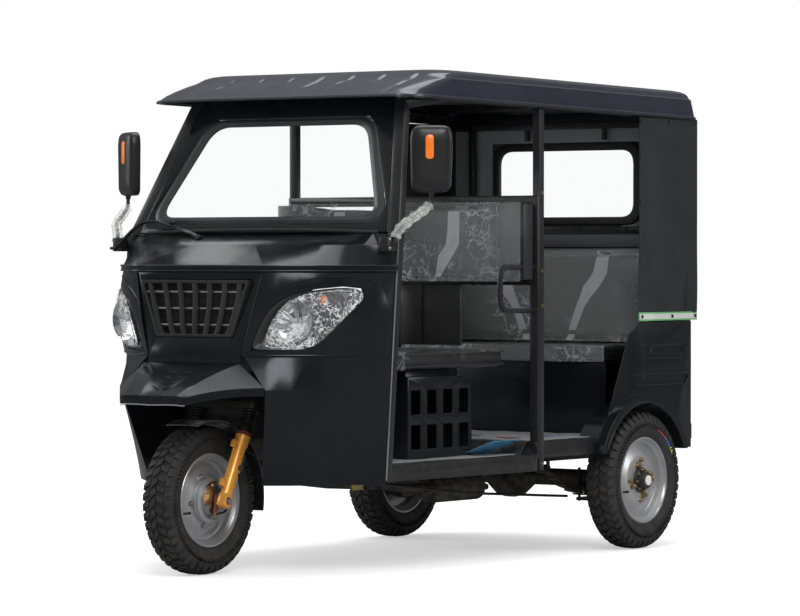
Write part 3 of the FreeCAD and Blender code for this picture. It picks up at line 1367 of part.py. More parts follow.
# Mirrors and dashboard
def mirrors():
    """A housing turned towards the driver, on a bent arm from the scuttle's pad."""
    half = S.mirror_width / 2
    tall = S.mirror_height / 2
    corner = S.mirror_width / 5
    right = [(half - corner, -tall), (half - corner * 0.3, corner * 0.3 - tall),
             (half, corner - tall), (half, tall - corner),
             (half - corner * 0.3, tall - corner * 0.3), (half - corner, tall)]
    outline = right + [(-x, z) for x, z in right[::-1]]
    x, y, z = HALF + S.mirror_reach, AXLE_FRONT + S.mirror_back, SCUTTLE_TOP + S.mirror_rise
    housing = prism("MirrorHousing", "XZ", [outline], S.mirror_depth, (x, y, z), True, Z_AXIS,
                    S.mirror_turn)
    pad_x, pad_y = BELT_X + S.pad_stand + S.seam, DOOR_Y - S.pad_back - S.pad_width / 2
    foot_z = SCUTTLE_TOP - S.mirror_foot
    neck = z - tall - S.mirror_neck
    arm = shaped("MirrorArm", tube(
        [(pad_x, pad_y, foot_z), (pad_x + S.mirror_arm * 2, pad_y, foot_z),
         (x, y, neck), (x, y, z - tall + S.mirror_arm)], S.mirror_arm, S.mirror_arm * 1.2,
        Z_AXIS))
    sided("mirror", fuse("MirrorWhole", [housing, arm]))


def dashboard():
    """A shelf-like box under the scuttle."""
    y0 = AXLE_FRONT + S.scuttle_back
    low, top = SCUTTLE_TOP - S.dash_drop, SCUTTLE_TOP - S.dash_gap
    profile = [(y0, low), (y0 + S.dash_depth * 0.6, low),
               (y0 + S.dash_depth, low + S.dash_knee), (y0 + S.dash_depth * 0.8, top), (y0, top)]
    width = (flank_x(low) - S.post - S.seam) * 2
    node("dashboard", prism("Dashboard", "YZ", [profile], width))


mirrors()
dashboard()


def check_document():
    """Stop with a plain message if any object failed or any sub-part is not one sound shape."""
    doc.recompute()
    for obj in doc.Objects:
        if "Invalid" in obj.State or "Error" in obj.State:
            raise ValueError("%s failed: %s" % (obj.Name, obj.State))
    for name, obj in NODES.items():
        shape = obj.Shape
        if shape.isNull() or not shape.isValid() or len(shape.Solids) != 1:
            raise ValueError("%s is not one valid solid" % name)


def write_parts():
    """Write one STEP file for each sub-part."""
    os.makedirs("parts", exist_ok=True)
    for name, obj in NODES.items():
        obj.Shape.exportStep("parts/%s.step" % name)
        print("%-20s volume %.0f" % (name, obj.Shape.Volume))


check_document()
write_parts()
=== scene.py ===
"""Looks of a passenger three-wheeler with a hollow cab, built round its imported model.

Every piece sits in the vehicle's own frame, in metres: the nose points along -Y,
the vehicle's left side lies along +X and the road is at Z = 0.
"""

import json
import logging
import math
import random
from dataclasses import dataclass
from enum import Enum
from typing import Callable, Iterable, Sequence

import bmesh
import bpy
from mathutils import Matrix, Vector
from mathutils.bvhtree import BVHTree

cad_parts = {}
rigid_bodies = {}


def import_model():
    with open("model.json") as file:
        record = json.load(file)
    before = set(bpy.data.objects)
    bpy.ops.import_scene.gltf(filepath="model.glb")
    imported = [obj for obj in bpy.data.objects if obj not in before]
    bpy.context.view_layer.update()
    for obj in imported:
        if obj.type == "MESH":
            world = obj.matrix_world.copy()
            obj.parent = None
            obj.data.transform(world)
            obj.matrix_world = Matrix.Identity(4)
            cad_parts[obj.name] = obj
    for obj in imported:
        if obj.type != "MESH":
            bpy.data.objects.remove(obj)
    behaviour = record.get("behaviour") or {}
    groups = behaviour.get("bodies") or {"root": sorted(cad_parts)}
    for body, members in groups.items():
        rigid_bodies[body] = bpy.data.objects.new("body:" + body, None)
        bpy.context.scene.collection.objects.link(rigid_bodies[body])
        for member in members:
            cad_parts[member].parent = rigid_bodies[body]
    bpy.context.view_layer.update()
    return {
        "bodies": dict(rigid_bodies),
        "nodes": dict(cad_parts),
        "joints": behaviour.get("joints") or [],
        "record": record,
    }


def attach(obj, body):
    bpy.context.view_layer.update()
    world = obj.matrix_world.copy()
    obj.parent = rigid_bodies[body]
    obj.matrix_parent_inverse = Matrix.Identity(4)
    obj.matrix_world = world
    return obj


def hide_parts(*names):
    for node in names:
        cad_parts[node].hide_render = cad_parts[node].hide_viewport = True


LOG = logging.getLogger("three_wheeler")

Colour = tuple[float, float, float]
Point = tuple[float, float, float]
Socket = bpy.types.NodeSocket
SIDES = (("left", 1), ("right", -1))

# Where the wheels' axles and the side frames' outer faces are, in metres.
AXLE_Z = 0.2725
FRONT_AXLE_Y = -1.120
REAR_AXLE_Y = 0.916
REAR_WHEEL_X = 0.583
SIDE_FACE_X = 0.6005
# How many steps round a tyre or a rim has, and a full turn in radians.
WHEEL_STEPS = 96
FULL_TURN = 2 * math.pi


class Body(Enum):
    """The parts of the vehicle that move as one."""

    CAB = "body"
    STEERING = "steering"
    FRONT_WHEEL = "front_wheel"
    REAR_LEFT = "rear_wheel_left"
    REAR_RIGHT = "rear_wheel_right"


class Grain(Enum):
    """The kinds of small relief that a finish can carry."""

    PEEL = "paint ripple"
    MOULD = "moulded grain"
    HIDE = "leatherette pebbles"
    CLOTH = "woven threads"
    CAST = "cast skin"
    BRUSH = "brushed lines"
    CRINKLE = "film creases"


class Graph:
    """Adds nodes to a node tree and joins them."""

    def __init__(self, tree: bpy.types.NodeTree) -> None:
        """Keeps the tree.

        Args:
            tree: The shader or geometry tree to fill.
        """
        self.tree = tree

    def add(self, kind: str, settings: dict | None = None, **inputs: object) -> bpy.types.Node:
        """Adds one node.

        Args:
            kind: The node's type name.
            settings: The node's own properties.
            **inputs: Socket names, with _ for a space, and their values or source sockets.

        Returns:
            The new node.
        """
        node = self.tree.nodes.new(kind)
        for key, value in (settings or {}).items():
            setattr(node, key, value)
        for key, value in inputs.items():
            self.feed(node.inputs[key.replace("_", " ")], value)
        return node

    def feed(self, socket: Socket, value: object) -> None:
        """Gives a socket a value or links a source to it.

        Args:
            socket: The input to fill.
            value: A number, colour, vector, data block or output socket.
        """
        if isinstance(value, Socket):
            self.tree.links.new(value, socket)
        elif value is not None:
            if socket.type == "RGBA" and len(value) == 3:
                value = (*value, 1.0)
            socket.default_value = value

    def maths(self, operation: str, first: object, second: object = None,
              clamp: bool = False) -> Socket:
        """Adds a shader Math node.

        Args:
            operation: The Math node's operation.
            first: The first number or socket.
            second: The second number or socket.
            clamp: Whether the result is held between 0 and 1.

        Returns:
            The result's socket.
        """
        node = self.add("ShaderNodeMath", {"operation": operation, "use_clamp": clamp})
        self.feed(node.inputs[0], first)
        if second is not None:
            self.feed(node.inputs[1], second)
        return node.outputs[0]

    def span(self, value: object, low: float, high: float, to_low: float = 0.0,
             to_high: float = 1.0) -> Socket:
        """Maps one range of a value to another and holds it there.

        Args:
            value: The socket to read.
            low: The value that gives to_low.
            high: The value that gives to_high.
            to_low: The first result.
            to_high: The last result.

        Returns:
            The mapped socket.
        """
        node = self.add("ShaderNodeMapRange", {"clamp": True})
        for index, item in enumerate((value, low, high, to_low, to_high)):
            self.feed(node.inputs[index], item)
        return node.outputs[0]

    def mix(self, share: object, first: object, second: object) -> Socket:
        """Mixes two colours.

        Args:
            share: How much of the second colour shows, from 0 to 1.
            first: The first colour or socket.
            second: The second colour or socket.

        Returns:
            The mixed colour's socket.
        """
        node = self.add("ShaderNodeMix", {"data_type": "RGBA"})
        self.feed(node.inputs[0], share)
        self.feed(node.inputs[6], first)
        self.feed(node.inputs[7], second)
        return node.outputs[2]


def number_group(name: str, result: str, inputs: dict[str, float],
                 build: Callable[..., Socket]) -> bpy.types.NodeTree:
    """Makes a shader group that gives one number from a place and some settings.

    Args:
        name: The group's name.
        result: The number's name.
        inputs: The settings and their usual values.
        build: Fills the group from a graph, the place and the settings, and gives the number.

    Returns:
        The group.
    """
    tree = bpy.data.node_groups.new(name, "ShaderNodeTree")
    tree.interface.new_socket("Place", in_out="INPUT", socket_type="NodeSocketVector")
    for key, value in inputs.items():
        socket = tree.interface.new_socket(key, in_out="INPUT", socket_type="NodeSocketFloat")
        socket.default_value = value
    tree.interface.new_socket(result, in_out="OUTPUT", socket_type="NodeSocketFloat")
    graph, source = Graph(tree), tree.nodes.new("NodeGroupInput")
    number = build(graph, *(source.outputs[key] for key in ("Place", *inputs)))
    graph.feed(tree.nodes.new("NodeGroupOutput").inputs[result], number)
    return tree


class Effects:
    """The surface effects that several finishes share, each a node group made once."""

    def __init__(self) -> None:
        """Builds every group."""
        reliefs = ((Grain.PEEL, "paint_ripple", lambda *ends: self.noise(*ends, 2.0, 0.4)),
                   (Grain.MOULD, "moulded_grain", lambda *ends: self.cells(*ends, 0.5)),
                   (Grain.HIDE, "leatherette_pebbles", lambda *ends: self.cells(*ends, 0.9)),
                   (Grain.CLOTH, "crossed_threads", self.weave),
                   (Grain.CAST, "cast_skin", lambda *ends: self.noise(*ends, 7.0, 0.7)),
                   (Grain.BRUSH, "brushed_lines", self.brush),
                   (Grain.CRINKLE, "film_creases", self.crinkle))
        self.groups = {grain: number_group(name, "Height", {"Scale": 100.0}, build)
                       for grain, name, build in reliefs}
        self.patches = number_group("uneven_patches", "Mask", {"Scale": 3.0}, self.patch_mask)
        self.dust = number_group("road_dust", "Mask", {"Reach": 0.7, "Amount": 0.2}, self.dust_mask)

    @staticmethod
    def noise(graph: Graph, place: Socket, scale: Socket, detail: float, rough: float) -> Socket:
        """Gives a soft uneven height.

        Args:
            graph: The group's graph.
            place: The place.
            scale: The relief's scale.
            detail: The noise's detail.
            rough: The noise's roughness.

        Returns:
            The height.
        """
        return graph.add("ShaderNodeTexNoise", Vector=place, Scale=scale, Detail=detail,
                         Roughness=rough).outputs["Fac"]

    @staticmethod
    def cells(graph: Graph, place: Socket, scale: Socket, softness: float) -> Socket:
        """Gives the height of pebbles with creases between them.

        Args:
            graph: The group's graph.
            place: The place.
            scale: The relief's scale.
            softness: How rounded the cells are.

        Returns:
            The height.
        """
        cells = graph.add("ShaderNodeTexVoronoi", {"feature": "SMOOTH_F1"}, Vector=place,
                          Scale=scale, Smoothness=softness)
        finer = graph.add("ShaderNodeTexNoise", Vector=place, Scale=scale, Detail=3.0)
        return graph.maths("SUBTRACT", graph.maths("MULTIPLY", finer.outputs["Fac"], 0.35),
                           cells.outputs["Distance"])

    @staticmethod
    def weave(graph: Graph, place: Socket, scale: Socket) -> Socket:
        """Gives the height of two crossing sets of threads."""
        split = graph.add("ShaderNodeSeparateXYZ", Vector=place)
        flat = graph.maths("ADD", split.outputs["X"], split.outputs["Y"])
        return graph.maths("MULTIPLY", *(graph.maths("SINE", graph.maths("MULTIPLY", axis, scale))
                                         for axis in (flat, split.outputs["Z"])))

    @staticmethod
    def brush(graph: Graph, place: Socket, scale: Socket) -> Socket:
        """Gives the height of fine lines drawn out along X."""
        drawn = graph.add("ShaderNodeMapping", Vector=place, Scale=(0.08, 1.0, 1.0))
        return graph.add("ShaderNodeTexNoise", Vector=drawn.outputs["Vector"], Scale=scale,
                         Detail=4.0).outputs["Fac"]

    @staticmethod
    def crinkle(graph: Graph, place: Socket, scale: Socket) -> Socket:
        """Gives the height of a clear film's sharp creases."""
        bent = graph.add("ShaderNodeTexNoise", {"noise_type": "RIDGED_MULTIFRACTAL"}, Vector=place,
                         Scale=scale, Detail=3.0, Distortion=0.8)
        cells = graph.add("ShaderNodeTexVoronoi", {"feature": "DISTANCE_TO_EDGE"}, Vector=place,
                          Scale=scale)
        return graph.maths("ADD", graph.maths("MULTIPLY", bent.outputs["Fac"], 0.35),
                           cells.outputs["Distance"])

    @staticmethod
    def patch_mask(graph: Graph, place: Socket, scale: Socket) -> Socket:
        """Gives large soft patches for uneven colour and gloss."""
        noise = graph.add("ShaderNodeTexNoise", Vector=place, Scale=scale, Detail=5.0, Roughness=0.6)
        return graph.span(noise.outputs["Fac"], 0.35, 0.65)

    @staticmethod
    def dust_mask(graph: Graph, place: Socket, reach: Socket, amount: Socket) -> Socket:
        """Gives dust that thickens towards the road."""
        height = graph.add("ShaderNodeSeparateXYZ", Vector=place).outputs["Z"]
        low = graph.span(height, 0.0, reach, 1.0, 0.12)
        noise = graph.add("ShaderNodeTexNoise", Vector=place, Scale=26.0, Detail=7.0, Roughness=0.7)
        specks = graph.span(noise.outputs["Fac"], 0.42, 0.8)
        return graph.maths("MULTIPLY", graph.maths("MULTIPLY", low, specks), amount, clamp=True)


@dataclass(frozen=True)
class Finish:
    """One surface finish: its colours, gloss and small relief.

    Attributes:
        name: The material's name.
        slot: The record's slot that the finish stands for; not used.
        base: The main colour.
        patch: The colour of the uneven patches.
        rough: The lowest and highest roughness.
        metallic: How far it is a metal.
        specular: The specular level.
        coat: The clear coat's weight.
        grain: The kind of relief.
        scale: The relief's scale.
        depth: The relief's height in metres.
        dust: How much road dust it carries.
        sheen: The weight of the cloth sheen.
        shine: The tint of what it mirrors.
    """

    name: str
    slot: str
    base: Colour
    patch: Colour
    rough: tuple[float, float] = (0.3, 0.4)
    metallic: float = 0.0
    specular: float = 0.5
    coat: float = 0.0
    grain: Grain = Grain.PEEL
    scale: float = 60.0
    depth: float = 0.0002
    dust: float = 0.0
    sheen: float = 0.0
    shine: Colour = (1.0, 1.0, 1.0)

    DUST_COLOUR = (0.36, 0.32, 0.27)

    def material(self, effects: Effects) -> bpy.types.Material:
        """Builds the material.

        Args:
            effects: The shared effects.

        Returns:
            The material.
        """
        material = bpy.data.materials.new(self.name)
        material.use_nodes = True
        graph = Graph(material.node_tree)
        shader = material.node_tree.nodes["Principled BSDF"]
        place = graph.add("ShaderNodeTexCoord").outputs["Object"]
        mask = self.group(graph, effects.patches, place, Scale=4.0)
        colour = graph.mix(mask, self.base, self.patch)
        if self.dust:
            dust = self.group(graph, effects.dust, place, Amount=self.dust)
            colour = graph.mix(dust, colour, self.DUST_COLOUR)
        graph.feed(shader.inputs["Base Color"], colour)
        rough = graph.span(mask, 0.0, 1.0, *self.rough)
        graph.feed(shader.inputs["Roughness"], rough)
        height = self.group(graph, effects.groups[self.grain], place, Scale=self.scale)
        bump = graph.add("ShaderNodeBump", Height=height, Distance=self.depth, Strength=1.0)
        graph.feed(shader.inputs["Normal"], bump.outputs["Normal"])
        for socket, value in (("Metallic", self.metallic), ("Coat Weight", self.coat),
                              ("Coat Roughness", 0.05), ("Specular IOR Level", self.specular),
                              ("Sheen Weight", self.sheen)):
            shader.inputs[socket].default_value = value
        shader.inputs["Specular Tint"].default_value = (*self.shine, 1.0)
        self.extra(graph, shader, place, effects)
        return material

    def extra(self, graph: Graph, shader: bpy.types.Node, place: Socket,
              effects: Effects) -> None:
        """Adds what only some finishes have. The plain finish adds nothing."""

    @staticmethod
    def group(graph: Graph, tree: bpy.types.NodeTree, place: Socket,
              **values: float) -> Socket:
        """Places a shared effect in a material.

        Args:
            graph: The material's graph.
            tree: The effect's group.
            place: The position that the effect reads.
            **values: The group's own inputs.

        Returns:
            The effect's output.
        """
        node = graph.add("ShaderNodeGroup", {"node_tree": tree}, Place=place, **values)
        return node.outputs[0]


@dataclass(frozen=True)
class Glazing(Finish):
    """A clear sheet that lets light through.

    Attributes:
        ior: How strongly it bends light.
    """

    ior: float = 1.45

    def extra(self, graph: Graph, shader: bpy.types.Node, place: Socket,
              effects: Effects) -> None:
        """Makes the shader pass light.

        Args:
            graph: The material's graph; not used.
            shader: The main shader.
            place: The position that patterns read; not used.
            effects: The shared effects; not used.
        """
        shader.inputs["Transmission Weight"].default_value = 1.0
        shader.inputs["IOR"].default_value = self.ior


@dataclass(frozen=True)
class Film(Finish):
    """A thin clear film that shows only where it creases; its whitish creases are partly the creased film's
    own whitening and partly painted glints.

    Attributes:
        faint: How opaque it is between its creases.
        strong: How opaque its creases are.
    """

    faint: float = 0.05
    strong: float = 0.5

    def extra(self, graph: Graph, shader: bpy.types.Node, place: Socket,
              effects: Effects) -> None:
        """Makes the film fade out between its creases.

        Args:
            graph: The material's graph.
            shader: The main shader.
            place: The position that patterns read.
            effects: The shared effects; not used.
        """
        broad = graph.add("ShaderNodeTexNoise", Vector=place, Scale=self.scale * 0.35, Detail=1.0)
        strong = graph.span(broad.outputs["Fac"], 0.34, 0.58, self.faint, self.strong)
        alpha = 0.0
        for share, width in ((0.7, 0.030), (2.2, 0.045)):
            noise = graph.add("ShaderNodeTexNoise", Vector=place, Scale=self.scale * share, Detail=3.0,
                              Distortion=0.8)
            away = graph.maths("ABSOLUTE", graph.maths("SUBTRACT", noise.outputs["Fac"], 0.5))
            crease = graph.span(away, 0.0, width, 1.0, 0.0)
            alpha = graph.maths("MAXIMUM", alpha, crease)
        alpha = graph.maths("MAXIMUM", graph.maths("MULTIPLY", alpha, strong), self.faint)
        graph.feed(shader.inputs["Alpha"], alpha)


def smooth_line(points: Sequence[Point], steps: int = 6) -> list[Vector]:
    """Runs a smooth line through points.

    Args:
        points: The points that it passes, two or more.
        steps: How many pieces each gap is cut into.

    Returns:
        The line's points.
    """
    spots = [Vector(p) for p in points]
    ends = [spots[0] * 2 - spots[1]] + spots + [spots[-1] * 2 - spots[-2]]
    line = []
    for before, start, end, after in zip(ends, ends[1:], ends[2:], ends[3:]):
        for index in range(steps):
            t = index / steps
            line.append(0.5 * (2 * start + (end - before) * t
                               + (2 * before - 5 * start + 4 * end - after) * t * t
                               + (3 * start - before - 3 * end + after) * t ** 3))
    return line + [spots[-1]]


def round_steps(count: int) -> list[float]:
    """Gives the angles that cut a full turn into equal steps."""
    return [FULL_TURN * k / count for k in range(count)]


def skin_rings(bm: bmesh.types.BMesh, rings: Sequence[Sequence[Vector]], closed: bool = True,
               caps: bool = True, loop: bool = False) -> None:
    """Joins rings of points with faces.

    Args:
        bm: The mesh to add to.
        rings: Rings with one number of points each.
        closed: Whether each ring closes on itself.
        caps: Whether the first and last rings are filled.
        loop: Whether the last ring joins the first.
    """
    rows = [[bm.verts.new(p) for p in ring] for ring in rings]
    count = len(rows[0])
    pairs = list(zip(rows, rows[1:])) + ([(rows[-1], rows[0])] if loop else [])
    for low, high in pairs:
        for index in range(count if closed else count - 1):
            after = (index + 1) % count
            bm.faces.new((low[index], low[after], high[after], high[index]))
    if caps and closed and not loop:
        bm.faces.new(rows[0][::-1])
        bm.faces.new(rows[-1])


def add_turned(bm: bmesh.types.BMesh, profile: Sequence[tuple[float, float]], centre: Point = (0, 0, 0),
               segments: int = 48, axis: str = "X") -> None:
    """Turns a closed profile round an axis.

    Args:
        bm: The mesh to add to.
        profile: Corners as (along the axis, radius).
        centre: The axis's middle point.
        segments: How many steps round.
        axis: X, Y or Z.
    """
    turn = {"X": Matrix.Identity(3), "Y": Matrix.Rotation(math.pi / 2, 3, "Z"),
            "Z": Matrix.Rotation(-math.pi / 2, 3, "Y")}[axis]
    middle = Vector(centre)
    rings = []
    for angle in round_steps(segments):
        rings.append([middle + turn @ Vector((along, -math.sin(angle) * radius, math.cos(angle) * radius))
                      for along, radius in profile])
    skin_rings(bm, rings, loop=True)


def add_tube(bm: bmesh.types.BMesh, line: Sequence[Vector], radius: float | Sequence[float],
             sides: int = 12) -> None:
    """Runs a round section along a line.

    Args:
        bm: The mesh to add to.
        line: The points of the centre line.
        radius: One radius, or one for each point.
        sides: How many sides the section has.
    """
    spots = [Vector(p) for p in line]
    radii = [radius] * len(spots) if isinstance(radius, float) else list(radius)
    ahead = (spots[1] - spots[0]).normalized()
    side = ahead.orthogonal().normalized()
    rings = []
    for index, spot in enumerate(spots):
        before, after = spots[max(index - 1, 0)], spots[min(index + 1, len(spots) - 1)]
        ahead = (after - before).normalized()
        side = (side - ahead * side.dot(ahead)).normalized()
        up = ahead.cross(side)
        rings.append([spot + (side * math.cos(a) + up * math.sin(a)) * radii[index]
                      for a in round_steps(sides)])
    skin_rings(bm, rings)


def faced(sign: int) -> float:
    """Gives the turn about Z that points a part's X outwards on a side."""
    return 0.0 if sign > 0 else math.pi


def on_side(sign: int, near: float, far: float) -> list[float]:
    """Gives the X of two distances from the middle on a side, lowest first."""
    return sorted((sign * near, sign * far))


def fresh(add: Callable[..., None], *shape: object, **how: object) -> bmesh.types.BMesh:
    """Starts a mesh with its first shape.

    Args:
        add: The function that adds the shape.
        *shape: What the function is told after the mesh.
        **how: What else it is told.

    Returns:
        The mesh, to which more can be added.
    """
    bm = bmesh.new()
    add(bm, *shape, **how)
    return bm


def framed(low: tuple[float, float], high: tuple[float, float], radius: float, steps: int
           ) -> list[tuple[float, float]]:
    """Gives an upright rectangle with rounded corners.

    Args:
        low: The lower left corner.
        high: The upper right corner.
        radius: The corner radius.
        steps: How many pieces each round has.

    Returns:
        The outline.
    """
    (a, b), (c, d) = low, high
    return round_corners([(a, b), (c, b), (c, d), (a, d)], radius, steps)


def slab(rows: Sequence[Sequence[Vector]], push: Point) -> list[list[Vector]]:
    """Gives rows of a sheet a second side.

    Args:
        rows: The sheet's rows of points.
        push: The way from the first side to the second.

    Returns:
        The rings of a closed thin slab.
    """
    way = Vector(push)
    return [list(row) + [p + way for p in row[::-1]] for row in rows]


def add_prism(bm: bmesh.types.BMesh, outline: Sequence[Vector], push: Vector) -> None:
    """Gives a flat outline a thickness.

    Args:
        bm: The mesh to add to.
        outline: The outline's corners in order.
        push: The thickness as a vector.
    """
    base = [Vector(p) for p in outline]
    skin_rings(bm, [base, [p + Vector(push) for p in base]])


def add_block(bm: bmesh.types.BMesh, low: Point, high: Point) -> None:
    """Adds a box between two corners, to be bevelled or joined with more.

    Args:
        bm: The mesh to add to.
        low: The lowest corner.
        high: The highest corner.
    """
    x0, y0, z0 = low
    x1, y1, z1 = high
    add_prism(bm, [(x0, y0, z0), (x1, y0, z0), (x1, y1, z0),
                   (x0, y1, z0)], (0, 0, z1 - z0))


def round_corners(points: Sequence[tuple[float, float]], radius: float, steps: int = 5
                  ) -> list[tuple[float, float]]:
    """Rounds the corners of a flat outline.

    Args:
        points: The outline's corners.
        radius: The corner radius, made smaller where an edge is short.
        steps: How many pieces each round has.

    Returns:
        The rounded outline.
    """
    spots = [Vector(p) for p in points]
    count = len(spots)
    line = []
    for index, spot in enumerate(spots):
        back, ahead = spots[index - 1] - spot, spots[(index + 1) % count] - spot
        reach = min(radius, back.length * 0.45, ahead.length * 0.45)
        start, end = spot + back.normalized() * reach, spot + ahead.normalized() * reach
        for k in range(steps + 1):
            t = k / steps
            line.append(tuple(start * (1 - t) ** 2 + spot * 2 * t * (1 - t) + end * t * t))
    return line


class GeometryTrees:
    """The Geometry Nodes trees that make what repeats."""

    def __init__(self) -> None:
        """Builds each tree once."""
        self.ring = self.ring_tree()
        self.row = self.row_tree()
        self.spots = self.spots_tree()
        self.sweep = self.sweep_tree()

    @staticmethod
    def start(name: str, inputs: Sequence[tuple[str, str, object]]
              ) -> tuple[bpy.types.NodeTree, Graph, bpy.types.Node, bpy.types.Node]:
        """Starts a geometry tree.

        Args:
            name: The tree's name.
            inputs: The name, socket type and usual value of each input.

        Returns:
            The tree, a graph on it, its input node and its output node.
        """
        tree = bpy.data.node_groups.new(name, "GeometryNodeTree")
        tree.interface.new_socket("Geometry", in_out="INPUT", socket_type="NodeSocketGeometry")
        for label, kind, value in inputs:
            socket = tree.interface.new_socket(label, in_out="INPUT", socket_type=kind)
            if value is not None:
                socket.default_value = value
        tree.interface.new_socket("Geometry", in_out="OUTPUT", socket_type="NodeSocketGeometry")
        return tree, Graph(tree), tree.nodes.new("NodeGroupInput"), tree.nodes.new("NodeGroupOutput")

    @staticmethod
    def close(graph: Graph, source: bpy.types.Node, sink: bpy.types.Node,
              copies: Socket) -> None:
        """Ends a tree in Realize Instances and Set Material.

        Args:
            graph: The tree's graph.
            source: The tree's input node.
            sink: The tree's output node.
            copies: The geometry to finish.
        """
        real = graph.add("GeometryNodeRealizeInstances", Geometry=copies)
        dressed = graph.add("GeometryNodeSetMaterial", Geometry=real.outputs["Geometry"],
                            Material=source.outputs["Finish"])
        graph.feed(sink.inputs["Geometry"], dressed.outputs["Geometry"])

    def ring_tree(self) -> bpy.types.NodeTree:
        """Copies a part round the X axis, and returns the tree."""
        tree, graph, source, sink = self.start("copies_round_an_axle", [
            ("Part", "NodeSocketObject", None), ("Count", "NodeSocketInt", 12),
            ("Start", "NodeSocketFloat", 0.0), ("Finish", "NodeSocketMaterial", None)])
        line = graph.add("GeometryNodeMeshLine", Count=source.outputs["Count"],
                         Offset=(0.0, 0.0, 0.0))
        index = graph.add("GeometryNodeInputIndex").outputs["Index"]
        pitch = graph.maths("DIVIDE", FULL_TURN, source.outputs["Count"])
        turn = graph.maths("ADD", graph.maths("MULTIPLY", index, pitch), source.outputs["Start"])
        angles = graph.add("ShaderNodeCombineXYZ", X=turn)
        part = graph.add("GeometryNodeObjectInfo", Object=source.outputs["Part"])
        copies = graph.add("GeometryNodeInstanceOnPoints", Points=line.outputs["Mesh"],
                           Instance=part.outputs["Geometry"], Rotation=angles.outputs["Vector"])
        self.close(graph, source, sink, copies.outputs["Instances"])
        return tree

    def row_tree(self) -> bpy.types.NodeTree:
        """Copies a part along a straight row, and returns the tree."""
        tree, graph, source, sink = self.start("copies_in_a_row", [
            ("Part", "NodeSocketObject", None), ("Count", "NodeSocketInt", 8),
            ("Step", "NodeSocketVector", (0.01, 0.0, 0.0)), ("Finish", "NodeSocketMaterial", None)])
        line = graph.add("GeometryNodeMeshLine", Count=source.outputs["Count"],
                         Offset=source.outputs["Step"])
        part = graph.add("GeometryNodeObjectInfo", Object=source.outputs["Part"])
        copies = graph.add("GeometryNodeInstanceOnPoints", Points=line.outputs["Mesh"],
                           Instance=part.outputs["Geometry"])
        self.close(graph, source, sink, copies.outputs["Instances"])
        return tree

    def spots_tree(self) -> bpy.types.NodeTree:
        """Copies a part to each marked spot with its own turn and size, and returns the tree."""
        tree, graph, source, sink = self.start("copies_on_spots", [
            ("Part", "NodeSocketObject", None), ("Finish", "NodeSocketMaterial", None)])
        turn = graph.add("GeometryNodeInputNamedAttribute", {"data_type": "FLOAT_VECTOR"}, Name="turn")
        size = graph.add("GeometryNodeInputNamedAttribute", {"data_type": "FLOAT"}, Name="size")
        part = graph.add("GeometryNodeObjectInfo", Object=source.outputs["Part"])
        copies = graph.add("GeometryNodeInstanceOnPoints", Points=source.outputs["Geometry"],
                           Instance=part.outputs["Geometry"], Rotation=turn.outputs[0],
                           Scale=size.outputs[0])
        self.close(graph, source, sink, copies.outputs["Instances"])
        return tree

    def sweep_tree(self) -> bpy.types.NodeTree:
        """Runs a round section along edges, and returns the tree."""
        tree, graph, source, sink = self.start("round_section_on_a_path", [
            ("Radius", "NodeSocketFloat", 0.004), ("Sides", "NodeSocketInt", 10),
            ("Finish", "NodeSocketMaterial", None)])
        path = graph.add("GeometryNodeMeshToCurve", Mesh=source.outputs["Geometry"])
        ring = graph.add("GeometryNodeCurvePrimitiveCircle", Resolution=source.outputs["Sides"],
                         Radius=source.outputs["Radius"])
        tube = graph.add("GeometryNodeCurveToMesh", Curve=path.outputs["Curve"],
                         Profile_Curve=ring.outputs["Curve"], Fill_Caps=True)
        soft = graph.add("GeometryNodeSetShadeSmooth", Geometry=tube.outputs["Mesh"])
        self.close(graph, source, sink, soft.outputs["Geometry"])
        return tree


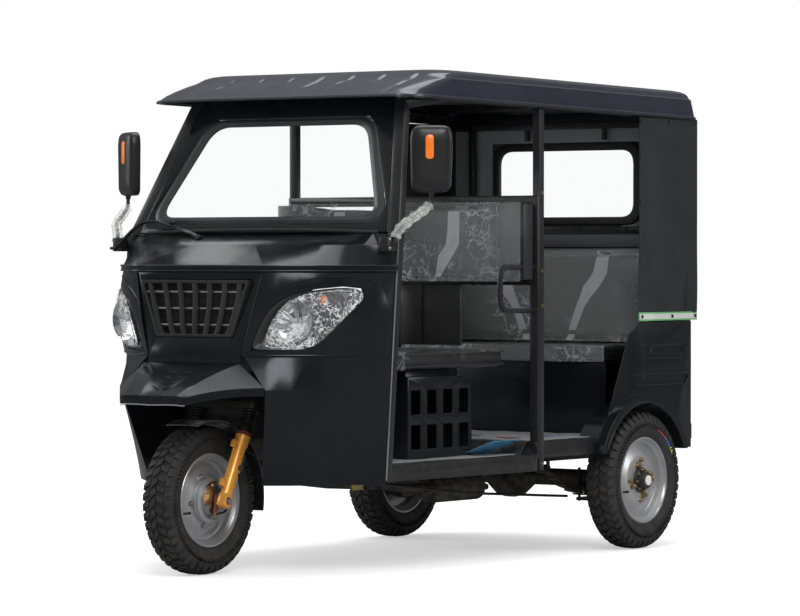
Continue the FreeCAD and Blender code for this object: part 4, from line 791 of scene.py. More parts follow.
class Shop:
    """Makes pieces, dresses them and says which body carries each.

    Attributes:
        MERGED_WITHIN: How close two points of a drawn shape are merged, in metres.
        NODE_MERGED_WITHIN: The same for a node's own shape.
        ROUNDED_OVER: The angle over which an edge is rounded.
        COPIES_SHARP_OVER: The angle in degrees over which the edges of repeated parts stay sharp.
    """

    MERGED_WITHIN = 1e-6
    NODE_MERGED_WITHIN = 2e-5
    ROUNDED_OVER = math.radians(28)
    COPIES_SHARP_OVER = 35.0

    def __init__(self, frame: dict) -> None:
        """Keeps the frame and gets the tools ready.
        """
        self.frame = frame
        self.effects = Effects()
        self.trees = GeometryTrees()
        self.materials: dict[str, bpy.types.Material] = {}
        self.surfaces: dict[str, BVHTree] = {}
        self.made = 0

    def finish(self, finish: Finish) -> bpy.types.Material:
        """Gives a finish's material and makes it the first time.

        Args:
            finish: The finish.

        Returns:
            Its material.
        """
        if finish.name not in self.materials:
            self.materials[finish.name] = finish.material(self.effects)
        return self.materials[finish.name]

    def object(self, name: str, mesh: bpy.types.Mesh) -> bpy.types.Object:
        """Puts a mesh in the scene at the origin.

        Args:
            name: The object's name.
            mesh: Its mesh.

        Returns:
            The object.
        """
        obj = bpy.data.objects.new(name, mesh)
        bpy.context.scene.collection.objects.link(obj)
        return obj

    def mesh(self, name: str, bm: bmesh.types.BMesh, weld: bool = True) -> bpy.types.Mesh:
        """Turns worked geometry into a mesh whose faces point outwards.

        Args:
            name: The mesh's name.
            bm: The geometry, which is freed.
            weld: Whether close points are merged and the faces turned outwards.

        Returns:
            The mesh.
        """
        if weld:
            bmesh.ops.remove_doubles(bm, verts=bm.verts, dist=self.MERGED_WITHIN)
            bmesh.ops.recalc_face_normals(bm, faces=bm.faces)
        mesh = bpy.data.meshes.new(name)
        bm.to_mesh(mesh)
        bm.free()
        return mesh

    @staticmethod
    def bake(obj: bpy.types.Object) -> bpy.types.Object:
        """Turns an object's modifiers into plain mesh.

        Args:
            obj: The object.

        Returns:
            The same object, with no modifiers left.
        """
        depsgraph = bpy.context.evaluated_depsgraph_get()
        worked = bpy.data.meshes.new_from_object(obj.evaluated_get(depsgraph), depsgraph=depsgraph)
        obj.modifiers.clear()
        obj.data = worked
        return obj

    def piece(self, name: str, shape: bmesh.types.BMesh | bpy.types.Mesh, finish: Finish,
              body: Body = Body.CAB, replaces: Sequence[str] = (), sharp: float = 35.0,
              bevel: float = 0.0, segments: int = 2, weld: bool = True,
              move: Matrix | None = None) -> bpy.types.Object:
        """Finishes a piece and hands it to its body.

        Args:
            name: The piece's name.
            shape: Its geometry.
            finish: Its finish.
            body: The body that carries it.
            replaces: The model's nodes that it stands for.
            sharp: The angle in degrees over which an edge stays sharp.
            bevel: The width of the rounding on its sharp edges, in metres.
            segments: How many steps the rounding has.
            weld: Whether close points are merged first.
            move: Where the shape goes, if it wasn't drawn in place.

        Returns:
            The piece.
        """
        mesh = self.mesh(name, shape, weld) if isinstance(shape, bmesh.types.BMesh) else shape
        if move:
            mesh.transform(move)
        obj = self.object(name, mesh)
        if bevel:
            edge = obj.modifiers.new("rounding", "BEVEL")
            edge.width, edge.segments, edge.limit_method = bevel, segments, "ANGLE"
            edge.angle_limit = self.ROUNDED_OVER
            edge.use_clamp_overlap = True
            edge.miter_outer = "MITER_ARC"
            self.bake(obj)
        return self.dress(obj, finish, body, replaces, sharp)

    def dress(self, obj: bpy.types.Object, finish: Finish, body: Body, replaces: Sequence[str],
              sharp: float) -> bpy.types.Object:
        """Shades a piece, gives it its material, hangs it on its body and hides the nodes that it stands
        for.

        Args:
            obj: The piece.
            finish: Its finish.
            body: The body that carries it.
            replaces: The model's nodes that it stands for.
            sharp: The angle in degrees over which an edge stays sharp.

        Returns:
            The piece.
        """
        obj.data.shade_smooth()
        obj.data.set_sharp_from_angle(angle=math.radians(sharp))
        obj.data.materials.clear()
        obj.data.materials.append(self.finish(finish))
        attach(obj, body.value)
        if replaces:
            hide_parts(*replaces)
        self.made += 1
        LOG.info("piece %s rides on %s, %d faces", obj.name, body.value, len(obj.data.polygons))
        return obj

    def recast(self, node: str, finish: Finish, bevel: float = 0.0015, body: Body = Body.CAB,
               sharp: float = 32.0, join: float = 0.5,
               change: Callable[[bmesh.types.BMesh], None] | None = None) -> bpy.types.Object:
        """Makes a node's own shape again with rounded edges and soft shading.

        Args:
            node: The model's node.
            finish: The finish.
            bevel: The rounding of its sharp edges, in metres.
            body: The body that carries it.
            sharp: The angle in degrees over which an edge stays sharp.
            join: The angle in degrees under which flat neighbours are joined.
            change: What else is done to the merged shape before it is rounded.

        Returns:
            The piece that stands for the node.
        """
        bm = bmesh.new()
        bm.from_mesh(self.frame["nodes"][node].data)
        bmesh.ops.remove_doubles(bm, verts=bm.verts, dist=self.NODE_MERGED_WITHIN)
        bmesh.ops.dissolve_degenerate(bm, dist=1e-5, edges=bm.edges)
        bmesh.ops.dissolve_limit(bm, angle_limit=math.radians(join), verts=bm.verts, edges=bm.edges)
        if change:
            change(bm)
        return self.piece(node + "_finished", bm, finish, body, (node,), sharp, bevel, weld=False)

    def repeated(self, name: str, tree: bpy.types.NodeTree, part: bmesh.types.BMesh | None,
                 finish: Finish, body: Body = Body.CAB, source: bpy.types.Mesh | None = None,
                 move: Matrix | None = None, **inputs: object) -> bpy.types.Object:
        """Makes a repeated piece with a geometry tree and bakes it to one mesh.

        Args:
            name: The piece's name.
            tree: The geometry tree.
            part: The part that repeats, or None where the tree needs none.
            finish: The finish.
            body: The body that carries it.
            source: The points or edges that the tree reads.
            move: Where the result goes.
            **inputs: The tree's inputs by name, with _ for a space.

        Returns:
            The piece.
        """
        obj = self.object(name, source or bpy.data.meshes.new(name))
        single = self.object(name + "_part", self.mesh(name + "_part", part)) if part else None
        values = {key.replace("_", " "): value for key, value in inputs.items()}
        values["Finish"] = self.finish(finish)
        if single:
            values["Part"] = single
        modifier = obj.modifiers.new("copies", "NODES")
        modifier.node_group = tree
        for item in tree.interface.items_tree:
            if item.in_out == "INPUT" and item.name in values:
                modifier[item.identifier] = values[item.name]
        self.bake(obj)
        if single:
            bpy.data.objects.remove(single)
        if move:
            obj.data.transform(move)
        return self.dress(obj, finish, body, (), self.COPIES_SHARP_OVER)

    def fixings(self, name: str, part: bmesh.types.BMesh, finish: Finish,
                places: Sequence[tuple[Point, float]], size: float = 1.0) -> bpy.types.Object:
        """Copies a bolt, nut or snap to each of its places on the cab.

        Args:
            name: The piece's name.
            part: One of them, with its head along X.
            finish: The finish.
            places: The place of each copy and its turn about Z.
            size: How large the copies are beside the part.

        Returns:
            The piece.
        """
        mesh = bpy.data.meshes.new(name + "_spots")
        mesh.from_pydata([tuple(spot) for spot, _ in places], [], [])
        for label, kind in (("turn", "FLOAT_VECTOR"), ("size", "FLOAT")):
            mesh.attributes.new(label, kind, "POINT")
        for index, (_, turn) in enumerate(places):
            mesh.attributes["turn"].data[index].vector = (0.0, 0.0, turn)
            mesh.attributes["size"].data[index].value = size
        return self.repeated(name, self.trees.spots, part, finish, source=mesh)

    def swept(self, name: str, lines: Iterable[Sequence[Vector]], finish: Finish, radius: float,
              sides: int = 8, closed: bool = False, body: Body = Body.CAB) -> bpy.types.Object:
        """Makes a round bead, rod or welt along each of some lines.

        Args:
            name: The piece's name.
            lines: The points of each line.
            finish: The finish.
            radius: The section's radius.
            sides: How many sides the section has.
            closed: Whether each line closes on itself.
            body: The body that carries it.

        Returns:
            The piece.
        """
        verts, edges = [], []
        for line in lines:
            first = len(verts)
            verts += [tuple(p) for p in line]
            edges += [(k, k + 1) for k in range(first, len(verts) - 1)]
            if closed:
                edges.append((len(verts) - 1, first))
        mesh = bpy.data.meshes.new(name + "_path")
        mesh.from_pydata(verts, edges, [])
        return self.repeated(name, self.trees.sweep, None, finish, body, mesh, Radius=radius,
                             Sides=sides)

    def surface(self, node: str) -> BVHTree:
        """Gives a node's surface to aim at.

        Args:
            node: The model's node.

        Returns:
            Its search tree.
        """
        if node not in self.surfaces:
            bm = bmesh.new()
            bm.from_mesh(self.frame["nodes"][node].data)
            self.surfaces[node] = BVHTree.FromBMesh(bm)
            bm.free()
        return self.surfaces[node]

    def onto(self, node: str, start: Point, aim: Point, lift: float = 0.0) -> tuple[Vector, Vector]:
        """Finds where a straight line meets a node.

        Args:
            node: The model's node.
            start: Where the line starts.
            aim: Its direction.
            lift: How far the result stands off the surface.

        Returns:
            The point and the surface's outward direction there.

        Raises:
            ValueError: If the line misses the node.
        """
        spot, normal, _, _ = self.surface(node).ray_cast(Vector(start), Vector(aim).normalized())
        if spot is None:
            raise ValueError("nothing of %s lies that way from %s" % (node, start))
        if normal.dot(Vector(aim)) > 0:
            normal = -normal
        return spot + normal * lift, normal


# The blue tint in the black base colours of the body paint and the roof is a painted reflection of the sky.
BODY_PAINT = Finish("black_body_paint", "body_paint", (0.006, 0.0065, 0.0085), (0.008, 0.0085, 0.011),
                    rough=(0.15, 0.23), specular=0.42, coat=0.03, scale=140.0,
                    depth=0.00004, dust=0.03, shine=(0.89, 0.94, 1.0))
ROOF_PLASTIC = Finish("moulded_roof_plastic", "roof_plastic", (0.014, 0.017, 0.026),
                      (0.018, 0.022, 0.033), rough=(0.14, 0.24), specular=0.6, coat=0.15,
                      depth=0.00003, dust=0.03, shine=(0.78, 0.86, 1.0))
CHASSIS_PAINT = Finish("chassis_black", "chassis_paint", (0.014, 0.014, 0.014), (0.02, 0.019, 0.018),
                       rough=(0.35, 0.6), grain=Grain.CAST, scale=120.0, depth=0.0002, dust=0.45)
BLACK_METAL = Finish("black_metal_tube", "body_paint", (0.012, 0.012, 0.013), (0.016, 0.016, 0.018),
                     rough=(0.22, 0.36), specular=0.45, coat=0.2, scale=200.0,
                     depth=0.00005, dust=0.08)
BLACK_PLASTIC = Finish("grained_black_plastic", "black_plastic", (0.013, 0.013, 0.014),
                       (0.018, 0.018, 0.019), rough=(0.38, 0.52), grain=Grain.MOULD, scale=900.0,
                       depth=0.0001, dust=0.10)
SATIN_PLASTIC = Finish("satin_black_plastic", "black_plastic", (0.012, 0.012, 0.013),
                       (0.015, 0.015, 0.016), rough=(0.28, 0.36), grain=Grain.MOULD, scale=1400.0,
                       depth=0.00004)
SOFT_RUBBER = Finish("soft_black_rubber", "black_plastic", (0.011, 0.011, 0.011),
                     (0.015, 0.015, 0.015), rough=(0.45, 0.62), grain=Grain.MOULD, scale=500.0,
                     depth=0.0001, dust=0.1)
TREAD_RUBBER = Finish("tyre_rubber", "tyre", (0.016, 0.016, 0.017), (0.028, 0.027, 0.027),
                      rough=(0.55, 0.78), specular=0.4, grain=Grain.CAST, scale=260.0,
                      depth=0.0004, dust=0.12)
RIM_STEEL = Finish("silver_rim_paint", "rim", (0.50, 0.505, 0.515), (0.60, 0.60, 0.61),
                   rough=(0.28, 0.42), metallic=0.75, scale=90.0, depth=0.0002,
                   dust=0.12)
BRIGHT_METAL = Finish("polished_alloy", "rim", (0.62, 0.62, 0.63), (0.5, 0.5, 0.51),
                      rough=(0.12, 0.3), metallic=1.0, grain=Grain.BRUSH, scale=240.0, depth=0.0001,
                      dust=0.06)
YELLOW_ZINC = Finish("yellow_zinc", "gold_leg", (0.62, 0.46, 0.20), (0.50, 0.40, 0.26),
                     rough=(0.2, 0.38), metallic=1.0, grain=Grain.CAST, scale=300.0, depth=0.0001,
                     dust=0.1)
GOLD_PAINT = Finish("orange_gold_leg", "gold_leg", (0.90, 0.42, 0.075), (0.78, 0.34, 0.055),
                    rough=(0.24, 0.36), metallic=0.35, coat=0.4, grain=Grain.CAST, scale=160.0,
                    depth=0.00025, dust=0.06)
DULL_CAST = Finish("raw_engine_alloy", "engine", (0.23, 0.23, 0.235), (0.16, 0.155, 0.15),
                   rough=(0.42, 0.62), metallic=0.85, grain=Grain.CAST, scale=220.0, depth=0.0006,
                   dust=0.5)
HIDE = Finish("black_leatherette", "seat", (0.014, 0.014, 0.015), (0.02, 0.02, 0.022),
              rough=(0.26, 0.42), coat=0.15, grain=Grain.HIDE, scale=420.0,
              depth=0.0004)
STRIPE_HIDE = Finish("grey_leatherette_stripe", "seat", (0.30, 0.30, 0.31), (0.36, 0.36, 0.37),
                     rough=(0.3, 0.45), grain=Grain.HIDE, scale=420.0, depth=0.0004)
# Grey that paints the highlight along the black fender's rolled edge.
GREY_EDGE_HIGHLIGHT = Finish("grey_painted_edge_highlight", "body_paint", (0.20, 0.20, 0.20), (0.14, 0.14, 0.14),
                   rough=(0.3, 0.45), metallic=0.5, grain=Grain.BRUSH, scale=300.0, depth=0.0001)
SCREEN_RUBBER = Finish("grey_screen_rubber", "black_plastic", (0.030, 0.031, 0.033), (0.04, 0.041, 0.043),
                       rough=(0.25, 0.36), grain=Grain.MOULD, scale=500.0, depth=0.0001)
# Pale grey that paints the highlights which the black paint catches on the door edges and along the beak's
# lip.
PALE_HIGHLIGHT = Finish("pale_painted_highlight", "body_paint", (0.42, 0.43, 0.44), (0.30, 0.31, 0.32),
                   rough=(0.2, 0.35), metallic=0.7, grain=Grain.BRUSH, scale=240.0, depth=0.0001)
GREY_PANEL = Finish("grey_panel_paint", "body_paint", (0.075, 0.077, 0.082), (0.09, 0.092, 0.097),
                    rough=(0.3, 0.42), scale=160.0, depth=0.0001)
TARPAULIN = Finish("black_tarpaulin", "curtain", (0.009, 0.010, 0.012), (0.014, 0.015, 0.018),
                   rough=(0.40, 0.54), specular=0.4, grain=Grain.CLOTH, scale=1800.0,
                   depth=0.00008, sheen=0.05, dust=0.06)
GREY_CLOTH = Finish("grey_lining_cloth", "curtain", (0.16, 0.165, 0.17), (0.20, 0.205, 0.21),
                    rough=(0.7, 0.85), grain=Grain.CLOTH, scale=2200.0, depth=0.0001, sheen=0.3)
GREEN_EDGE = Finish("green_hem_tape", "curtain", (0.10, 0.36, 0.12), (0.14, 0.44, 0.16),
                    rough=(0.4, 0.5), grain=Grain.CLOTH, scale=1500.0, depth=0.0001)
PALE_TAPE = Finish("pale_reflective_tape", "curtain", (0.62, 0.66, 0.60), (0.74, 0.78, 0.74),
                   rough=(0.2, 0.32), metallic=0.25, grain=Grain.MOULD, scale=1200.0, depth=0.0001)
ORANGE_LENS = Finish("orange_reflector", "red_lens", (0.85, 0.17, 0.015), (0.95, 0.25, 0.02),
                     rough=(0.12, 0.2), coat=0.6, grain=Grain.MOULD, scale=700.0, depth=0.0003)
RED_LENS = Finish("red_lens", "red_lens", (0.42, 0.012, 0.012), (0.55, 0.02, 0.02),
                  rough=(0.1, 0.18), coat=0.6, grain=Grain.MOULD, scale=600.0, depth=0.0003)
LAMP_CHROME = Finish("lamp_reflector", "lamp", (0.80, 0.81, 0.83), (0.70, 0.71, 0.74),
                     rough=(0.05, 0.14), metallic=1.0, grain=Grain.CRINKLE, scale=30.0, depth=0.003)
SEALED_BLACK = Finish("lamp_housing_black", "lamp", (0.02, 0.02, 0.02), (0.03, 0.03, 0.03),
                      rough=(0.3, 0.45), grain=Grain.MOULD, scale=900.0, depth=0.0001)
MIRROR_GLASS = Finish("mirror_glass", "glass", (0.86, 0.87, 0.88), (0.84, 0.85, 0.86),
                      rough=(0.02, 0.04), metallic=1.0, scale=4.0, depth=0.0)
CLEAR_GLASS = Glazing("screen_glass", "glass", (0.95, 0.97, 0.965), (0.96, 0.98, 0.975),
                      rough=(0.0, 0.01), scale=3.0, depth=0.000004, ior=1.12)
LAMP_LENS = Glazing("lamp_lens", "lamp", (0.97, 0.98, 0.98), (0.98, 0.99, 0.99),
                    rough=(0.02, 0.05), scale=30.0, depth=0.0001, ior=1.3)
# The films' whitish opaque creases are partly the creased film's own whitening and partly painted glints of
# light.
CLEAR_FILM = Film("clear_wrapping_film", "glass", (0.86, 0.88, 0.90), (0.95, 0.96, 0.97),
                  rough=(0.08, 0.2), grain=Grain.CRINKLE, scale=22.0, depth=0.004, faint=0.06,
                  strong=0.85)
MIRROR_FILM = Film("crumpled_arm_film", "glass", (0.80, 0.83, 0.80), (0.92, 0.94, 0.92),
                   rough=(0.1, 0.25), grain=Grain.CRINKLE, scale=60.0, depth=0.004, faint=0.25,
                   strong=0.85)
SEAT_FILM = Film("clear_seat_film", "glass", (0.80, 0.82, 0.84), (0.92, 0.93, 0.94),
                 rough=(0.06, 0.18), grain=Grain.CRINKLE, scale=9.0, depth=0.004, faint=0.13,
                 strong=0.44)
FLOOR_SHEET = Finish("pale_floor_mat", "floor", (0.42, 0.43, 0.44), (0.30, 0.31, 0.33),
                     rough=(0.4, 0.6), grain=Grain.CLOTH, scale=900.0, depth=0.0003, dust=0.2)
BLUE_PATCH = Finish("blue_mat_print", "floor", (0.05, 0.23, 0.42), (0.09, 0.32, 0.50),
                    rough=(0.35, 0.5), grain=Grain.CLOTH, scale=900.0, depth=0.0003)
RED_PATCH = Finish("red_mat_print", "floor", (0.42, 0.05, 0.05), (0.50, 0.10, 0.09),
                   rough=(0.35, 0.5), grain=Grain.CLOTH, scale=900.0, depth=0.0003)
MARK_RED = Finish("tyre_mark_red", "tyre", (0.62, 0.06, 0.07), (0.70, 0.10, 0.10),
                  rough=(0.4, 0.55), grain=Grain.CAST, scale=260.0, depth=0.0003)
MARK_BLUE = Finish("tyre_mark_blue", "tyre", (0.06, 0.22, 0.62), (0.10, 0.30, 0.72),
                   rough=(0.4, 0.55), grain=Grain.CAST, scale=260.0, depth=0.0003)
MARK_YELLOW = Finish("tyre_mark_yellow", "tyre", (0.70, 0.55, 0.08), (0.78, 0.62, 0.12),
                     rough=(0.4, 0.55), grain=Grain.CAST, scale=260.0, depth=0.0003)
RUST_PAINT = Finish("brake_lever_rust", "gold_leg", (0.34, 0.10, 0.05), (0.26, 0.08, 0.04),
                    rough=(0.45, 0.65), metallic=0.4, grain=Grain.CAST, scale=300.0, depth=0.0002)
PALE_CAP = Finish("pale_hub_cap", "rim", (0.72, 0.66, 0.64), (0.78, 0.72, 0.70),
                  rough=(0.3, 0.45), grain=Grain.MOULD, scale=600.0, depth=0.0001)
PLATE_WHITE = Finish("blank_plate", "body_paint", (0.60, 0.60, 0.58), (0.66, 0.66, 0.64),
                     rough=(0.35, 0.45), grain=Grain.MOULD, scale=700.0, depth=0.0001)


@dataclass
class Wheels:
    """The three block-treaded tyres with their steel rims, hubs and nuts.

    Attributes:
        shop: Where the pieces are made.
        radius: The tyre's outer radius.
        half: Half the tyre's width; not used.
        seat: The radius at which the tyre meets the rim.
        blocks: How many blocks stand in each row of the tread.
        block_height: How far the blocks stand out of the carcass.
        block_root: How far they reach into it.
        block_taper: The length of a block's top beside its foot.
    """

    shop: Shop
    radius: float = AXLE_Z
    half: float = 0.064
    seat: float = 0.1713
    blocks: int = 44
    block_height: float = 0.0085
    block_root: float = 0.003
    block_taper: float = 0.86

    def build(self) -> None:
        """Makes the three wheels."""
        for name, body, x, y, nodes in (
                ("front", Body.FRONT_WHEEL, 0.0, FRONT_AXLE_Y, ("front_tyre", "front_rim")),
                ("rear_left", Body.REAR_LEFT, REAR_WHEEL_X, REAR_AXLE_Y,
                 ("rear_tyre_left", "rear_rim_left")),
                ("rear_right", Body.REAR_RIGHT, -REAR_WHEEL_X, REAR_AXLE_Y,
                 ("rear_tyre_right", "rear_rim_right"))):
            self.centre = Vector((x, y, AXLE_Z))
            self.outward = -1.0 if x < 0 else 1.0
            self.tyre(name, body, nodes[0])
            self.rim(name, body, nodes[1], name == "front")
            if name != "front":
                self.mark(name, body)

    def mark(self, name: str, body: Body) -> None:
        """Makes the small three-coloured mark, with no text, on a rear tyre's wall.

        Args:
            name: The wheel's name.
            body: The body that carries it.
        """
        section = ((0.0615, 0.2130), (0.0648, 0.2130), (0.0645, 0.2270), (0.0610, 0.2270))
        for label, finish, start, end in (("red", MARK_RED, 67, 50), ("blue", MARK_BLUE, 50, 35),
                                          ("yellow", MARK_YELLOW, 35, 27)):
            rings = []
            for k in range(7):
                angle = math.radians(start + (end - start) * k / 6)
                way = Vector((0, math.cos(angle), math.sin(angle)))
                rings.append([self.centre + way * radius + Vector((self.outward * across, 0, 0))
                              for across, radius in section])
            self.shop.piece("%s_mark_%s" % (name, label), fresh(skin_rings, rings), finish, body, sharp=50)

    def crown(self, share: float, sink: float = 0.0) -> tuple[float, float]:
        """Gives a point of the tyre's rounded section.

        Args:
            share: The place across, from -1 at one bead to 1 at the other.
            sink: How far under the outer surface the point lies.

        Returns:
            The point as (across, radius).
        """
        seat, rim = self.seat, self.radius
        line = [(0.049, seat), (0.0585, seat + 0.016), (0.0635, seat + 0.041), (0.0625, rim - 0.032),
                (0.0565, rim - 0.0165), (0.047, rim - 0.0065), (0.030, rim - 0.0015), (0.0, rim)]
        place = (1 - abs(share)) * (len(line) - 1)
        low = min(int(place), len(line) - 2)
        part = place - low
        points = [line[max(low - 1, 0)], line[low], line[low + 1], line[min(low + 2, len(line) - 1)]]
        if low + 2 > len(line) - 1:
            points[3] = (-line[low][0], line[low][1])
        a, b, c, d = (Vector(p) for p in points)
        spot = 0.5 * (2 * b + (c - a) * part + (2 * a - 5 * b + 4 * c - d) * part ** 2
                      + (3 * b - a - 3 * c + d) * part ** 3)
        ahead = (c - a) + (d - b) * part
        inward = Vector((-ahead.y, ahead.x)).normalized()
        if inward.y > 0:
            inward = -inward
        if low == 0 and part < 0.5:
            inward = Vector((-1.0, 0.0))
        spot += inward * sink
        return math.copysign(spot.x, share if share else 1.0), spot.y

    def block(self, low: float, high: float, width: float, skew: float, bite: float = 0.0
              ) -> bmesh.types.BMesh:
        """Makes one tread block that follows the tyre's section.

        Args:
            low: Where the block starts across the tyre, as a share.
            high: Where it ends.
            width: Its length round the tyre.
            skew: How far its far end runs ahead round the tyre.
            bite: How much narrower its far end is.

        Returns:
            The block at the top of the wheel.
        """
        rings = []
        for t in (0, 1 / 3, 2 / 3, 1):
            share = low + (high - low) * t
            half = width / 2 * (1 - bite * t)
            top = self.crown(share)
            foot = self.crown(share, self.block_height + self.block_root)
            rings.append([Vector((x, skew * t + half * reach, radius))
                          for (x, radius), reach in ((foot, -1), (top, -self.block_taper),
                                                     (top, self.block_taper), (foot, 1))])
        return fresh(skin_rings, rings)

    def tyre(self, name: str, body: Body, node: str) -> None:
        """Makes a tyre with its carcass, its rows of blocks and its bead rings.

        Args:
            name: Which wheel it is.
            body: The wheel's body.
            node: The node that the tyre stands for.
        """
        shop = self.shop
        bm = bmesh.new()
        profile = []
        for index in range(41):
            share = -1 + index / 20
            sink = self.block_height if abs(share) < 0.56 else 0.0
            if 0.46 < abs(share) < 0.60:
                sink = self.block_height * (0.60 - abs(share)) / 0.14
            profile.append(self.crown(share, sink))
        profile += [(-0.047, self.seat), (0.047, self.seat)]
        add_turned(bm, profile, segments=WHEEL_STEPS)
        for side in (1.0, -1.0):
            for radius, stand in ((self.seat + 0.012, 0.0016), (self.seat + 0.021, 0.0011)):
                x = side * (0.0555 + (radius - self.seat - 0.012) * 0.35)
                add_turned(bm, [(x - side * 0.003, radius - 0.002), (x + side * stand, radius - 0.001),
                                (x + side * stand, radius + 0.001), (x - side * 0.003, radius + 0.002)],
                           segments=WHEEL_STEPS)
        shop.piece(name + "_tyre_carcass", bm, TREAD_RUBBER, body, (node,), sharp=40,
                   move=Matrix.Translation(self.centre))
        pitch = FULL_TURN / self.blocks
        arc = pitch * self.radius
        rows = [("tread_outer_0", (0.30, 0.60, arc * 0.62, arc * 0.10, -0.12), 0.0),
                ("tread_outer_1", (0.075, 0.275, arc * 0.60, -arc * 0.30, 0.1), 0.5),
                ("tread_inner_0", (-0.30, -0.60, arc * 0.62, arc * 0.10, -0.12), 0.5),
                ("tread_inner_1", (-0.075, -0.275, arc * 0.60, -arc * 0.30, 0.1), 1.0),
                ("tread_middle", (-0.055, 0.055, arc * 0.72, arc * 0.5), 0.25),
                ("shoulder_fins_outer", (0.585, 0.70, arc * 0.13, 0.0), 0.0),
                ("shoulder_fins_inner", (-0.585, -0.70, arc * 0.13, 0.0), 0.0)]
        for label, shape, phase in rows:
            count = self.blocks * (2 if "fins" in label else 1)
            shop.repeated("%s_%s" % (name, label), shop.trees.ring, self.block(*shape), TREAD_RUBBER,
                          body, move=Matrix.Translation(self.centre), Count=count,
                          Start=pitch * phase)

    def rim(self, name: str, body: Body, node: str, front: bool) -> None:
        """Makes a rim with its well, disc, hub and fixings.

        Args:
            name: Which wheel it is.
            body: The wheel's body.
            node: The node that the rim stands for.
            front: Whether it is the front wheel, which has a brake drum.
        """
        shop, out = self.shop, self.outward
        bm = bmesh.new()
        outline = [(0.051, 0.1722), (0.0535, 0.170), (0.053, 0.1655), (0.047, 0.1635), (0.0405, 0.158),
                   (0.034, 0.1505), (0.028, 0.1495), (0.020, 0.148), (0.0155, 0.146), (0.0135, 0.141),
                   (0.015, 0.132), (0.020, 0.121), (0.029, 0.108), (0.034, 0.098), (0.0345, 0.085),
                   (0.0335, 0.060), (0.0335, 0.040), (0.025, 0.040), (0.025, 0.086), (0.022, 0.099),
                   (0.012, 0.118), (0.006, 0.132), (0.003, 0.146), (-0.004, 0.1495), (-0.026, 0.1495),
                   (-0.036, 0.158), (-0.044, 0.1635), (-0.050, 0.1655), (-0.051, 0.1722),
                   (-0.040, 0.1705), (-0.028, 0.1555), (0.028, 0.1555), (0.040, 0.1705)]
        add_turned(bm, [(a * out, r) for a, r in outline], segments=WHEEL_STEPS)
        shop.piece(name + "_rim_pressing", bm, RIM_STEEL, body, (node,), sharp=38,
                   move=Matrix.Translation(self.centre))
        (self.front_hub if front else self.rear_hub)(name, body)
        self.valve(name, body)

    def valve(self, name: str, body: Body) -> None:
        """Makes the tyre's valve stem in the rim's outer slope.

        Args:
            name: Which wheel it is.
            body: The wheel's body.
        """
        bm = bmesh.new()
        out = self.outward
        add_tube(bm, [(0.020 * out, 0, -0.1465), (0.030 * out, 0, -0.142),
                      (0.048 * out, 0, -0.133)], [0.0055, 0.0042, 0.0042], 14)
        add_tube(bm, [(0.046 * out, 0, -0.134), (0.058 * out, 0, -0.128)], 0.0052, 10)
        self.shop.piece(name + "_valve_stem", bm, SOFT_RUBBER, body,
                        move=Matrix.Translation(self.centre) @ Matrix.Rotation(math.radians(-72), 4, "X"))

    def nuts(self, name: str, body: Body, count: int, circle: float, out_at: float, size: float,
             finish: Finish, start: float = 0.0, stud: float = 0.008) -> None:
        """Makes a ring of hexagon nuts on studs with washers.

        Args:
            name: The ring's name.
            body: The wheel's body.
            count: How many nuts.
            circle: The radius of their circle.
            out_at: How far out the nuts' seat lies.
            size: The nut's radius over its corners.
            finish: Their finish.
            start: The first nut's angle.
            stud: How far each stud stands out of its nut.
        """
        bm = bmesh.new()
        out = self.outward
        spot = Vector((0, 0, circle))

        def ring(radius: float, at: float, sides: int) -> list[Vector]:
            """Gives a ring of corners round the stud."""
            return [spot + Vector((at * out, math.cos(a) * radius, math.sin(a) * radius))
                    for a in round_steps(sides)]

        seat, high = out_at, out_at + size * 1.15
        skin_rings(bm, [ring(size * 1.25, seat, 12), ring(size * 1.25, seat + 0.0015, 12)])
        skin_rings(bm, [ring(size, seat + 0.0015, 6), ring(size, high - 0.001, 6),
                        ring(size * 0.88, high, 6)])
        skin_rings(bm, [ring(size * 0.5, high - 0.002, 10), ring(size * 0.5, high + stud, 10),
                        ring(size * 0.38, high + stud + 0.0015, 10)])
        self.shop.repeated(name, self.shop.trees.ring, bm, finish, body,
                           move=Matrix.Translation(self.centre), Count=count, Start=start)

    def turned_piece(self, name: str, body: Body, profile: Sequence[tuple[float, float]],
                     finish: Finish, segments: int = 64) -> None:
        """Makes a turned piece on the wheel's axle.

        Args:
            name: The piece's name.
            body: The wheel's body.
            profile: Its closed outline as (outward, radius).
            finish: Its finish.
            segments: How many steps round.
        """
        bm = fresh(add_turned, [(a * self.outward, r) for a, r in profile], segments=segments)
        self.shop.piece(name, bm, finish, body, sharp=32, move=Matrix.Translation(self.centre))

    def front_hub(self, name: str, body: Body) -> None:
        """Makes the front hub with its finned brake drum and bolts.

        Args:
            name: Which wheel it is.
            body: The wheel's body.
        """
        self.turned_piece(name + "_brake_drum", body, (
            (0.030, 0.010), (0.030, 0.078), (0.038, 0.083), (0.044, 0.083), (0.046, 0.080),
            (0.050, 0.080), (0.052, 0.083), (0.058, 0.083), (0.060, 0.078), (0.064, 0.070),
            (0.064, 0.010)), RIM_STEEL)
        self.turned_piece(name + "_brake_cover", body, (
            (0.064, 0.009), (0.064, 0.068), (0.068, 0.070), (0.071, 0.066), (0.072, 0.040),
            (0.075, 0.028), (0.075, 0.009)), BRIGHT_METAL)
        self.turned_piece(name + "_hub_barrel", body, (
            (-0.076, 0.009), (-0.076, 0.024), (-0.070, 0.030), (-0.030, 0.034), (-0.020, 0.046),
            (0.024, 0.050), (0.024, 0.009)), DULL_CAST)
        self.nuts(name + "_drum_bolts", body, 5, 0.094, 0.0335, 0.0085, BRIGHT_METAL, 0.4, 0.003)
        self.nuts(name + "_cover_bolts", body, 8, 0.056, 0.0705, 0.0045, BRIGHT_METAL, 0.2, 0.001)

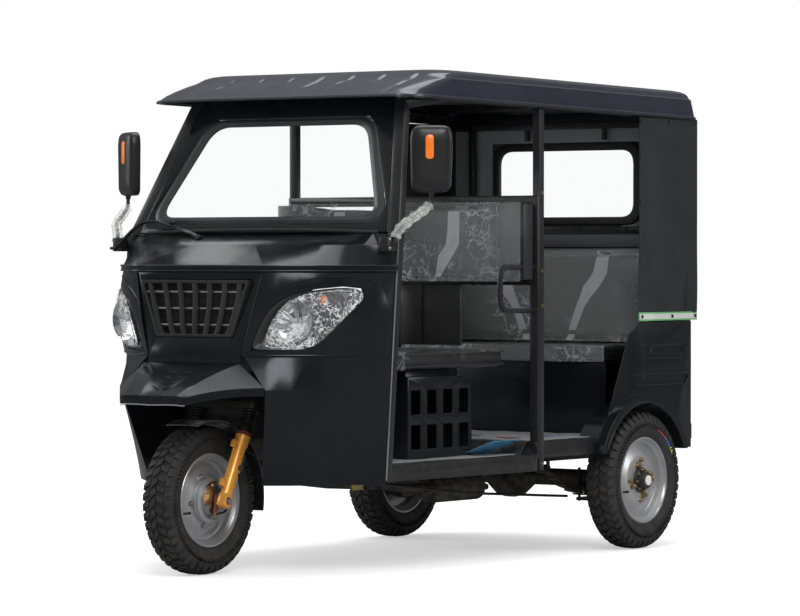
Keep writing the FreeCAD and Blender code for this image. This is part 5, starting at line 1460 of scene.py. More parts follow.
    def rear_hub(self, name: str, body: Body) -> None:
        """Makes the rear hub with its drum, nuts and bare end cap.

        Args:
            name: Which wheel it is.
            body: The wheel's body.
        """
        self.turned_piece(name + "_brake_drum", body, (
            (-0.074, 0.016), (-0.074, 0.104), (-0.066, 0.110), (-0.020, 0.110), (-0.010, 0.104),
            (0.020, 0.092), (0.024, 0.050), (0.024, 0.016)), CHASSIS_PAINT)
        self.turned_piece(name + "_hub_flange", body, (
            (0.030, 0.006), (0.030, 0.050), (0.042, 0.050), (0.046, 0.046), (0.046, 0.036),
            (0.066, 0.034), (0.070, 0.030), (0.070, 0.006)), SEALED_BLACK)
        self.turned_piece(name + "_hub_cap", body, (
            (0.0695, 0.002), (0.0695, 0.020), (0.0745, 0.020), (0.0755, 0.017), (0.0755, 0.002)),
            PALE_CAP, 40)
        self.nuts(name + "_wheel_nuts", body, 4, 0.064, 0.0345, 0.0115, YELLOW_ZINC, 0.35, 0.006)
        self.nuts(name + "_rim_bolts", body, 4, 0.080, 0.0345, 0.0085, YELLOW_ZINC, 0.0, 0.004)
        self.nuts(name + "_flange_bolts", body, 8, 0.041, 0.0462, 0.0052, YELLOW_ZINC, 0.1, 0.002)


@dataclass
class Steering:
    """The fork with its gold legs and bellows, the fender over the tyre and the handlebar.

    Attributes:
        shop: Where the pieces are made.
        axis_at: Where the steering axis passes the axle's height.
        rake: How far the axis leans back, in degrees.
        leg_x: How far each leg stands out of the middle.
        leg_y: How far the legs stand before the axis.
        axle_z: The axle's height on the upright fork.
        bar_z: The bar's height over the road.
        bar_rise: How far the bar's ends rise over its middle, on the upright fork.
    """

    shop: Shop
    axis_at: Point = (0.0, -1.075, AXLE_Z)
    rake: float = 26.0
    leg_x: float = 0.115
    leg_y: float = -0.0404
    axle_z: float = -0.0197
    bar_z: float = 1.032
    bar_rise: float = 0.022

    def laid_back(self) -> Matrix:
        """Gives the move from the upright fork to its raked place."""
        return Matrix.Translation(self.axis_at) @ Matrix.Rotation(-math.radians(self.rake), 4, "X")

    def leaned(self, name: str, bm: bmesh.types.BMesh, finish: Finish, replaces: Sequence[str] = (),
               bevel: float = 0.0, sharp: float = 35.0) -> None:
        """Makes a piece that was drawn upright and lays it back.

        Args:
            name: The piece's name.
            bm: Its upright shape.
            finish: Its finish.
            replaces: The nodes that it stands for.
            bevel: The rounding of its sharp edges.
            sharp: The angle over which an edge stays sharp.
        """
        self.shop.piece(name, bm, finish, Body.STEERING, replaces, sharp, bevel,
                        move=self.laid_back())

    def on_legs(self, bm: bmesh.types.BMesh, *profiles: Sequence[tuple[float, float]]) -> None:
        """Turns closed profiles round both upright legs.

        Args:
            bm: The mesh to add to.
            *profiles: Corners as (height, radius).
        """
        for sign in (-1, 1):
            for profile in profiles:
                add_turned(bm, profile, (sign * self.leg_x, self.leg_y, 0.0), 36, "Z")

    def build(self) -> None:
        """Makes every steered piece but the wheel."""
        self.legs()
        self.bellows()
        self.yoke()
        self.fender()
        self.bar()
        self.brake_lever()

    def legs(self) -> None:
        """Makes the gold lower legs with their ribs, lugs and axle bosses."""
        bm = bmesh.new()
        profile = [(-0.0440, 0.0005), (-0.0440, 0.0170), (-0.0410, 0.0205), (0.0100, 0.0235),
                   (0.0240, 0.0215), (0.1200, 0.0215), (0.1280, 0.0230), (0.1900, 0.0235),
                   (0.2000, 0.0265), (0.2240, 0.0280), (0.2300, 0.0292), (0.2360, 0.0288),
                   (0.2360, 0.0005)]
        self.on_legs(bm, profile)
        self.leaned("gold_legs", bm, GOLD_PAINT, ("fork_sliders",), sharp=40)
        bm = bmesh.new()
        x, y = self.leg_x, self.leg_y
        for sign in (-1, 1):
            low, high = on_side(sign, x - 0.0040, x + 0.0050)
            add_prism(bm, [(low, y - 0.012, 0.020), (low, y - 0.033, 0.034),
                           (low, y - 0.034, 0.196), (low, y - 0.012, 0.222)],
                      (high - low, 0, 0))
            add_block(bm, (low - 0.004, y - 0.048, 0.178), (high + 0.004, y - 0.026, 0.206))
            add_block(bm, (low - 0.003, y - 0.050, 0.024), (high + 0.003, y - 0.024, 0.052))
            low, high = on_side(sign, x - 0.016, x + 0.0205)
            add_block(bm, (low, y - 0.021, -0.042), (high, y + 0.021, 0.004))
            for k in range(5):
                z = 0.040 + 0.030 * k
                low, high = on_side(sign, x + 0.002, x + 0.016)
                add_block(bm, (low, y + 0.008, z), (high, y + 0.0225, z + 0.013))
        self.leaned("gold_ribs", bm, GOLD_PAINT, bevel=0.0022)
        bm = bmesh.new()
        for sign in (-1, 1):
            low, high = on_side(sign, x + 0.0165, x + 0.0215)
            add_block(bm, (low, y - 0.004, 0.105), (high, y + 0.026, 0.168))
        self.leaned("leg_plates", bm, DULL_CAST, bevel=0.0014)
        bm = bmesh.new()
        add_tube(bm, [(-0.1345, y, self.axle_z), (0.1345, y, self.axle_z)], 0.0078, 20)
        for sign in (-1, 1):
            for a, b, radius in ((0.1345, 0.1375, 0.0150), (0.1375, 0.1450, 0.0122)):
                add_tube(bm, [(sign * a, y, self.axle_z), (sign * b, y, self.axle_z)],
                         radius, 6 if radius < 0.014 else 24)
        self.leaned("front_spindle", bm, BRIGHT_METAL)

    def bellows(self) -> None:
        """Makes the black bellows, the coil over them and the copper rings at their feet."""
        bm = bmesh.new()
        outline = [(0.2380, 0.0005), (0.2380, 0.0235)]
        for k in range(9):
            z = 0.2420 + 0.0108 * k
            outline += [(z, 0.0205), (z + 0.0054, 0.0238)]
        outline += [(0.3395, 0.0235), (0.3395, 0.0005)]
        self.on_legs(bm, outline)
        self.leaned("fork_bellows", bm, SOFT_RUBBER, ("fork",), sharp=60)
        bm = bmesh.new()
        turns, steps = 7, 14
        for sign in (-1, 1):
            coil = [Vector((sign * self.leg_x + 0.0275 * math.cos(2 * math.pi * k / steps),
                            self.leg_y + 0.0275 * math.sin(2 * math.pi * k / steps),
                            0.254 + 0.080 * k / (turns * steps))) for k in range(turns * steps + 1)]
            add_tube(bm, coil, 0.0034, 8)
        self.leaned("fork_springs", bm, SATIN_PLASTIC)
        bm = bmesh.new()
        self.on_legs(bm, *([(z, 0.0240), (z, 0.0300), (z + 0.0042, 0.0300), (z + 0.0042, 0.0240)]
                           for z in (0.2365, 0.2445)))
        self.leaned("collar_rings", bm, RUST_PAINT, bevel=0.0008)

    def yoke(self) -> None:
        """Makes the yoke plate, the upper tubes and the steering stem."""
        bm = bmesh.new()
        x, y = self.leg_x, self.leg_y
        flat = round_corners([(-x - 0.027, y - 0.027), (x + 0.027, y - 0.027), (x + 0.027, y + 0.030),
                              (0.040, 0.026), (-0.040, 0.026), (-x - 0.027, y + 0.030)], 0.022, 5)
        add_prism(bm, [(a, b, 0.3395) for a, b in flat], (0, 0, 0.0275))
        self.leaned("yoke_plate", bm, CHASSIS_PAINT, bevel=0.003)
        bm = bmesh.new()
        for sign in (-1, 1):
            add_turned(bm, [(0.366, 0.0005), (0.366, 0.0165), (0.378, 0.0165), (0.382, 0.010),
                            (0.382, 0.0005)], (sign * x, y, 0.0), 24, "Z")
        add_tube(bm, [(0, 0, 0.350), (0, 0, 0.842)], 0.0168, 28)
        self.leaned("steering_stem", bm, BLACK_METAL)

    def fender(self) -> None:
        """Makes the thin black fender over the tyre with its rolled edge, painted grey as a highlight, and
        stays.
        """
        centre = Vector((0, FRONT_AXLE_Y, AXLE_Z))
        inner, half = 0.2905, 0.0735
        start, end = math.radians(-10), math.radians(110)
        rows = []
        for k in range(37):
            a = start + (end - start) * k / 36
            out = Vector((0, math.cos(a), math.sin(a)))
            row = []
            for j in range(11):
                u = j / 5 - 1
                drop = 0.010 * abs(u) ** 3
                row.append(centre + out * (inner + 0.0032 - drop * 0.28) + Vector((half * u, 0, 0)))
            rows.append(row + [p - out * 0.0018 for p in row[::-1]])
        bm = fresh(skin_rings, rows)
        shop = self.shop
        shop.piece("fender_sheet", bm, BLACK_METAL, Body.STEERING, ("front_fender",), sharp=50)
        ends = [row[:11] for row in (rows[0], rows[-1])]
        edges = [[row[0] for row in rows], [row[10] for row in rows]] + ends
        # The rolled edge is black; its grey is a painted highlight.
        shop.swept("fender_edge", edges, GREY_EDGE_HIGHLIGHT, 0.0016, body=Body.STEERING)
        bm = bmesh.new()
        for sign in (-1, 1):
            foot = self.laid_back() @ Vector((sign * 0.092, self.leg_y, 0.232))
            top = centre + Vector((sign * 0.066, 0.09, inner - 0.012))
            add_tube(bm, smooth_line([foot, foot.lerp(top, 0.5) + Vector((sign * 0.004, 0, 0)), top], 4),
                     0.0052, 10)
            add_tube(bm, [self.laid_back() @ Vector((sign * 0.088, self.leg_y, 0.200)),
                          centre + Vector((sign * 0.070, 0.245, 0.156))], 0.0045, 10)
        shop.piece("fender_stays", bm, BLACK_METAL, Body.STEERING)

    def bar(self) -> None:
        """Makes the handlebar with its grips, levers, switch boxes and clamp."""
        shop = self.shop
        high = (self.bar_z - AXLE_Z) / math.cos(math.radians(self.rake)) + self.bar_rise
        shop.recast("handlebar", BLACK_METAL, 0.0012, Body.STEERING)
        knee, end = Vector((0.139, 0.029, high)), Vector((0.330, 0.096, high - 0.062))
        ahead = (end - knee).normalized()
        bm, boxes, levers = bmesh.new(), bmesh.new(), bmesh.new()
        for sign in (-1, 1):
            flip = Matrix.Diagonal((sign, 1, 1))
            start = end - ahead * 0.116
            marks = [start.lerp(end + ahead * 0.004, k / 22) for k in range(23)]
            radii = [0.0185] + [0.0160 + 0.0010 * (k % 2) for k in range(21)] + [0.0180]
            add_tube(bm, [flip @ p for p in marks], radii, 20)
            box_at = start - ahead * 0.026
            add_tube(boxes, [flip @ (box_at - ahead * 0.017), flip @ (box_at + ahead * 0.017)], 0.0200, 16)
            root = box_at - ahead * 0.012 + Vector((0, -0.022, -0.004))
            line = smooth_line([root, root + ahead * 0.045 + Vector((0, -0.022, -0.006)),
                                end + Vector((0.0, -0.040, -0.014))], 6)
            add_tube(levers, [flip @ p for p in line], [0.0070] * 4 + [0.0052] * 8 + [0.0068], 10)
        self.leaned("bar_grips", bm, SOFT_RUBBER)
        self.leaned("switch_boxes", boxes, SATIN_PLASTIC, bevel=0.002)
        self.leaned("hand_levers", levers, BRIGHT_METAL)

    def brake_lever(self) -> None:
        """Makes the brake's red-brown lever with its rod and clip beside the drum."""
        at = Vector((0.0815, -1.118, AXLE_Z))
        bm = bmesh.new()
        line = [at + Vector((0, -0.004, 0.022)), at + Vector((0.001, -0.008, -0.010)),
                at + Vector((0.001, -0.016, -0.050))]
        skin_rings(bm, [[p + Vector((-0.003, -0.008, 0)), p + Vector((0.003, -0.008, 0)),
                         p + Vector((0.003, 0.008, 0)), p + Vector((-0.003, 0.008, 0))] for p in line])
        self.shop.piece("brake_arm", bm, RUST_PAINT, Body.STEERING, bevel=0.0015)
        bm = bmesh.new()
        add_tube(bm, [at + Vector((0.0, -0.034, -0.058)), at + Vector((0.004, 0.020, -0.046))], 0.0030, 8)
        add_tube(bm, [at + Vector((0.002, -0.016, -0.062)), at + Vector((0.002, -0.016, -0.040))],
                 0.0046, 8)
        self.shop.piece("brake_clip", bm, YELLOW_ZINC, Body.STEERING)
        bm = bmesh.new()
        add_tube(bm, smooth_line([at + Vector((0.003, -0.002, -0.050)), at + Vector((0.010, 0.050, -0.020)),
                                  self.laid_back() @ Vector((0.088, self.leg_y + 0.020, 0.180)),
                                  self.laid_back() @ Vector((0.070, self.leg_y + 0.036, 0.330))], 8),
                 0.0042, 10)
        self.shop.piece("brake_hose", bm, SOFT_RUBBER, Body.STEERING)


@dataclass
class Roof:
    """The moulded roof: a skirt with two long creases, a grooved front slope and a soft crown.

    Attributes:
        shop: Where the pieces are made.
        half: Half its width.
        front: Its front end.
        rear: Its rear end.
        lip_front: The lip's height at the front.
        droop: How far the lip falls to the rear.
        skin: The moulding's thickness.
        grooves: How many fields the grooves part.
        pitch: The distance between the grooves.
        steps: Each ring's inset, rise, front and rear setback and share of the grooves' depth.
    """

    shop: Shop
    half: float = 0.615
    front: float = -0.690
    rear: float = 1.375
    lip_front: float = 1.7453
    droop: float = 0.031
    skin: float = 0.005
    grooves: int = 8
    pitch: float = 0.142
    steps: tuple[tuple[float, float, float, float, float], ...] = (
        (0.0000, 0.000, 0.000, 0.000, 0.0), (0.0002, 0.010, 0.004, 0.001, 0.0),
        (0.0060, 0.015, 0.020, 0.006, 0.1), (0.0075, 0.030, 0.050, 0.008, 0.45),
        (0.0110, 0.050, 0.104, 0.010, 0.9), (0.0145, 0.068, 0.160, 0.012, 1.0),
        (0.0160, 0.080, 0.204, 0.014, 1.0), (0.0230, 0.086, 0.222, 0.018, 0.95),
        (0.0270, 0.096, 0.244, 0.022, 0.7), (0.0330, 0.104, 0.262, 0.028, 0.35),
        (0.0480, 0.112, 0.286, 0.042, 0.1), (0.0720, 0.117, 0.312, 0.062, 0.0),
        (0.1300, 0.1195, 0.360, 0.110, 0.0), (0.3000, 0.1213, 0.520, 0.260, 0.0),
        (0.5600, 0.1218, 0.780, 0.520, 0.0))

    def lip(self, y: float) -> float:
        """Gives the lower lip's height at a place along the roof."""
        return self.lip_front - self.droop * (y - self.front) / (self.rear - self.front)

    def ring(self, inset: float, rise: float, back: float, tail: float, dip: float) -> list[Vector]:
        """Gives one ring of the roof.

        Args:
            inset: How far the ring lies in from the widest line.
            rise: Its height over the lip.
            back: How far its front lies behind the lip's front.
            tail: How far its rear lies before the roof's end.
            dip: The share of the grooves' depth that shows.

        Returns:
            The ring's points, from the front's middle round the left.
        """
        half, y0, y1 = self.half - inset, self.front + back, self.rear - tail
        corner = min(0.150, half * 0.5)
        side = []
        cells = 56
        for k in range(cells + 1):
            x = (half - corner * 0.55) * k / cells
            side.append((x, y0 + 0.022 * max(0.0, (x - 0.30) / 0.3) ** 2))
        x1, start = side[-1]
        for k in range(1, 11):
            a = k / 10 * math.pi / 2
            side.append((x1 + (half - x1) * math.sin(a), start + (corner - 0.02) * (1 - math.cos(a))))
        rear_corner = min(0.046, half * 0.4)
        long_start, long_end = side[-1][1], y1 - rear_corner
        for k in range(1, 25):
            side.append((half, long_start + (long_end - long_start) * k / 24))
        for k in range(1, 7):
            a = k / 6 * math.pi / 2
            side.append((half - rear_corner * (1 - math.cos(a)), long_end + rear_corner * math.sin(a)))
        for k in range(1, 9):
            side.append(((half - rear_corner) * (1 - k / 8), y1))
        loop = side + [(-x, y) for x, y in side[-2:0:-1]]
        points = []
        for x, y in loop:
            z = self.lip(y) + rise
            if dip and y < y0 + 0.14:
                slot = (abs(x) / self.pitch) % 1.0 - 0.5
                depth = max(0.0, 1.0 - abs(slot) * self.pitch / 0.017)
                if abs(x) < self.pitch * self.grooves / 2:
                    z -= 0.0065 * dip * min(1.0, depth * 1.6)
            points.append(Vector((x, y, z)))
        return points

    def build(self) -> None:
        """Makes the shell, its lining and the rolled lip."""
        rings = [self.ring(*step) for step in self.steps]
        bm = bmesh.new()
        inner = [[Vector((p.x - math.copysign(min(self.skin, abs(p.x)), p.x),
                          min(max(p.y, self.front + self.skin + step[2]), self.rear - self.skin - step[3]),
                          p.z - self.skin)) for p in ring]
                 for ring, step in zip(rings[2:], self.steps[2:])]
        lower = [Vector((p.x * 0.993, p.y + (0.004 if p.y < 0 else -0.004), p.z)) for p in rings[0]]
        skin_rings(bm, inner[::-1] + [lower] + rings)
        self.shop.piece("roof_moulding", bm, ROOF_PLASTIC, replaces=("roof",), sharp=24)
        self.edge(rings)
        self.bows()

    def edge(self, rings: Sequence[Sequence[Vector]]) -> None:
        """Makes the thin rubber bead under the lip.

        Args:
            rings: The shell's rings.
        """
        line = [Vector((p.x * 0.996, p.y * 0.998, p.z + 0.0035)) for p in rings[0]]
        self.shop.swept("roof_lip_bead", [line], SATIN_PLASTIC, 0.0035, closed=True)

    def bows(self) -> None:
        """Makes the bows and the grey lining under the roof."""
        bm = bmesh.new()
        for y in (0.165, 0.62, 1.218):
            add_block(bm, (-0.575, y, self.lip(y) + 0.045), (0.575, y + 0.034, self.lip(y) + 0.083))
        for side in (-1, 1):
            low, high = on_side(side, 0.575, 0.540)
            add_block(bm, (low, -0.20, 1.775), (high, 1.25, 1.806))
        self.shop.piece("roof_bows", bm, BLACK_METAL, bevel=0.004)
        bm = bmesh.new()
        rows = []
        for k in range(25):
            y = -0.36 + 1.66 * k / 24
            sag = 0.004 * math.sin(k * math.pi / 4) ** 2
            rows.append([Vector((x, y, self.lip(y) + 0.098 - sag)) for x in (-0.53, -0.2, 0.2, 0.53)])
        skin_rings(bm, slab(rows, (0, 0, 0.003)))
        self.shop.piece("roof_lining", bm, GREY_CLOTH, sharp=40)


@dataclass
class Nose:
    """The nose: smooth cheeks, centre panel, grille, beak, scuttle and its trims.

    Attributes:
        shop: Where the pieces are made.
        slats: How many upright slats the grille has.
    """

    shop: Shop
    slats: int = 7

    def build(self) -> None:
        """Makes every piece of the nose."""
        for side, _ in SIDES:
            self.shop.recast("cheek_" + side, BODY_PAINT, 0.0012, sharp=26, join=0.2)
            self.brow(side)
            self.lamp(side)
        self.shop.recast("nose_panel", BODY_PAINT, 0.0015, sharp=30)
        self.shop.recast("scuttle", BODY_PAINT, 0.0012, sharp=26, join=0.2)
        self.seams()
        self.grille()
        self.beak()
        self.trims()

    def on_cheek(self, side: str, x: float, z: float, lift: float = 0.0) -> Vector:
        """Finds the cheek's surface straight behind a point of the front view.

        Args:
            side: Left or right.
            x: The distance from the middle.
            z: The height.
            lift: How far the point stands off.

        Returns:
            The point.
        """
        sign = dict(SIDES)[side]
        return self.lamp_surface("headlamp_" + side, sign, x, z) + Vector((sign * 0.3, -0.95, 0)) * lift

    def brow(self, side: str) -> None:
        """Makes the raised brow crease that runs over a lamp to the door.

        Args:
            side: Left or right.
        """
        marks = [(0.262, 0.985), (0.300, 1.022), (0.370, 1.060), (0.450, 1.082), (0.520, 1.088),
                 (0.575, 1.076), (0.590, 1.058)]
        line = smooth_line([self.on_cheek(side, x, z, 0.0006) for x, z in marks], 6)
        self.shop.swept("brow_line_" + side, [line], BODY_PAINT, 0.0028)

    def seams(self) -> None:
        """Makes the shut lines' dark rubber, the crease beads on both cheeks and the pale strips down the
        door edges, which are painted highlights on the black paint.
        """
        lines, beads, door_highlights = [], [], []
        for side, sign in SIDES:
            heights = [0.86 + 0.24 * k / 8 for k in range(9)]
            lines.append([self.on_cheek(side, 0.2215 + (z - 0.8) * 0.236, z, 0.0008) for z in heights])
            beads.append(smooth_line([self.on_cheek(side, x, 0.8035, 0.0003)
                                      for x in (0.235, 0.30, 0.37, 0.44, 0.50, 0.55, 0.585)], 5))
            door_highlights.append([Vector((sign * (0.5765 + 0.0620 * (z - 0.345)), -0.7515, z))
                          for z in (0.345 + 0.755 * k / 10 for k in range(11))])
        shop = self.shop
        # The pale strips down the door edges are painted highlights on black paint.
        shop.swept("door_edge_strips", door_highlights, PALE_HIGHLIGHT, 0.0030)
        shop.swept("nose_shut_lines", lines, SOFT_RUBBER, 0.0022)
        shop.swept("cheek_crease_beads", beads, BODY_PAINT, 0.0030)

    def lamp(self, side: str) -> None:
        """Makes a headlamp: its chrome bowl, round reflector, bulbs, clear lens and film.

        Args:
            side: Left or right.
        """
        shop, sign = self.shop, dict(SIDES)[side]
        node = "headlamp_" + side
        shape = [(0, 0.02), (0.20, 0.0), (0.42, 0.0), (0.57, 0.07), (0.72, 0.28), (0.85, 0.49),
                 (0.94, 0.66), (1, 0.83), (0.98, 0.97), (0.85, 1), (0.66, 0.965), (0.49, 0.91),
                 (0.36, 0.83), (0.24, 0.69), (0.12, 0.44), (0.03, 0.17)]
        hole = round_corners(shape, 0.09, 4)
        flat = [(1 - (1 - u) * 0.865, 0.5 + (v - 0.5) * 0.94) for u, v in hole]
        x0, wide, z0, tall = 0.2525, 0.3110, 0.8210, 0.2280

        def ring(share: float, lift: float, outline: Sequence[tuple[float, float]]) -> list[Vector]:
            """Gives an outline drawn in to a share of its size, off the lamp's surface."""
            points = []
            for u, v in outline:
                u, v = 0.5 + (u - 0.5) * share, 0.5 + (v - 0.5) * share
                spot = self.lamp_surface(node, sign, x0 + wide * u, z0 + tall * v)
                points.append(spot + Vector((sign * 0.35, -0.94, 0)) * lift)
            return points

        for name, finish, replaces, outline, steps in (
                ("lamp_housing_", SEALED_BLACK, (), hole, (
                    (1.0, -0.020), (1.0, -0.003), (0.985, -0.001), (0.93, -0.0035), (0.80, -0.020),
                    (0.4, -0.052))),
                ("lamp_bowl_", LAMP_CHROME, (node,), flat, (
                    (1.0, -0.020), (1.0, -0.004), (0.985, -0.0015), (0.965, -0.0025), (0.95, -0.012),
                    (0.88, -0.030), (0.6, -0.040), (0.15, -0.042))),
                ("lamp_lens_", LAMP_LENS, (), flat, (
                    (0.992, -0.004), (0.992, 0.0), (0.955, 0.0035), (0.80, 0.0050), (0.40, 0.0060),
                    (0.05, 0.0060), (0.05, 0.0035), (0.40, 0.0035), (0.80, 0.0025), (0.955, 0.0008),
                    (0.97, -0.004)))):
            rings = [ring(share, lift, outline) for share, lift in steps]
            shop.piece(name + side, fresh(skin_rings, rings), finish, replaces=replaces, sharp=40)
        centre = self.lamp_surface(node, sign, x0 + wide * 0.46, z0 + tall * 0.47)
        aim = Vector((sign * 0.22, -0.975, 0)).normalized()
        basis = aim.to_track_quat("Z", "Y").to_matrix().to_4x4()
        spot = self.lamp_surface(node, sign, x0 + wide * 0.70, z0 + tall * 0.80)
        for name, finish, at, sharp, steps, profile in (
                ("lamp_dish_", LAMP_CHROME, centre + aim * -0.006, 40.0, 40, (
                    (-0.012, 0.073), (-0.003, 0.075), (0.000, 0.077), (-0.0015, 0.0710),
                    (-0.010, 0.061), (-0.020, 0.042), (-0.026, 0.018), (-0.027, 0.004),
                    (-0.030, 0.004), (-0.030, 0.036), (-0.024, 0.063))),
                ("lamp_bulb_", PALE_CAP, centre + aim * -0.006, 35.0, 20, (
                    (-0.024, 0.0005), (-0.024, 0.008), (-0.012, 0.009), (-0.006, 0.007),
                    (-0.003, 0.0005))),
                ("turn_bulb_", ORANGE_LENS, spot + aim * -0.008, 35.0, 24, (
                    (-0.024, 0.0005), (-0.024, 0.012), (-0.012, 0.017), (-0.003, 0.015),
                    (0.001, 0.008), (0.002, 0.0005)))):
            shop.piece(name + side, fresh(add_turned, profile, segments=steps, axis="Z"), finish,
                       sharp=sharp, move=Matrix.Translation(at) @ basis)
        rings = [ring(share, lift, flat) for share, lift in (
            (1.035, -0.004), (1.03, 0.003), (0.93, 0.0095), (0.7, 0.0105), (0.4, 0.0095), (0.05, 0.0100))]
        bm = fresh(skin_rings, rings, caps=False)
        film = shop.piece("lamp_film_" + side, bm, CLEAR_FILM, sharp=60)

    def lamp_surface(self, node: str, sign: int, x: float, z: float) -> Vector:
        """Finds the lamp's face, or the cheek's beside it.

        Args:
            node: The lamp's node.
            sign: +1 for the left, -1 for the right.
            x: The distance from the middle.
            z: The height.

        Returns:
            The point.
        """
        best = None
        for dx, dz in ((0, 0), (0.002, 0), (-0.002, 0), (0, 0.002), (0, -0.002)):
            for name in (node, "cheek" + node[node.index("_"):], "nose_panel"):
                start = Vector(((x + dx) * sign, -2.0, z + dz))
                spot, _, _, _ = self.shop.surface(name).ray_cast(start, Vector((0, 1, 0)))
                if spot is not None and (best is None or spot.y < best.y):
                    best = Vector((x * sign, spot.y, z))
            if best is not None:
                return best
        raise ValueError("no surface behind x %.3f z %.3f" % (x, z))

    def grille(self) -> None:
        """Makes the kinked slats, the rods, the frame and the dark space behind."""
        shop = self.shop
        top, low = 1.0755, 0.8675
        y = -1.1500
        outline = [(-0.2515, top), (0.2515, top), (0.1765, low), (-0.1765, low)]
        inner = [(-0.2375, top - 0.012), (0.2375, top - 0.012), (0.1665, low + 0.012),
                 (-0.1665, low + 0.012)]
        bm = bmesh.new()
        loops = [[Vector((a, y + d, b)) for a, b in round_corners(points, 0.012, 4)]
                 for points, d in ((outline, 0.0), (outline, 0.022), (inner, 0.022), (inner, 0.0))]
        skin_rings(bm, loops, loop=True)
        shop.piece("grille_frame", bm, BLACK_PLASTIC, replaces=("grille",), bevel=0.0015)
        bm = bmesh.new()
        for index in range(self.slats):
            share = (index + 0.5) / self.slats * 2 - 1
            kink = 0.965
            spots = [(share * 0.2440, top - 0.008), (share * 0.2300 + 0.004, kink + 0.04),
                     (share * 0.1960, kink - 0.055), (share * 0.1720, low + 0.008)]
            face = smooth_line([Vector((x, y + 0.002, z)) for x, z in spots], 5)
            rings = [[p + Vector((-0.0115, 0.000, 0)), p + Vector((0.0115, 0.000, 0)),
                      p + Vector((0.0085, 0.019, 0)), p + Vector((-0.0085, 0.019, 0))] for p in face]
            skin_rings(bm, rings)
        shop.piece("grille_slats", bm, BLACK_PLASTIC, bevel=0.0012)
        lines = []
        for z in (1.032, 0.972, 0.912):
            reach = 0.166 + (z - low - 0.012) * 0.386
            lines.append([Vector((x * reach, y + 0.012 + 0.002 * math.cos(x * 3), z))
                          for x in (k / 12 * 2 - 1 for k in range(13))])
        shop.swept("grille_rods", lines, BRIGHT_METAL, 0.0048, 14)
        bm = fresh(add_block, (-0.278, -1.1130, 0.748), (0.278, -1.1090, 1.1015))
        back = [Vector((a, -1.1135, b)) for a, b in round_corners(outline, 0.012, 4)]
        skin_rings(bm, [[p + Vector((0, -0.013, 0)) for p in back], back], caps=False)
        shop.piece("grille_backing", bm, SEALED_BLACK)
        self.mesh_screen(y + 0.026)

    def mesh_screen(self, y: float) -> None:
        """Makes the fine dark net behind the slats.

        Args:
            y: The net's place.
        """
        lines = []
        for k in range(9):
            z = 0.886 + 0.022 * k
            reach = 0.160 + (z - 0.8795) * 0.386
            lines.append([Vector((-reach, y, z)), Vector((reach, y, z))])
        self.shop.swept("grille_net", lines, SEALED_BLACK, 0.0016, 6)

    def beak(self) -> None:
        """Makes the beak over the wheel with its rolled lip, scoop and slanting louvres, and a pale bead
        along the lip that is a painted highlight.
        """
        shop = self.shop

        def line(share: float) -> list[Vector]:
            """Gives one line across the beak at a share of its way from lip to nose."""
            front = [(0.0, 0.659), (0.060, 0.661), (0.120, 0.661), (0.144, 0.6555)]
            rear = [(0.0, 0.768), (0.100, 0.771), (0.222, 0.773), (0.3345, 0.688)]
            y = -1.3985 + share * 0.2320
            marks = []
            for (xa, za), (xb, zb) in zip(front, rear):
                bend = 0.010 * math.sin(share * math.pi)
                marks.append((xa + (xb - xa) * share, za + (zb - za) * share + bend))
            row = []
            for (xa, za), (xb, zb) in zip(marks, marks[1:]):
                for k in range(6):
                    t = k / 6
                    row.append((xa + (xb - xa) * t, za + (zb - za) * t))
            row.append(marks[-1])
            dip = [(x, z - 0.010 * max(0.0, 1 - (x / (0.050 + 0.080 * share)) ** 2)
                    * math.sin(min(1.0, share * 1.1) * math.pi) ** 0.5) for x, z in row]
            left = [Vector((x, y + (0.055 if share < 0.02 else 0.0) * max(0.0, x / 0.144 - 0.85), z))
                    for x, z in dip]
            edge = left[-1]
            left += [edge + Vector((0.0015, 0.0, -0.006)), edge + Vector((0.0015, 0.001, -0.030))]
            return [Vector((-p.x, p.y, p.z)) for p in left[:0:-1]] + left

        rows = [line(k / 14) for k in range(15)]
        lip = [p + Vector((0, 0.0008, -0.032)) for p in rows[0]]
        for p, top in zip(lip, rows[0]):
            p.z = max(0.6265, min(p.z, 0.629 + (top.z - 0.659) * 0.3))
        skins = [lip, [p + Vector((0, -0.001, -0.006)) for p in rows[0]]] + rows
        bm = bmesh.new()
        grid = [[bm.verts.new(p) for p in row] for row in skins]
        for low, high in zip(grid, grid[1:]):
            for k in range(len(low) - 1):
                bm.faces.new((low[k], low[k + 1], high[k + 1], high[k]))
        mesh = shop.mesh("beak_skin", bm)
        obj = shop.object("beak_shaping", mesh)
        thick = obj.modifiers.new("sheet", "SOLIDIFY")
        thick.thickness, thick.offset = 0.0030, -1.0
        shop.bake(obj)
        shaped = obj.data
        bpy.data.objects.remove(obj)
        shop.piece("beak_panel", shaped, BODY_PAINT, replaces=("beak_mudguard",), sharp=24,
                   bevel=0.0)
        # A pale bead along the lip, painted as the highlight that the black paint catches there.
        shop.swept("beak_lip_bead", [[p + Vector((0, -0.0004, 0.0)) for p in lip]], PALE_HIGHLIGHT, 0.0024)
        self.louvres()

    def louvres(self) -> None:
        """Makes the four slanting louvres on the beak."""
        shop = self.shop
        bm = bmesh.new()
        for k in range(4):
            y = -1.345 + 0.038 * k
            for sign in (-1, 1):
                base = 0.655 + 0.108 * (y + 1.3985) / 0.232
                near, far = 0.012, 0.066 + 0.012 * k
                line = [Vector((sign * near, y, base + 0.0045)),
                        Vector((sign * far, y + 0.020, base + 0.016))]
                rings = [[p + Vector((0, -0.0045, 0.0)), p + Vector((0, 0.0, 0.0035)),
                          p + Vector((0, 0.0045, 0.001)), p + Vector((0, 0.0, -0.003))] for p in line]
                skin_rings(bm, rings)
        shop.piece("beak_louvres", bm, BODY_PAINT, bevel=0.0006)

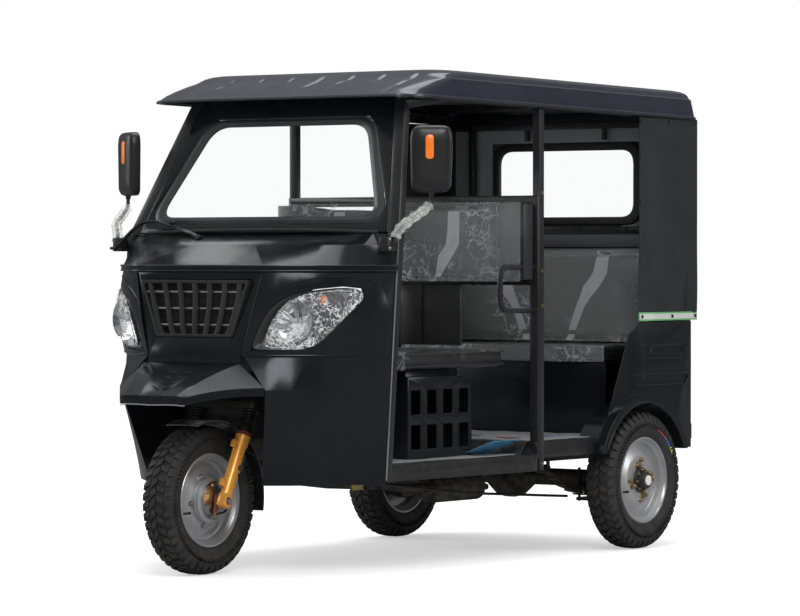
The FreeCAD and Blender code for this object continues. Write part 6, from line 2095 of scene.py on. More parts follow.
    def trims(self) -> None:
        """Makes the double trim over the nose."""
        shop = self.shop
        lines = {"upper": (1.1275, 0.0035), "lower": (1.1093, 0.0030)}
        for name, (z, radius) in lines.items():
            marks = []
            for k in range(-16, 17):
                angle = k / 16
                aim = Vector((-math.sin(angle * 1.25), math.cos(angle * 1.25), 0))
                start = Vector((0, -0.55, z)) - aim * 1.5
                marks.append(shop.onto("scuttle", start, aim, 0.0004)[0])
            shop.swept("trim_bead_" + name, [smooth_line(marks, 3)], BLACK_METAL, radius, 10)


@dataclass
class Screens:
    """The windscreen with its rubber, the wiper, the rear window and both mirrors.

    Attributes:
        shop: Where the pieces are made.
        lean: How far the screen leans back.
        foot: The middle of the glass's lower edge.
    """

    shop: Shop
    lean: float = math.radians(23.9)
    foot: Point = (0.0, -0.7273, 1.2742)

    def on_screen(self, x: float, along: float, off: float = 0.0) -> Vector:
        """Gives a point on the screen's face.

        Args:
            x: The distance from the middle.
            along: How far up the slope from the glass's foot.
            off: How far it stands off to the front.

        Returns:
            The point.
        """
        _, y, z = self.foot
        sin, cos = math.sin(self.lean), math.cos(self.lean)
        return Vector((x, y + along * sin - off * cos, z + along * cos + off * sin))

    def build(self) -> None:
        """Makes every piece."""
        shop = self.shop
        for node in ("windscreen_glass", "rear_window"):
            shop.recast(node, CLEAR_GLASS, 0.0, sharp=4)
        shop.recast("windscreen_frame", BODY_PAINT, 0.003)
        self.rubber()
        self.wiper()
        for side, sign in SIDES:
            self.mirror(side, sign)

    def rubber(self) -> None:
        """Makes the grey rubber round the glass and the thick black band along its foot."""
        shop = self.shop
        low, high, top = 0.560, 0.396, 0.440
        outline = round_corners([(-low, 0.004), (low, 0.004), (high, top), (-high, top)], 0.085, 8)
        inner = round_corners([(-low + 0.054, 0.034), (low - 0.054, 0.034), (high - 0.040, top - 0.030),
                               (-high + 0.040, top - 0.030)], 0.070, 8)
        middle = [((a + c) / 2, (b + d) / 2) for (a, b), (c, d) in zip(outline, inner)]
        bm = bmesh.new()
        loops = [[self.on_screen(x, v, off) for x, v in points]
                 for points, off in ((outline, 0.002), (outline, 0.008), (middle, 0.015), (inner, 0.009),
                                     (inner, 0.002))]
        skin_rings(bm, loops, loop=True)
        shop.piece("screen_rubber", bm, SCREEN_RUBBER, bevel=0.0012)
        lines = [[self.on_screen(x, -0.020 - 0.012 * (x / 0.54) ** 2, 0.008)
                  for x in (k / 20 * 1.08 - 0.54 for k in range(21))]]
        shop.swept("screen_foot_band", lines, SOFT_RUBBER, 0.0085, 12)

    def wiper(self) -> None:
        """Makes the wiper: its pivot, arm, hinge and rubber blade."""
        shop = self.shop
        pivot = shop.onto("scuttle", (-0.226, -0.84, 1.6), (0, 0, -1), 0.006)[0]
        elbow = Vector((-0.330, -0.785, 1.256))
        hold = Vector((-0.470, -0.776, 1.291))
        blade = [Vector((-0.400, -0.772, 1.286)), Vector((-0.545, -0.784, 1.288)),
                 Vector((-0.618, -0.864, 1.188))]
        bm = fresh(add_tube, [pivot + Vector((0, 0.016, -0.006)), pivot + Vector((0, -0.006, 0.003))],
                         [0.013, 0.010], 16)
        add_tube(bm, smooth_line([pivot, elbow, hold], 6), [0.0070] * 7 + [0.0055] * 6, 8)
        add_tube(bm, smooth_line(blade, 8), 0.0042, 8)
        for share in (0.0, 0.5, 1.0):
            spot = blade[0].lerp(blade[2], share)
            add_tube(bm, [spot + Vector((-0.012, -0.002, 0.004)), spot + Vector((0.012, -0.002, 0.004))],
                     0.0058, 8)
        shop.piece("wiper_arm", bm, BLACK_METAL)
        bm = bmesh.new()
        edge = smooth_line([p + Vector((0, 0.006, -0.003)) for p in blade], 8)
        skin_rings(bm, [[p + Vector((0, 0.006, -0.0025)), p + Vector((0, -0.004, 0.0)),
                         p + Vector((0, -0.004, 0.003)), p + Vector((0, 0.006, 0.0))] for p in edge])
        shop.piece("wiper_rubber", bm, SOFT_RUBBER)

    def mirror(self, side: str, sign: int) -> None:
        """Makes a mirror: its shell, glass, orange reflector, stem, wrapped arm and foot.

        Args:
            side: Left or right.
            sign: +1 for the left, -1 for the right.
        """
        shop = self.shop
        centre = Vector((sign * 0.713, -0.661, 1.5153))
        turn = Matrix.Translation(centre) @ Matrix.Rotation(sign * math.radians(30), 4, "Z")
        outline = [(-0.074, -0.108), (-0.055, -0.1215), (0.050, -0.1215), (0.070, -0.106),
                   (0.0785, 0.085), (0.066, 0.116), (0.044, 0.1230), (-0.052, 0.1230),
                   (-0.071, 0.112), (-0.0785, 0.080)]
        if sign < 0:
            outline = [(-x, z) for x, z in outline[::-1]]
        flat = round_corners(outline, 0.030, 4)

        def ring(share: float, y: float) -> list[Vector]:
            """Gives the outline at a share of its size and a depth."""
            return [turn @ Vector((x * share, y, z * (1 - (1 - share) * 0.65))) for x, z in flat]

        bm = bmesh.new()
        skin_rings(bm, [ring(0.93, 0.0215), ring(0.955, 0.0230), ring(0.99, 0.0215), ring(1.0, 0.014),
                        ring(0.995, 0.000), ring(0.955, -0.0105), ring(0.87, -0.0165),
                        ring(0.70, -0.0205), ring(0.40, -0.0225), ring(0.05, -0.0228)])
        shop.piece("mirror_shell_" + side, bm, SATIN_PLASTIC, replaces=("mirror_" + side,), sharp=50)
        bm = fresh(skin_rings, [ring(0.92, 0.0212), ring(0.92, 0.0222)])
        shop.piece("mirror_pane_" + side, bm, MIRROR_GLASS, sharp=30)
        bm = bmesh.new()
        pill = framed((-0.0150, 0.0), (0.0150, 0.088), 0.0149, 6)
        spots = [[turn @ Vector((x * share - sign * 0.004, y, 0.044 + (z - 0.044) * share))
                  for x, z in pill] for share, y in ((1.0, -0.018), (1.0, -0.0232), (0.86, -0.0252),
                                                    (0.4, -0.0258))]
        skin_rings(bm, spots)
        shop.piece("mirror_reflector_" + side, bm, ORANGE_LENS, sharp=40)
        stem = centre + Vector((0, 0, -0.118))
        foot = shop.onto("scuttle", (sign * 2.0, -0.806, 1.2053), (-sign, 0, 0), 0.014)[0]
        line = smooth_line([foot, foot + Vector((sign * 0.010, 0.014, 0.044)),
                            (sign * 0.682, -0.768, 1.286), (sign * 0.700, -0.712, 1.318),
                            (sign * 0.7105, -0.668, 1.352), stem], 6)
        bm = fresh(add_tube, line, 0.0072, 14)
        add_tube(bm, [stem + Vector((0, 0, -0.016)), stem + Vector((0, 0, 0.006))], [0.009, 0.013], 16)
        shop.piece("mirror_stem_" + side, bm, BLACK_METAL)
        self.sleeve(side, line[3:24])
        self.foot_bracket(side, sign, foot)

    def sleeve(self, side: str, line: Sequence[Vector]) -> None:
        """Makes the crumpled clear film round a mirror's arm.

        Args:
            side: Left or right.
            line: The arm's centre line where it is wrapped.
        """
        rng = random.Random(11)
        spots = smooth_line(line, 3)
        rings = []
        side_way = Vector((0.3, 0.9, -0.2)).normalized()
        for index, spot in enumerate(spots):
            ahead = (spots[min(index + 1, len(spots) - 1)] - spots[max(index - 1, 0)]).normalized()
            across = (side_way - ahead * side_way.dot(ahead)).normalized()
            up = ahead.cross(across)
            swell = 0.0200 + 0.003 * math.sin(index * 0.55)
            rings.append([spot + (across * math.cos(a) * 0.8 + up * math.sin(a) * 1.1)
                          * (swell + rng.uniform(-0.0026, 0.0026))
                          for a in round_steps(18)])
        bm = fresh(skin_rings, rings, caps=False)
        self.shop.piece("mirror_sleeve_" + side, bm, MIRROR_FILM, sharp=18)

    def foot_bracket(self, side: str, sign: int, foot: Vector) -> None:
        """Makes the plate and bolts that hold a mirror's arm to the scuttle.

        Args:
            side: Left or right.
            sign: +1 for the left, -1 for the right.
            foot: Where the arm starts.
        """
        bm = bmesh.new()
        face = foot.x - sign * 0.0025
        low, high = sorted((face - sign * 0.040, face))
        add_block(bm, (low, foot.y - 0.032, 1.180), (high, foot.y + 0.028, 1.232))
        self.shop.piece("mirror_foot_" + side, bm, SATIN_PLASTIC, bevel=0.004)
        bolt = fresh(add_turned, [(0.0, 0.0005), (0.0, 0.0085), (0.0015, 0.0085), (0.0015, 0.0062),
                                  (0.0055, 0.0062), (0.0065, 0.0045), (0.0065, 0.0005)], segments=6)
        places = [((face, foot.y + y, z), faced(sign))
                  for y, z in ((-0.022, 1.222), (0.018, 1.222), (-0.022, 1.190))]
        self.shop.fixings("mirror_bolts_" + side, bolt, BRIGHT_METAL, places)


@dataclass
class Cushion:
    """One padded piece: a soft block with a welt, pressed stripes and clear film.

    Attributes:
        node: The model's node that it stands for.
        low: Its lowest corner.
        high: Its highest corner.
        face: The axis that the sitter touches, 1 for the front and 2 for the top.
        swell: How far its middle rises; not used.
        stripe: Rows of its angled stripe, as height and two distances from the middle.
    """

    node: str
    low: Point
    high: Point
    face: int
    swell: float
    stripe: tuple[tuple[float, float, float], ...] = ()


@dataclass
class Seats:
    """The driver's and the passengers' seats in black leatherette under clear film.

    Attributes:
        shop: Where the pieces are made.
        cushions: The four cushions.
        trim_past: How far the driver's backrest film runs past each end of its pad.
        voxel: The pads' face size.
        pressure: The force that blows a pad up.
        stretch: The hide's resistance to stretching.
        bend: Its resistance to bending.
        settling: How many frames the solver runs.
        margin: How far a pad keeps from the bounds of its place.
    """

    shop: Shop
    cushions: tuple[Cushion, ...] = (
        Cushion("driver_cushion", (-0.497, -0.517, 0.738), (0.497, 0.142, 0.807), 2, 0.010),
        Cushion("driver_backrest", (-0.477, 0.1120, 1.065), (0.477, 0.1605, 1.369), 1, 0.010,
                ((1.335, 0.248, 0.300), (1.270, 0.245, 0.300), (1.208, 0.238, 0.298),
                 (1.165, 0.202, 0.270), (1.120, 0.194, 0.236), (1.083, 0.186, 0.210))),
        Cushion("bench_cushion", (-0.497, 0.839, 0.741), (0.497, 1.270, 0.807), 2, 0.010),
        Cushion("bench_backrest", (-0.497, 1.182, 0.814), (0.497, 1.270, 1.187), 1, 0.010,
                ((1.184, 0.243, 0.298), (1.130, 0.232, 0.295), (1.093, 0.222, 0.290),
                 (1.035, 0.172, 0.250), (1.000, 0.160, 0.214), (0.955, 0.138, 0.179),
                 (0.818, 0.088, 0.120))))
    trim_past: float = 0.110
    voxel: float = 0.0085
    quick_voxel: float = 0.012
    pressure: float = 4.0
    stretch: float = 22.0
    bend: float = 1.2
    settling: int = 12
    margin: float = 0.0016

    def build(self) -> None:
        """Makes every cushion."""
        for cushion in self.cushions:
            self.pad(cushion)

    def pad(self, cushion: Cushion) -> None:
        """Makes one cushion with its welts, stripes and film.

        Args:
            cushion: What it is made to.
        """
        shop = self.shop
        low, high = Vector(cushion.low), Vector(cushion.high)
        mesh = shop.mesh(cushion.node + "_pad", self.block(low, high))
        obj = shop.object(cushion.node + "_soft", mesh)
        self.press(obj, low, high)
        worked = obj.data
        bpy.data.objects.remove(obj)
        pad = shop.piece(cushion.node + "_pad", worked, HIDE, replaces=(cushion.node,), sharp=60)
        self.welts(cushion, low, high)
        if cushion.stripe:
            self.stripes(cushion, pad)
        self.film(cushion, low, high)

    @staticmethod
    def block(low: Vector, high: Vector) -> bmesh.types.BMesh:
        """Makes a cushion's unpressed shape, a little smaller than its place.

        Args:
            low: The lowest corner.
            high: The highest corner.

        Returns:
            The shape.
        """
        gap = Vector((0.004, 0.004, 0.004))
        bm = fresh(add_block, low + gap, high - gap)
        bmesh.ops.subdivide_edges(bm, edges=bm.edges, cuts=1, use_grid_fill=True)
        bmesh.ops.bevel(bm, geom=[e for e in bm.edges if e.calc_face_angle(0.0) > 0.5], offset=0.016,
                        segments=3, affect="EDGES", profile=0.6)
        return bm

    def press(self, obj: bpy.types.Object, low: Vector, high: Vector) -> None:
        """Blows the cushion up a little with the cloth solver, held inside its place.

        Args:
            obj: The cushion.
            low: The lowest corner of its place.
            high: The highest corner of its place.
        """
        remesh = obj.modifiers.new("even_faces", "REMESH")
        remesh.mode, remesh.voxel_size = "VOXEL", self.voxel
        self.shop.bake(obj)
        cloth = obj.modifiers.new("cloth", "CLOTH")
        hide = cloth.settings
        hide.use_pressure = True
        hide.uniform_pressure_force = self.pressure
        hide.effector_weights.gravity = 0.0
        hide.quality = 4
        hide.tension_stiffness = hide.compression_stiffness = self.stretch
        hide.bending_stiffness = self.bend
        scene = bpy.context.scene
        for frame in range(1, self.settling + 1):
            scene.frame_set(frame)
        self.shop.bake(obj)
        scene.frame_set(1)
        for vertex in obj.data.vertices:
            for axis in range(3):
                inside = min(max(vertex.co[axis], low[axis] + self.margin), high[axis] - self.margin)
                vertex.co[axis] = vertex.co[axis] * 0.1 + inside * 0.9
                vertex.co[axis] = min(max(vertex.co[axis], low[axis]), high[axis])
        soft = obj.modifiers.new("soft", "SMOOTH")
        soft.factor, soft.iterations = 0.5, 6
        self.shop.bake(obj)

    def welts(self, cushion: Cushion, low: Vector, high: Vector) -> None:
        """Makes the piped welts along a cushion's touched edges.

        Args:
            cushion: What it is made to.
            low: The lowest corner.
            high: The highest corner.
        """
        shop = self.shop
        lines = []
        if cushion.face == 2:
            for z in (low.z + 0.012, high.z - 0.010):
                loop = framed((low.x + 0.003, low.y + 0.003), (high.x - 0.003, high.y - 0.003), 0.02, 4)
                lines.append([Vector((x, y, z)) for x, y in loop])
        else:
            loop = framed((low.x + 0.006, low.z + 0.006), (high.x - 0.006, high.z - 0.006), 0.025, 5)
            lines.append([Vector((x, low.y + 0.007, z)) for x, z in loop])
        shop.swept(cushion.node + "_welt", lines, HIDE, 0.0030, closed=True)

    def stripes(self, cushion: Cushion, pad: bpy.types.Object) -> None:
        """Lays the grey angled stripes on a backrest's front.

        Args:
            cushion: What it is made to.
            pad: The finished cushion.
        """
        shop = self.shop
        bm = bmesh.new()
        bm.from_mesh(pad.data)
        tree = BVHTree.FromBMesh(bm)
        bm.free()
        bm = bmesh.new()
        rows = [Vector(row) for row in cushion.stripe]
        fine = [start.lerp(end, k / 6) for start, end in zip(rows, rows[1:]) for k in range(6)]
        fine.append(rows[-1])
        for sign in (-1, 1):
            grid = []
            for z, near, far in fine:
                line = []
                for k in range(7):
                    x = sign * (near + (far - near) * k / 6)
                    spot, _, _, _ = tree.ray_cast(Vector((x, -3.0, z)), Vector((0, 1, 0)))
                    line.append(Vector((x, (spot.y if spot else cushion.low[1]) - 0.0011, z)))
                grid.append(line + [p + Vector((0, 0.0016, 0)) for p in line[::-1]])
            skin_rings(bm, grid)
        shop.piece(cushion.node + "_stripes", bm, STRIPE_HIDE, sharp=60)

    def film(self, cushion: Cushion, low: Vector, high: Vector) -> None:
        """Makes the loose clear film over a cushion's touched side.

        Args:
            cushion: What it is made to.
            low: The lowest corner.
            high: The highest corner.
        """
        rng = random.Random(len(cushion.node))
        past = self.trim_past if cushion.node == "driver_backrest" else 0.0
        bm = bmesh.new()
        across, along = 46, 16
        phase = [rng.uniform(0, 6.3) for _ in range(6)]
        rows = []
        for j in range(along + 1):
            row = []
            for i in range(across + 1):
                u, v = i / across, j / along
                crease = 0.0014 * math.sin(9 * u * 6.28 + phase[0] + 4 * v) \
                    + 0.0012 * math.sin(17 * u * 6.28 - 9 * v + phase[1]) \
                    + 0.0010 * math.sin(13 * v * 6.28 + 5 * u + phase[2])
                lift = 0.0022 + crease * 0.5 + rng.uniform(-0.0004, 0.0004)
                x = low.x + 0.002 - past + (high.x - low.x - 0.004 + 2 * past) * u
                if cushion.face == 2:
                    if v < 0.2:
                        point = Vector((x, low.y - lift * 0.4, low.z + (high.z - low.z) * v / 0.2))
                    else:
                        point = Vector((x, low.y + (high.y - low.y) * (v - 0.2) / 0.8, high.z + lift * 0.5))
                else:
                    point = Vector((x, low.y - lift * 0.9, low.z + (high.z - low.z) * v))
                row.append(bm.verts.new(point))
            rows.append(row)
        for near, far in zip(rows, rows[1:]):
            for i in range(across):
                bm.faces.new((near[i], near[i + 1], far[i + 1], far[i]))
        film = self.shop.piece(cushion.node + "_film", bm, SEAT_FILM, sharp=180, weld=False)


@dataclass
class Cabin:
    """What stands between the seats: the partition, the floor mat and the driver's controls.

    Attributes:
        shop: Where the pieces are made.
        post_front: The slim centre post's front face.
        post_wide: The slim post's width.
        shift: How far the partition is moved back and out.
    """

    shop: Shop
    post_front: float = 0.2180
    post_wide: float = 0.0310
    shift: float = 0.0450

    def build(self) -> None:
        """Makes every piece."""
        shop = self.shop
        shop.recast("partition_frame", BLACK_METAL, 0.003, change=self.set_back)
        for node, finish, bevel in (("driver_seat_base", BODY_PAINT, 0.003),
                                    ("bench_base", BODY_PAINT, 0.003),
                                    ("floor_pan", CHASSIS_PAINT, 0.001),
                                    ("dashboard", SATIN_PLASTIC, 0.006)):
            shop.recast(node, finish, bevel)
        for side, sign in SIDES:
            shop.recast("side_frame_" + side, BLACK_METAL, 0.003,
                        change=lambda bm, sign=sign: self.slim_post(bm, sign))
        self.back_board()
        self.mat()
        self.sill_strips()
        self.gauge()
        self.frame_bolts()

    def set_back(self, bm: bmesh.types.BMesh) -> None:
        """Moves the partition back and out to the posts that carry it.

        Args:
            bm: The partition's shape.
        """
        for vert in bm.verts:
            vert.co.y += self.shift
            if abs(vert.co.x) > 0.30:
                vert.co.x += math.copysign(self.shift, vert.co.x)

    def slim_post(self, bm: bmesh.types.BMesh, sign: int) -> None:
        """Swaps a frame's centre post for the slimmer tube that the vehicle has.

        Args:
            bm: The frame's shape.
            sign: +1 for the left, -1 for the right.
        """
        front, back, low, high = 0.1600, 0.2050, 0.4020, 1.7300
        for spot, out in (((0, front - 2e-4, 0), (0, 1, 0)), ((0, back + 2e-4, 0), (0, 1, 0)),
                          ((0, 0, low), (0, 0, 1)), ((0, 0, high), (0, 0, 1))):
            bmesh.ops.bisect_plane(bm, geom=bm.verts[:] + bm.edges[:] + bm.faces[:], plane_co=spot,
                                   plane_no=out)
        gone = []
        for face in bm.faces:
            middle = face.calc_center_median()
            if low < middle.z < high and front - 2e-4 < middle.y < back + 2e-4:
                gone.append(face)
        bmesh.ops.delete(bm, geom=gone, context="FACES")
        for vert in bm.verts:
            if abs(vert.co.y - front + 2e-4) < 1e-4 and 0.93 < vert.co.z < 1.15:
                vert.co.y = self.post_front + 0.004
        bmesh.ops.holes_fill(bm, edges=bm.edges[:], sides=0)
        inner, outer = on_side(sign, SIDE_FACE_X - self.post_wide, SIDE_FACE_X)
        add_block(bm, (inner, self.post_front, 0.3400), (outer, self.post_front + self.post_wide, 1.7450))
        bmesh.ops.recalc_face_normals(bm, faces=bm.faces[:])

    def back_board(self) -> None:
        """Makes the board behind the driver, its middle rib and the padded side trims."""
        shop = self.shop
        bm = fresh(add_block, (-0.230, 0.2195, 0.815), (0.230, 0.2355, 1.055))
        add_block(bm, (-0.050, 0.2115, 0.815), (0.050, 0.2215, 1.060))
        for sign in (-1, 1):
            near, far = on_side(sign, 0.474, 0.590)
            add_block(bm, (near, 0.1260, 1.072), (far, 0.1900, 1.362))
        shop.piece("partition_board", bm, HIDE, bevel=0.004)

    def mat(self) -> None:
        """Makes the pale floor mats with their printed patches and the curled corner."""
        shop = self.shop
        for name, y0, y1, top in (("front_mat", -0.690, 0.135, 0.4035), ("rear_mat", 0.235, 0.840, 0.4535)):
            bm = bmesh.new()
            rows = []
            for j in range(13):
                y = y0 + (y1 - y0) * j / 12
                reach = 0.512 + 0.034 * max(0.0, min(1.0, (y + 0.75) / 0.9))
                row = []
                for i in range(25):
                    x = -reach + 2 * reach * i / 24
                    wave = 0.0012 * math.sin(i * 1.7 + j) + 0.0010 * math.sin(j * 2.3)
                    row.append(Vector((x, y, top + wave)))
                rows.append(row)
            skin_rings(bm, slab(rows, (0, 0, -0.0025)))
            mat = shop.piece(name, bm, FLOOR_SHEET, sharp=60)
        bm = bmesh.new()
        rows = []
        for j in range(15):
            t = j / 14
            angle = t * 2.4
            rows.append([Vector((0.40 + 0.150 * t + 0.004 * math.sin(i), -0.080 + 0.20 * i / 10 + 0.05 * t,
                                 0.4075 + 0.030 * (1 - math.cos(angle)) + 0.003 * math.sin(i * 2.0)))
                         for i in range(11)])
        skin_rings(bm, slab(rows, (0, 0, -0.0015)))
        curl = shop.piece("mat_curl", bm, BLUE_PATCH, sharp=60)
        patches = ((RED_PATCH, "red", ((0.20, 0.05, 0.13, 0.03), (-0.10, -0.28, 0.20, 0.02),
                                       (0.36, 0.36, 0.10, 0.03))),
                   (BLUE_PATCH, "blue", ((0.30, -0.22, 0.16, 0.05), (0.05, 0.48, 0.18, 0.04),
                                         (0.38, 0.56, 0.10, 0.05))))
        for finish, name, places in patches:
            bm = bmesh.new()
            for x, y, wide, deep in places:
                top = 0.4065 if y < 0.2 else 0.4565
                add_block(bm, (x - wide / 2, y - deep / 2, top - 0.001), (x + wide / 2, y + deep / 2, top))
            shop.piece("mat_print_" + name, bm, finish)

    def sill_strips(self) -> None:
        """Makes the bright tread strips along both sills."""
        bm = bmesh.new()
        for sign in (-1, 1):
            for y0, x0, y1, x1 in ((-0.690, 0.552, 0.140, 0.585), (0.235, 0.585, 0.590, 0.585)):
                low = 0.4005 if y0 < 0 else 0.4505
                line = [Vector((sign * x0, y0, low)), Vector((sign * x1, y1, low))]
                skin_rings(bm, [[p + Vector((-0.009, 0, 0)), p + Vector((0.009, 0, 0)),
                                 p + Vector((0.006, 0, 0.003)), p + Vector((-0.006, 0, 0.003))]
                                for p in line])
        self.shop.piece("sill_strips", bm, SOFT_RUBBER, bevel=0.0008)

    def gauge(self) -> None:
        """Makes the round gauge, its bezel and the switches on the dashboard."""
        shop = self.shop
        tilted = Matrix.Translation((0.0, -0.672, 1.185)) @ Matrix.Rotation(math.radians(-20), 4, "X")
        for name, finish, profile in (
                ("gauge_body", SATIN_PLASTIC, (
                    (-0.012, 0.001), (-0.012, 0.050), (0.004, 0.050), (0.010, 0.046),
                    (0.010, 0.041), (0.004, 0.040), (0.004, 0.001))),
                ("gauge_dial", PLATE_WHITE, (
                    (0.003, 0.001), (0.003, 0.040), (0.0055, 0.040), (0.0055, 0.001)))):
            shop.piece(name, fresh(add_turned, profile, axis="Y"), finish, move=tilted)
        bm = bmesh.new()
        for k in range(5):
            x = 0.16 + 0.055 * k
            add_block(bm, (x, -0.664, 1.150), (x + 0.030, -0.652, 1.172))
        shop.piece("dash_switches", bm, SOFT_RUBBER, bevel=0.003)

    def frame_bolts(self) -> None:
        """Makes the bolts on the side frames."""
        shop = self.shop
        bolt = fresh(add_turned, [(0.0, 0.0005), (0.0, 0.0095), (0.0016, 0.0095), (0.0016, 0.0070),
                                  (0.0060, 0.0070), (0.0072, 0.0052), (0.0072, 0.0005)], segments=6)
        places = [((sign * SIDE_FACE_X, self.post_front + self.post_wide / 2, z), faced(sign))
                  for sign in (-1, 1) for z in (0.362, 0.970, 1.105, 1.405)]
        shop.fixings("frame_bolts", bolt, YELLOW_ZINC, places, 0.9)


@dataclass
class Tail:
    """The back: the wall with its window and lining, the curtains, lamps, bumper and flanks.

    Attributes:
        shop: Where the pieces are made.
        wall: The wall's middle plane.
        arch: The wheel arch's radius.
        cloth_x: How far out a curtain hangs.
        fold: How deep its folds are.
        cloth_front: Its front edge.
        cloth_back: Its back edge.
    """

    shop: Shop
    wall: float = 1.3255
    arch: float = 0.3100
    cloth_x: float = 0.6030
    fold: float = 0.0032
    cloth_front: float = 0.932
    cloth_back: float = 1.372

    def build(self) -> None:
        """Makes every piece."""
        shop = self.shop
        for side, _ in SIDES:
            shop.recast("quarter_panel_" + side, BODY_PAINT, 0.0012, sharp=26, join=0.2)
        shop.recast("rear_wall", BODY_PAINT, 0.001)
        shop.recast("rear_bumper", BLACK_METAL, 0.004)
        self.window()
        self.lining()
        for side, sign in SIDES:
            self.curtain(side, sign)
            self.lamp(side, sign)
            self.flank(side, sign)
        self.plate()

    def window(self) -> None:
        """Makes the thick black frame round the rear window."""
        half, low, high = 0.340, 1.316, 1.606
        outer = framed((-half - 0.024, low - 0.024), (half + 0.024, high + 0.024), 0.075, 7)
        inner = framed((-half + 0.008, low + 0.008), (half - 0.008, high - 0.008), 0.060, 7)
        bm = bmesh.new()
        loops = [[Vector((x, y, z)) for x, z in points]
                 for points, y in ((outer, self.wall - 0.012), (outer, self.wall + 0.007),
                                   (inner, self.wall + 0.009), (inner, self.wall - 0.014))]
        skin_rings(bm, loops, loop=True)
        self.shop.piece("rear_window_rubber", bm, SOFT_RUBBER, bevel=0.003)

    def lining(self) -> None:
        """Makes the grey cloth, the panel and the black bars inside the back."""
        shop = self.shop
        y = 1.3180
        bm = bmesh.new()
        for x0, x1, z0, z1 in ((-0.590, -0.366, 1.262, 1.700), (0.366, 0.590, 1.262, 1.700),
                               (-0.366, 0.366, 1.632, 1.700), (-0.590, 0.590, 1.150, 1.196)):
            rows = []
            for j in range(9):
                z = z0 + (z1 - z0) * j / 8
                rows.append([Vector((x0 + (x1 - x0) * i / 10, y - 0.002 * math.sin(i * 1.9 + j) ** 2, z))
                             for i in range(11)])
            skin_rings(bm, slab(rows, (0, 0.003, 0)))
        lining = shop.piece("rear_lining", bm, GREY_CLOTH, sharp=50)
        bm = fresh(add_block, (-0.560, 1.300, 1.200), (0.560, 1.312, 1.258))
        shop.piece("rear_grey_panel", bm, GREY_PANEL, bevel=0.003)
        bm = bmesh.new()
        for z in (1.270, 1.700):
            add_block(bm, (-0.590, 1.286, z - 0.014), (0.590, 1.310, z + 0.014))
        for x in (-0.455, 0.455):
            add_block(bm, (x - 0.014, 1.286, 1.200), (x + 0.014, 1.310, 1.716))
        for x in (-0.18, 0.20):
            add_block(bm, (x - 0.010, 1.292, 1.640), (x + 0.010, 1.308, 1.712))
        shop.piece("rear_bars", bm, BLACK_METAL, bevel=0.003)

    def curtain(self, side: str, sign: int) -> None:
        """Makes a side curtain with its hem strip, snaps and creases.

        Args:
            side: Left or right.
            sign: +1 for the left, -1 for the right.
        """
        shop = self.shop
        y0, y1, low, high = self.cloth_front, self.cloth_back, 0.906, 1.716
        rows = []
        for j in range(29):
            v = j / 28
            row = []
            for i in range(25):
                u = i / 24
                fold = self.fold * math.sin(6.0 * u + 2.2 * v) * (1 - v) ** 2
                fold += 0.0022 * math.sin(15.0 * u - 7.0 * v) * math.exp(-((v - 0.18) / 0.16) ** 2)
                spread = 0.004 * (1 - v)
                row.append(Vector((sign * (self.cloth_x + fold), y0 - spread * 0.5 + (y1 - y0) * u,
                                   low + (high - low) * v)))
            rows.append(row)
        bm = fresh(skin_rings, slab(rows, (-sign * 0.0016, 0, 0)))
        cloth = shop.piece("curtain_" + side, bm, TARPAULIN, replaces=("side_curtain_" + side,), sharp=60)
        for name, finish, z0, z1, lift in (("green", GREEN_EDGE, 0.9040, 0.9380, 0.0012),
                                           ("pale", PALE_TAPE, 0.9100, 0.9320, 0.0020)):
            bm = bmesh.new()
            inset = 0.003 if name == "pale" else 0.0
            strips = []
            for i in range(25):
                u = i / 24
                fold = self.fold * math.sin(6.0 * u)
                y = y0 - 0.002 + inset + (y1 - y0 - 2 * inset) * u
                x = sign * (self.cloth_x + fold + lift)
                strips.append([Vector((x, y, z0)), Vector((x, y, z1)),
                               Vector((x - sign * 0.004, y, z1)), Vector((x - sign * 0.004, y, z0))])
            skin_rings(bm, strips)
            shop.piece("curtain_%s_strip_%s" % (name, side), bm, finish, sharp=50)
        snap = fresh(add_turned, [(0.0, 0.0005), (0.0, 0.0075), (0.0022, 0.0072), (0.0035, 0.0045),
                                  (0.0038, 0.0005)], segments=16)
        places = [((sign * 0.6065, y, z), faced(sign))
                  for y, z in ((0.948, 0.921), (1.175, 0.921), (1.352, 0.921), (1.160, 1.700),
                               (0.945, 1.700), (1.355, 1.700), (0.940, 1.560), (0.940, 1.380),
                               (0.940, 1.150))]
        shop.fixings("curtain_snaps_" + side, snap, BLACK_METAL, places)

    def lamp(self, side: str, sign: int) -> None:
        """Makes a tail lamp with its housing and its red and orange lenses.

        Args:
            side: Left or right.
            sign: +1 for the left, -1 for the right.
        """
        shop = self.shop
        x0, x1 = on_side(sign, 0.4985, 0.5875)
        middle = (x0 + x1) / 2
        outline = framed((x0, 0.6405), (x1, 0.7895), 0.014, 5)
        bm = bmesh.new()
        skin_rings(bm, [[Vector((middle + (x - middle) * s, y, 0.715 + (z - 0.715) * s))
                         for x, z in outline] for s, y in ((1.0, 1.3276), (1.0, 1.3480), (0.97, 1.3520))])
        shop.piece("tail_housing_" + side, bm, SATIN_PLASTIC, replaces=("tail_lamp_" + side,), sharp=40)
        for name, finish, z0, z1 in (("red", RED_LENS, 0.694, 0.784), ("orange", ORANGE_LENS, 0.646, 0.690)):
            flat = framed((x0 + 0.006, z0), (x1 - 0.006, z1), 0.009, 4)
            mid = (z0 + z1) / 2
            bm = bmesh.new()
            skin_rings(bm, [[Vector((middle + (x - middle) * s, y, mid + (z - mid) * s)) for x, z in flat]
                            for s, y in ((1.0, 1.3505), (1.0, 1.3590), (0.93, 1.3640), (0.6, 1.3668),
                                         (0.1, 1.3674))])
            shop.piece("tail_%s_lens_%s" % (name, side), bm, finish, sharp=45)

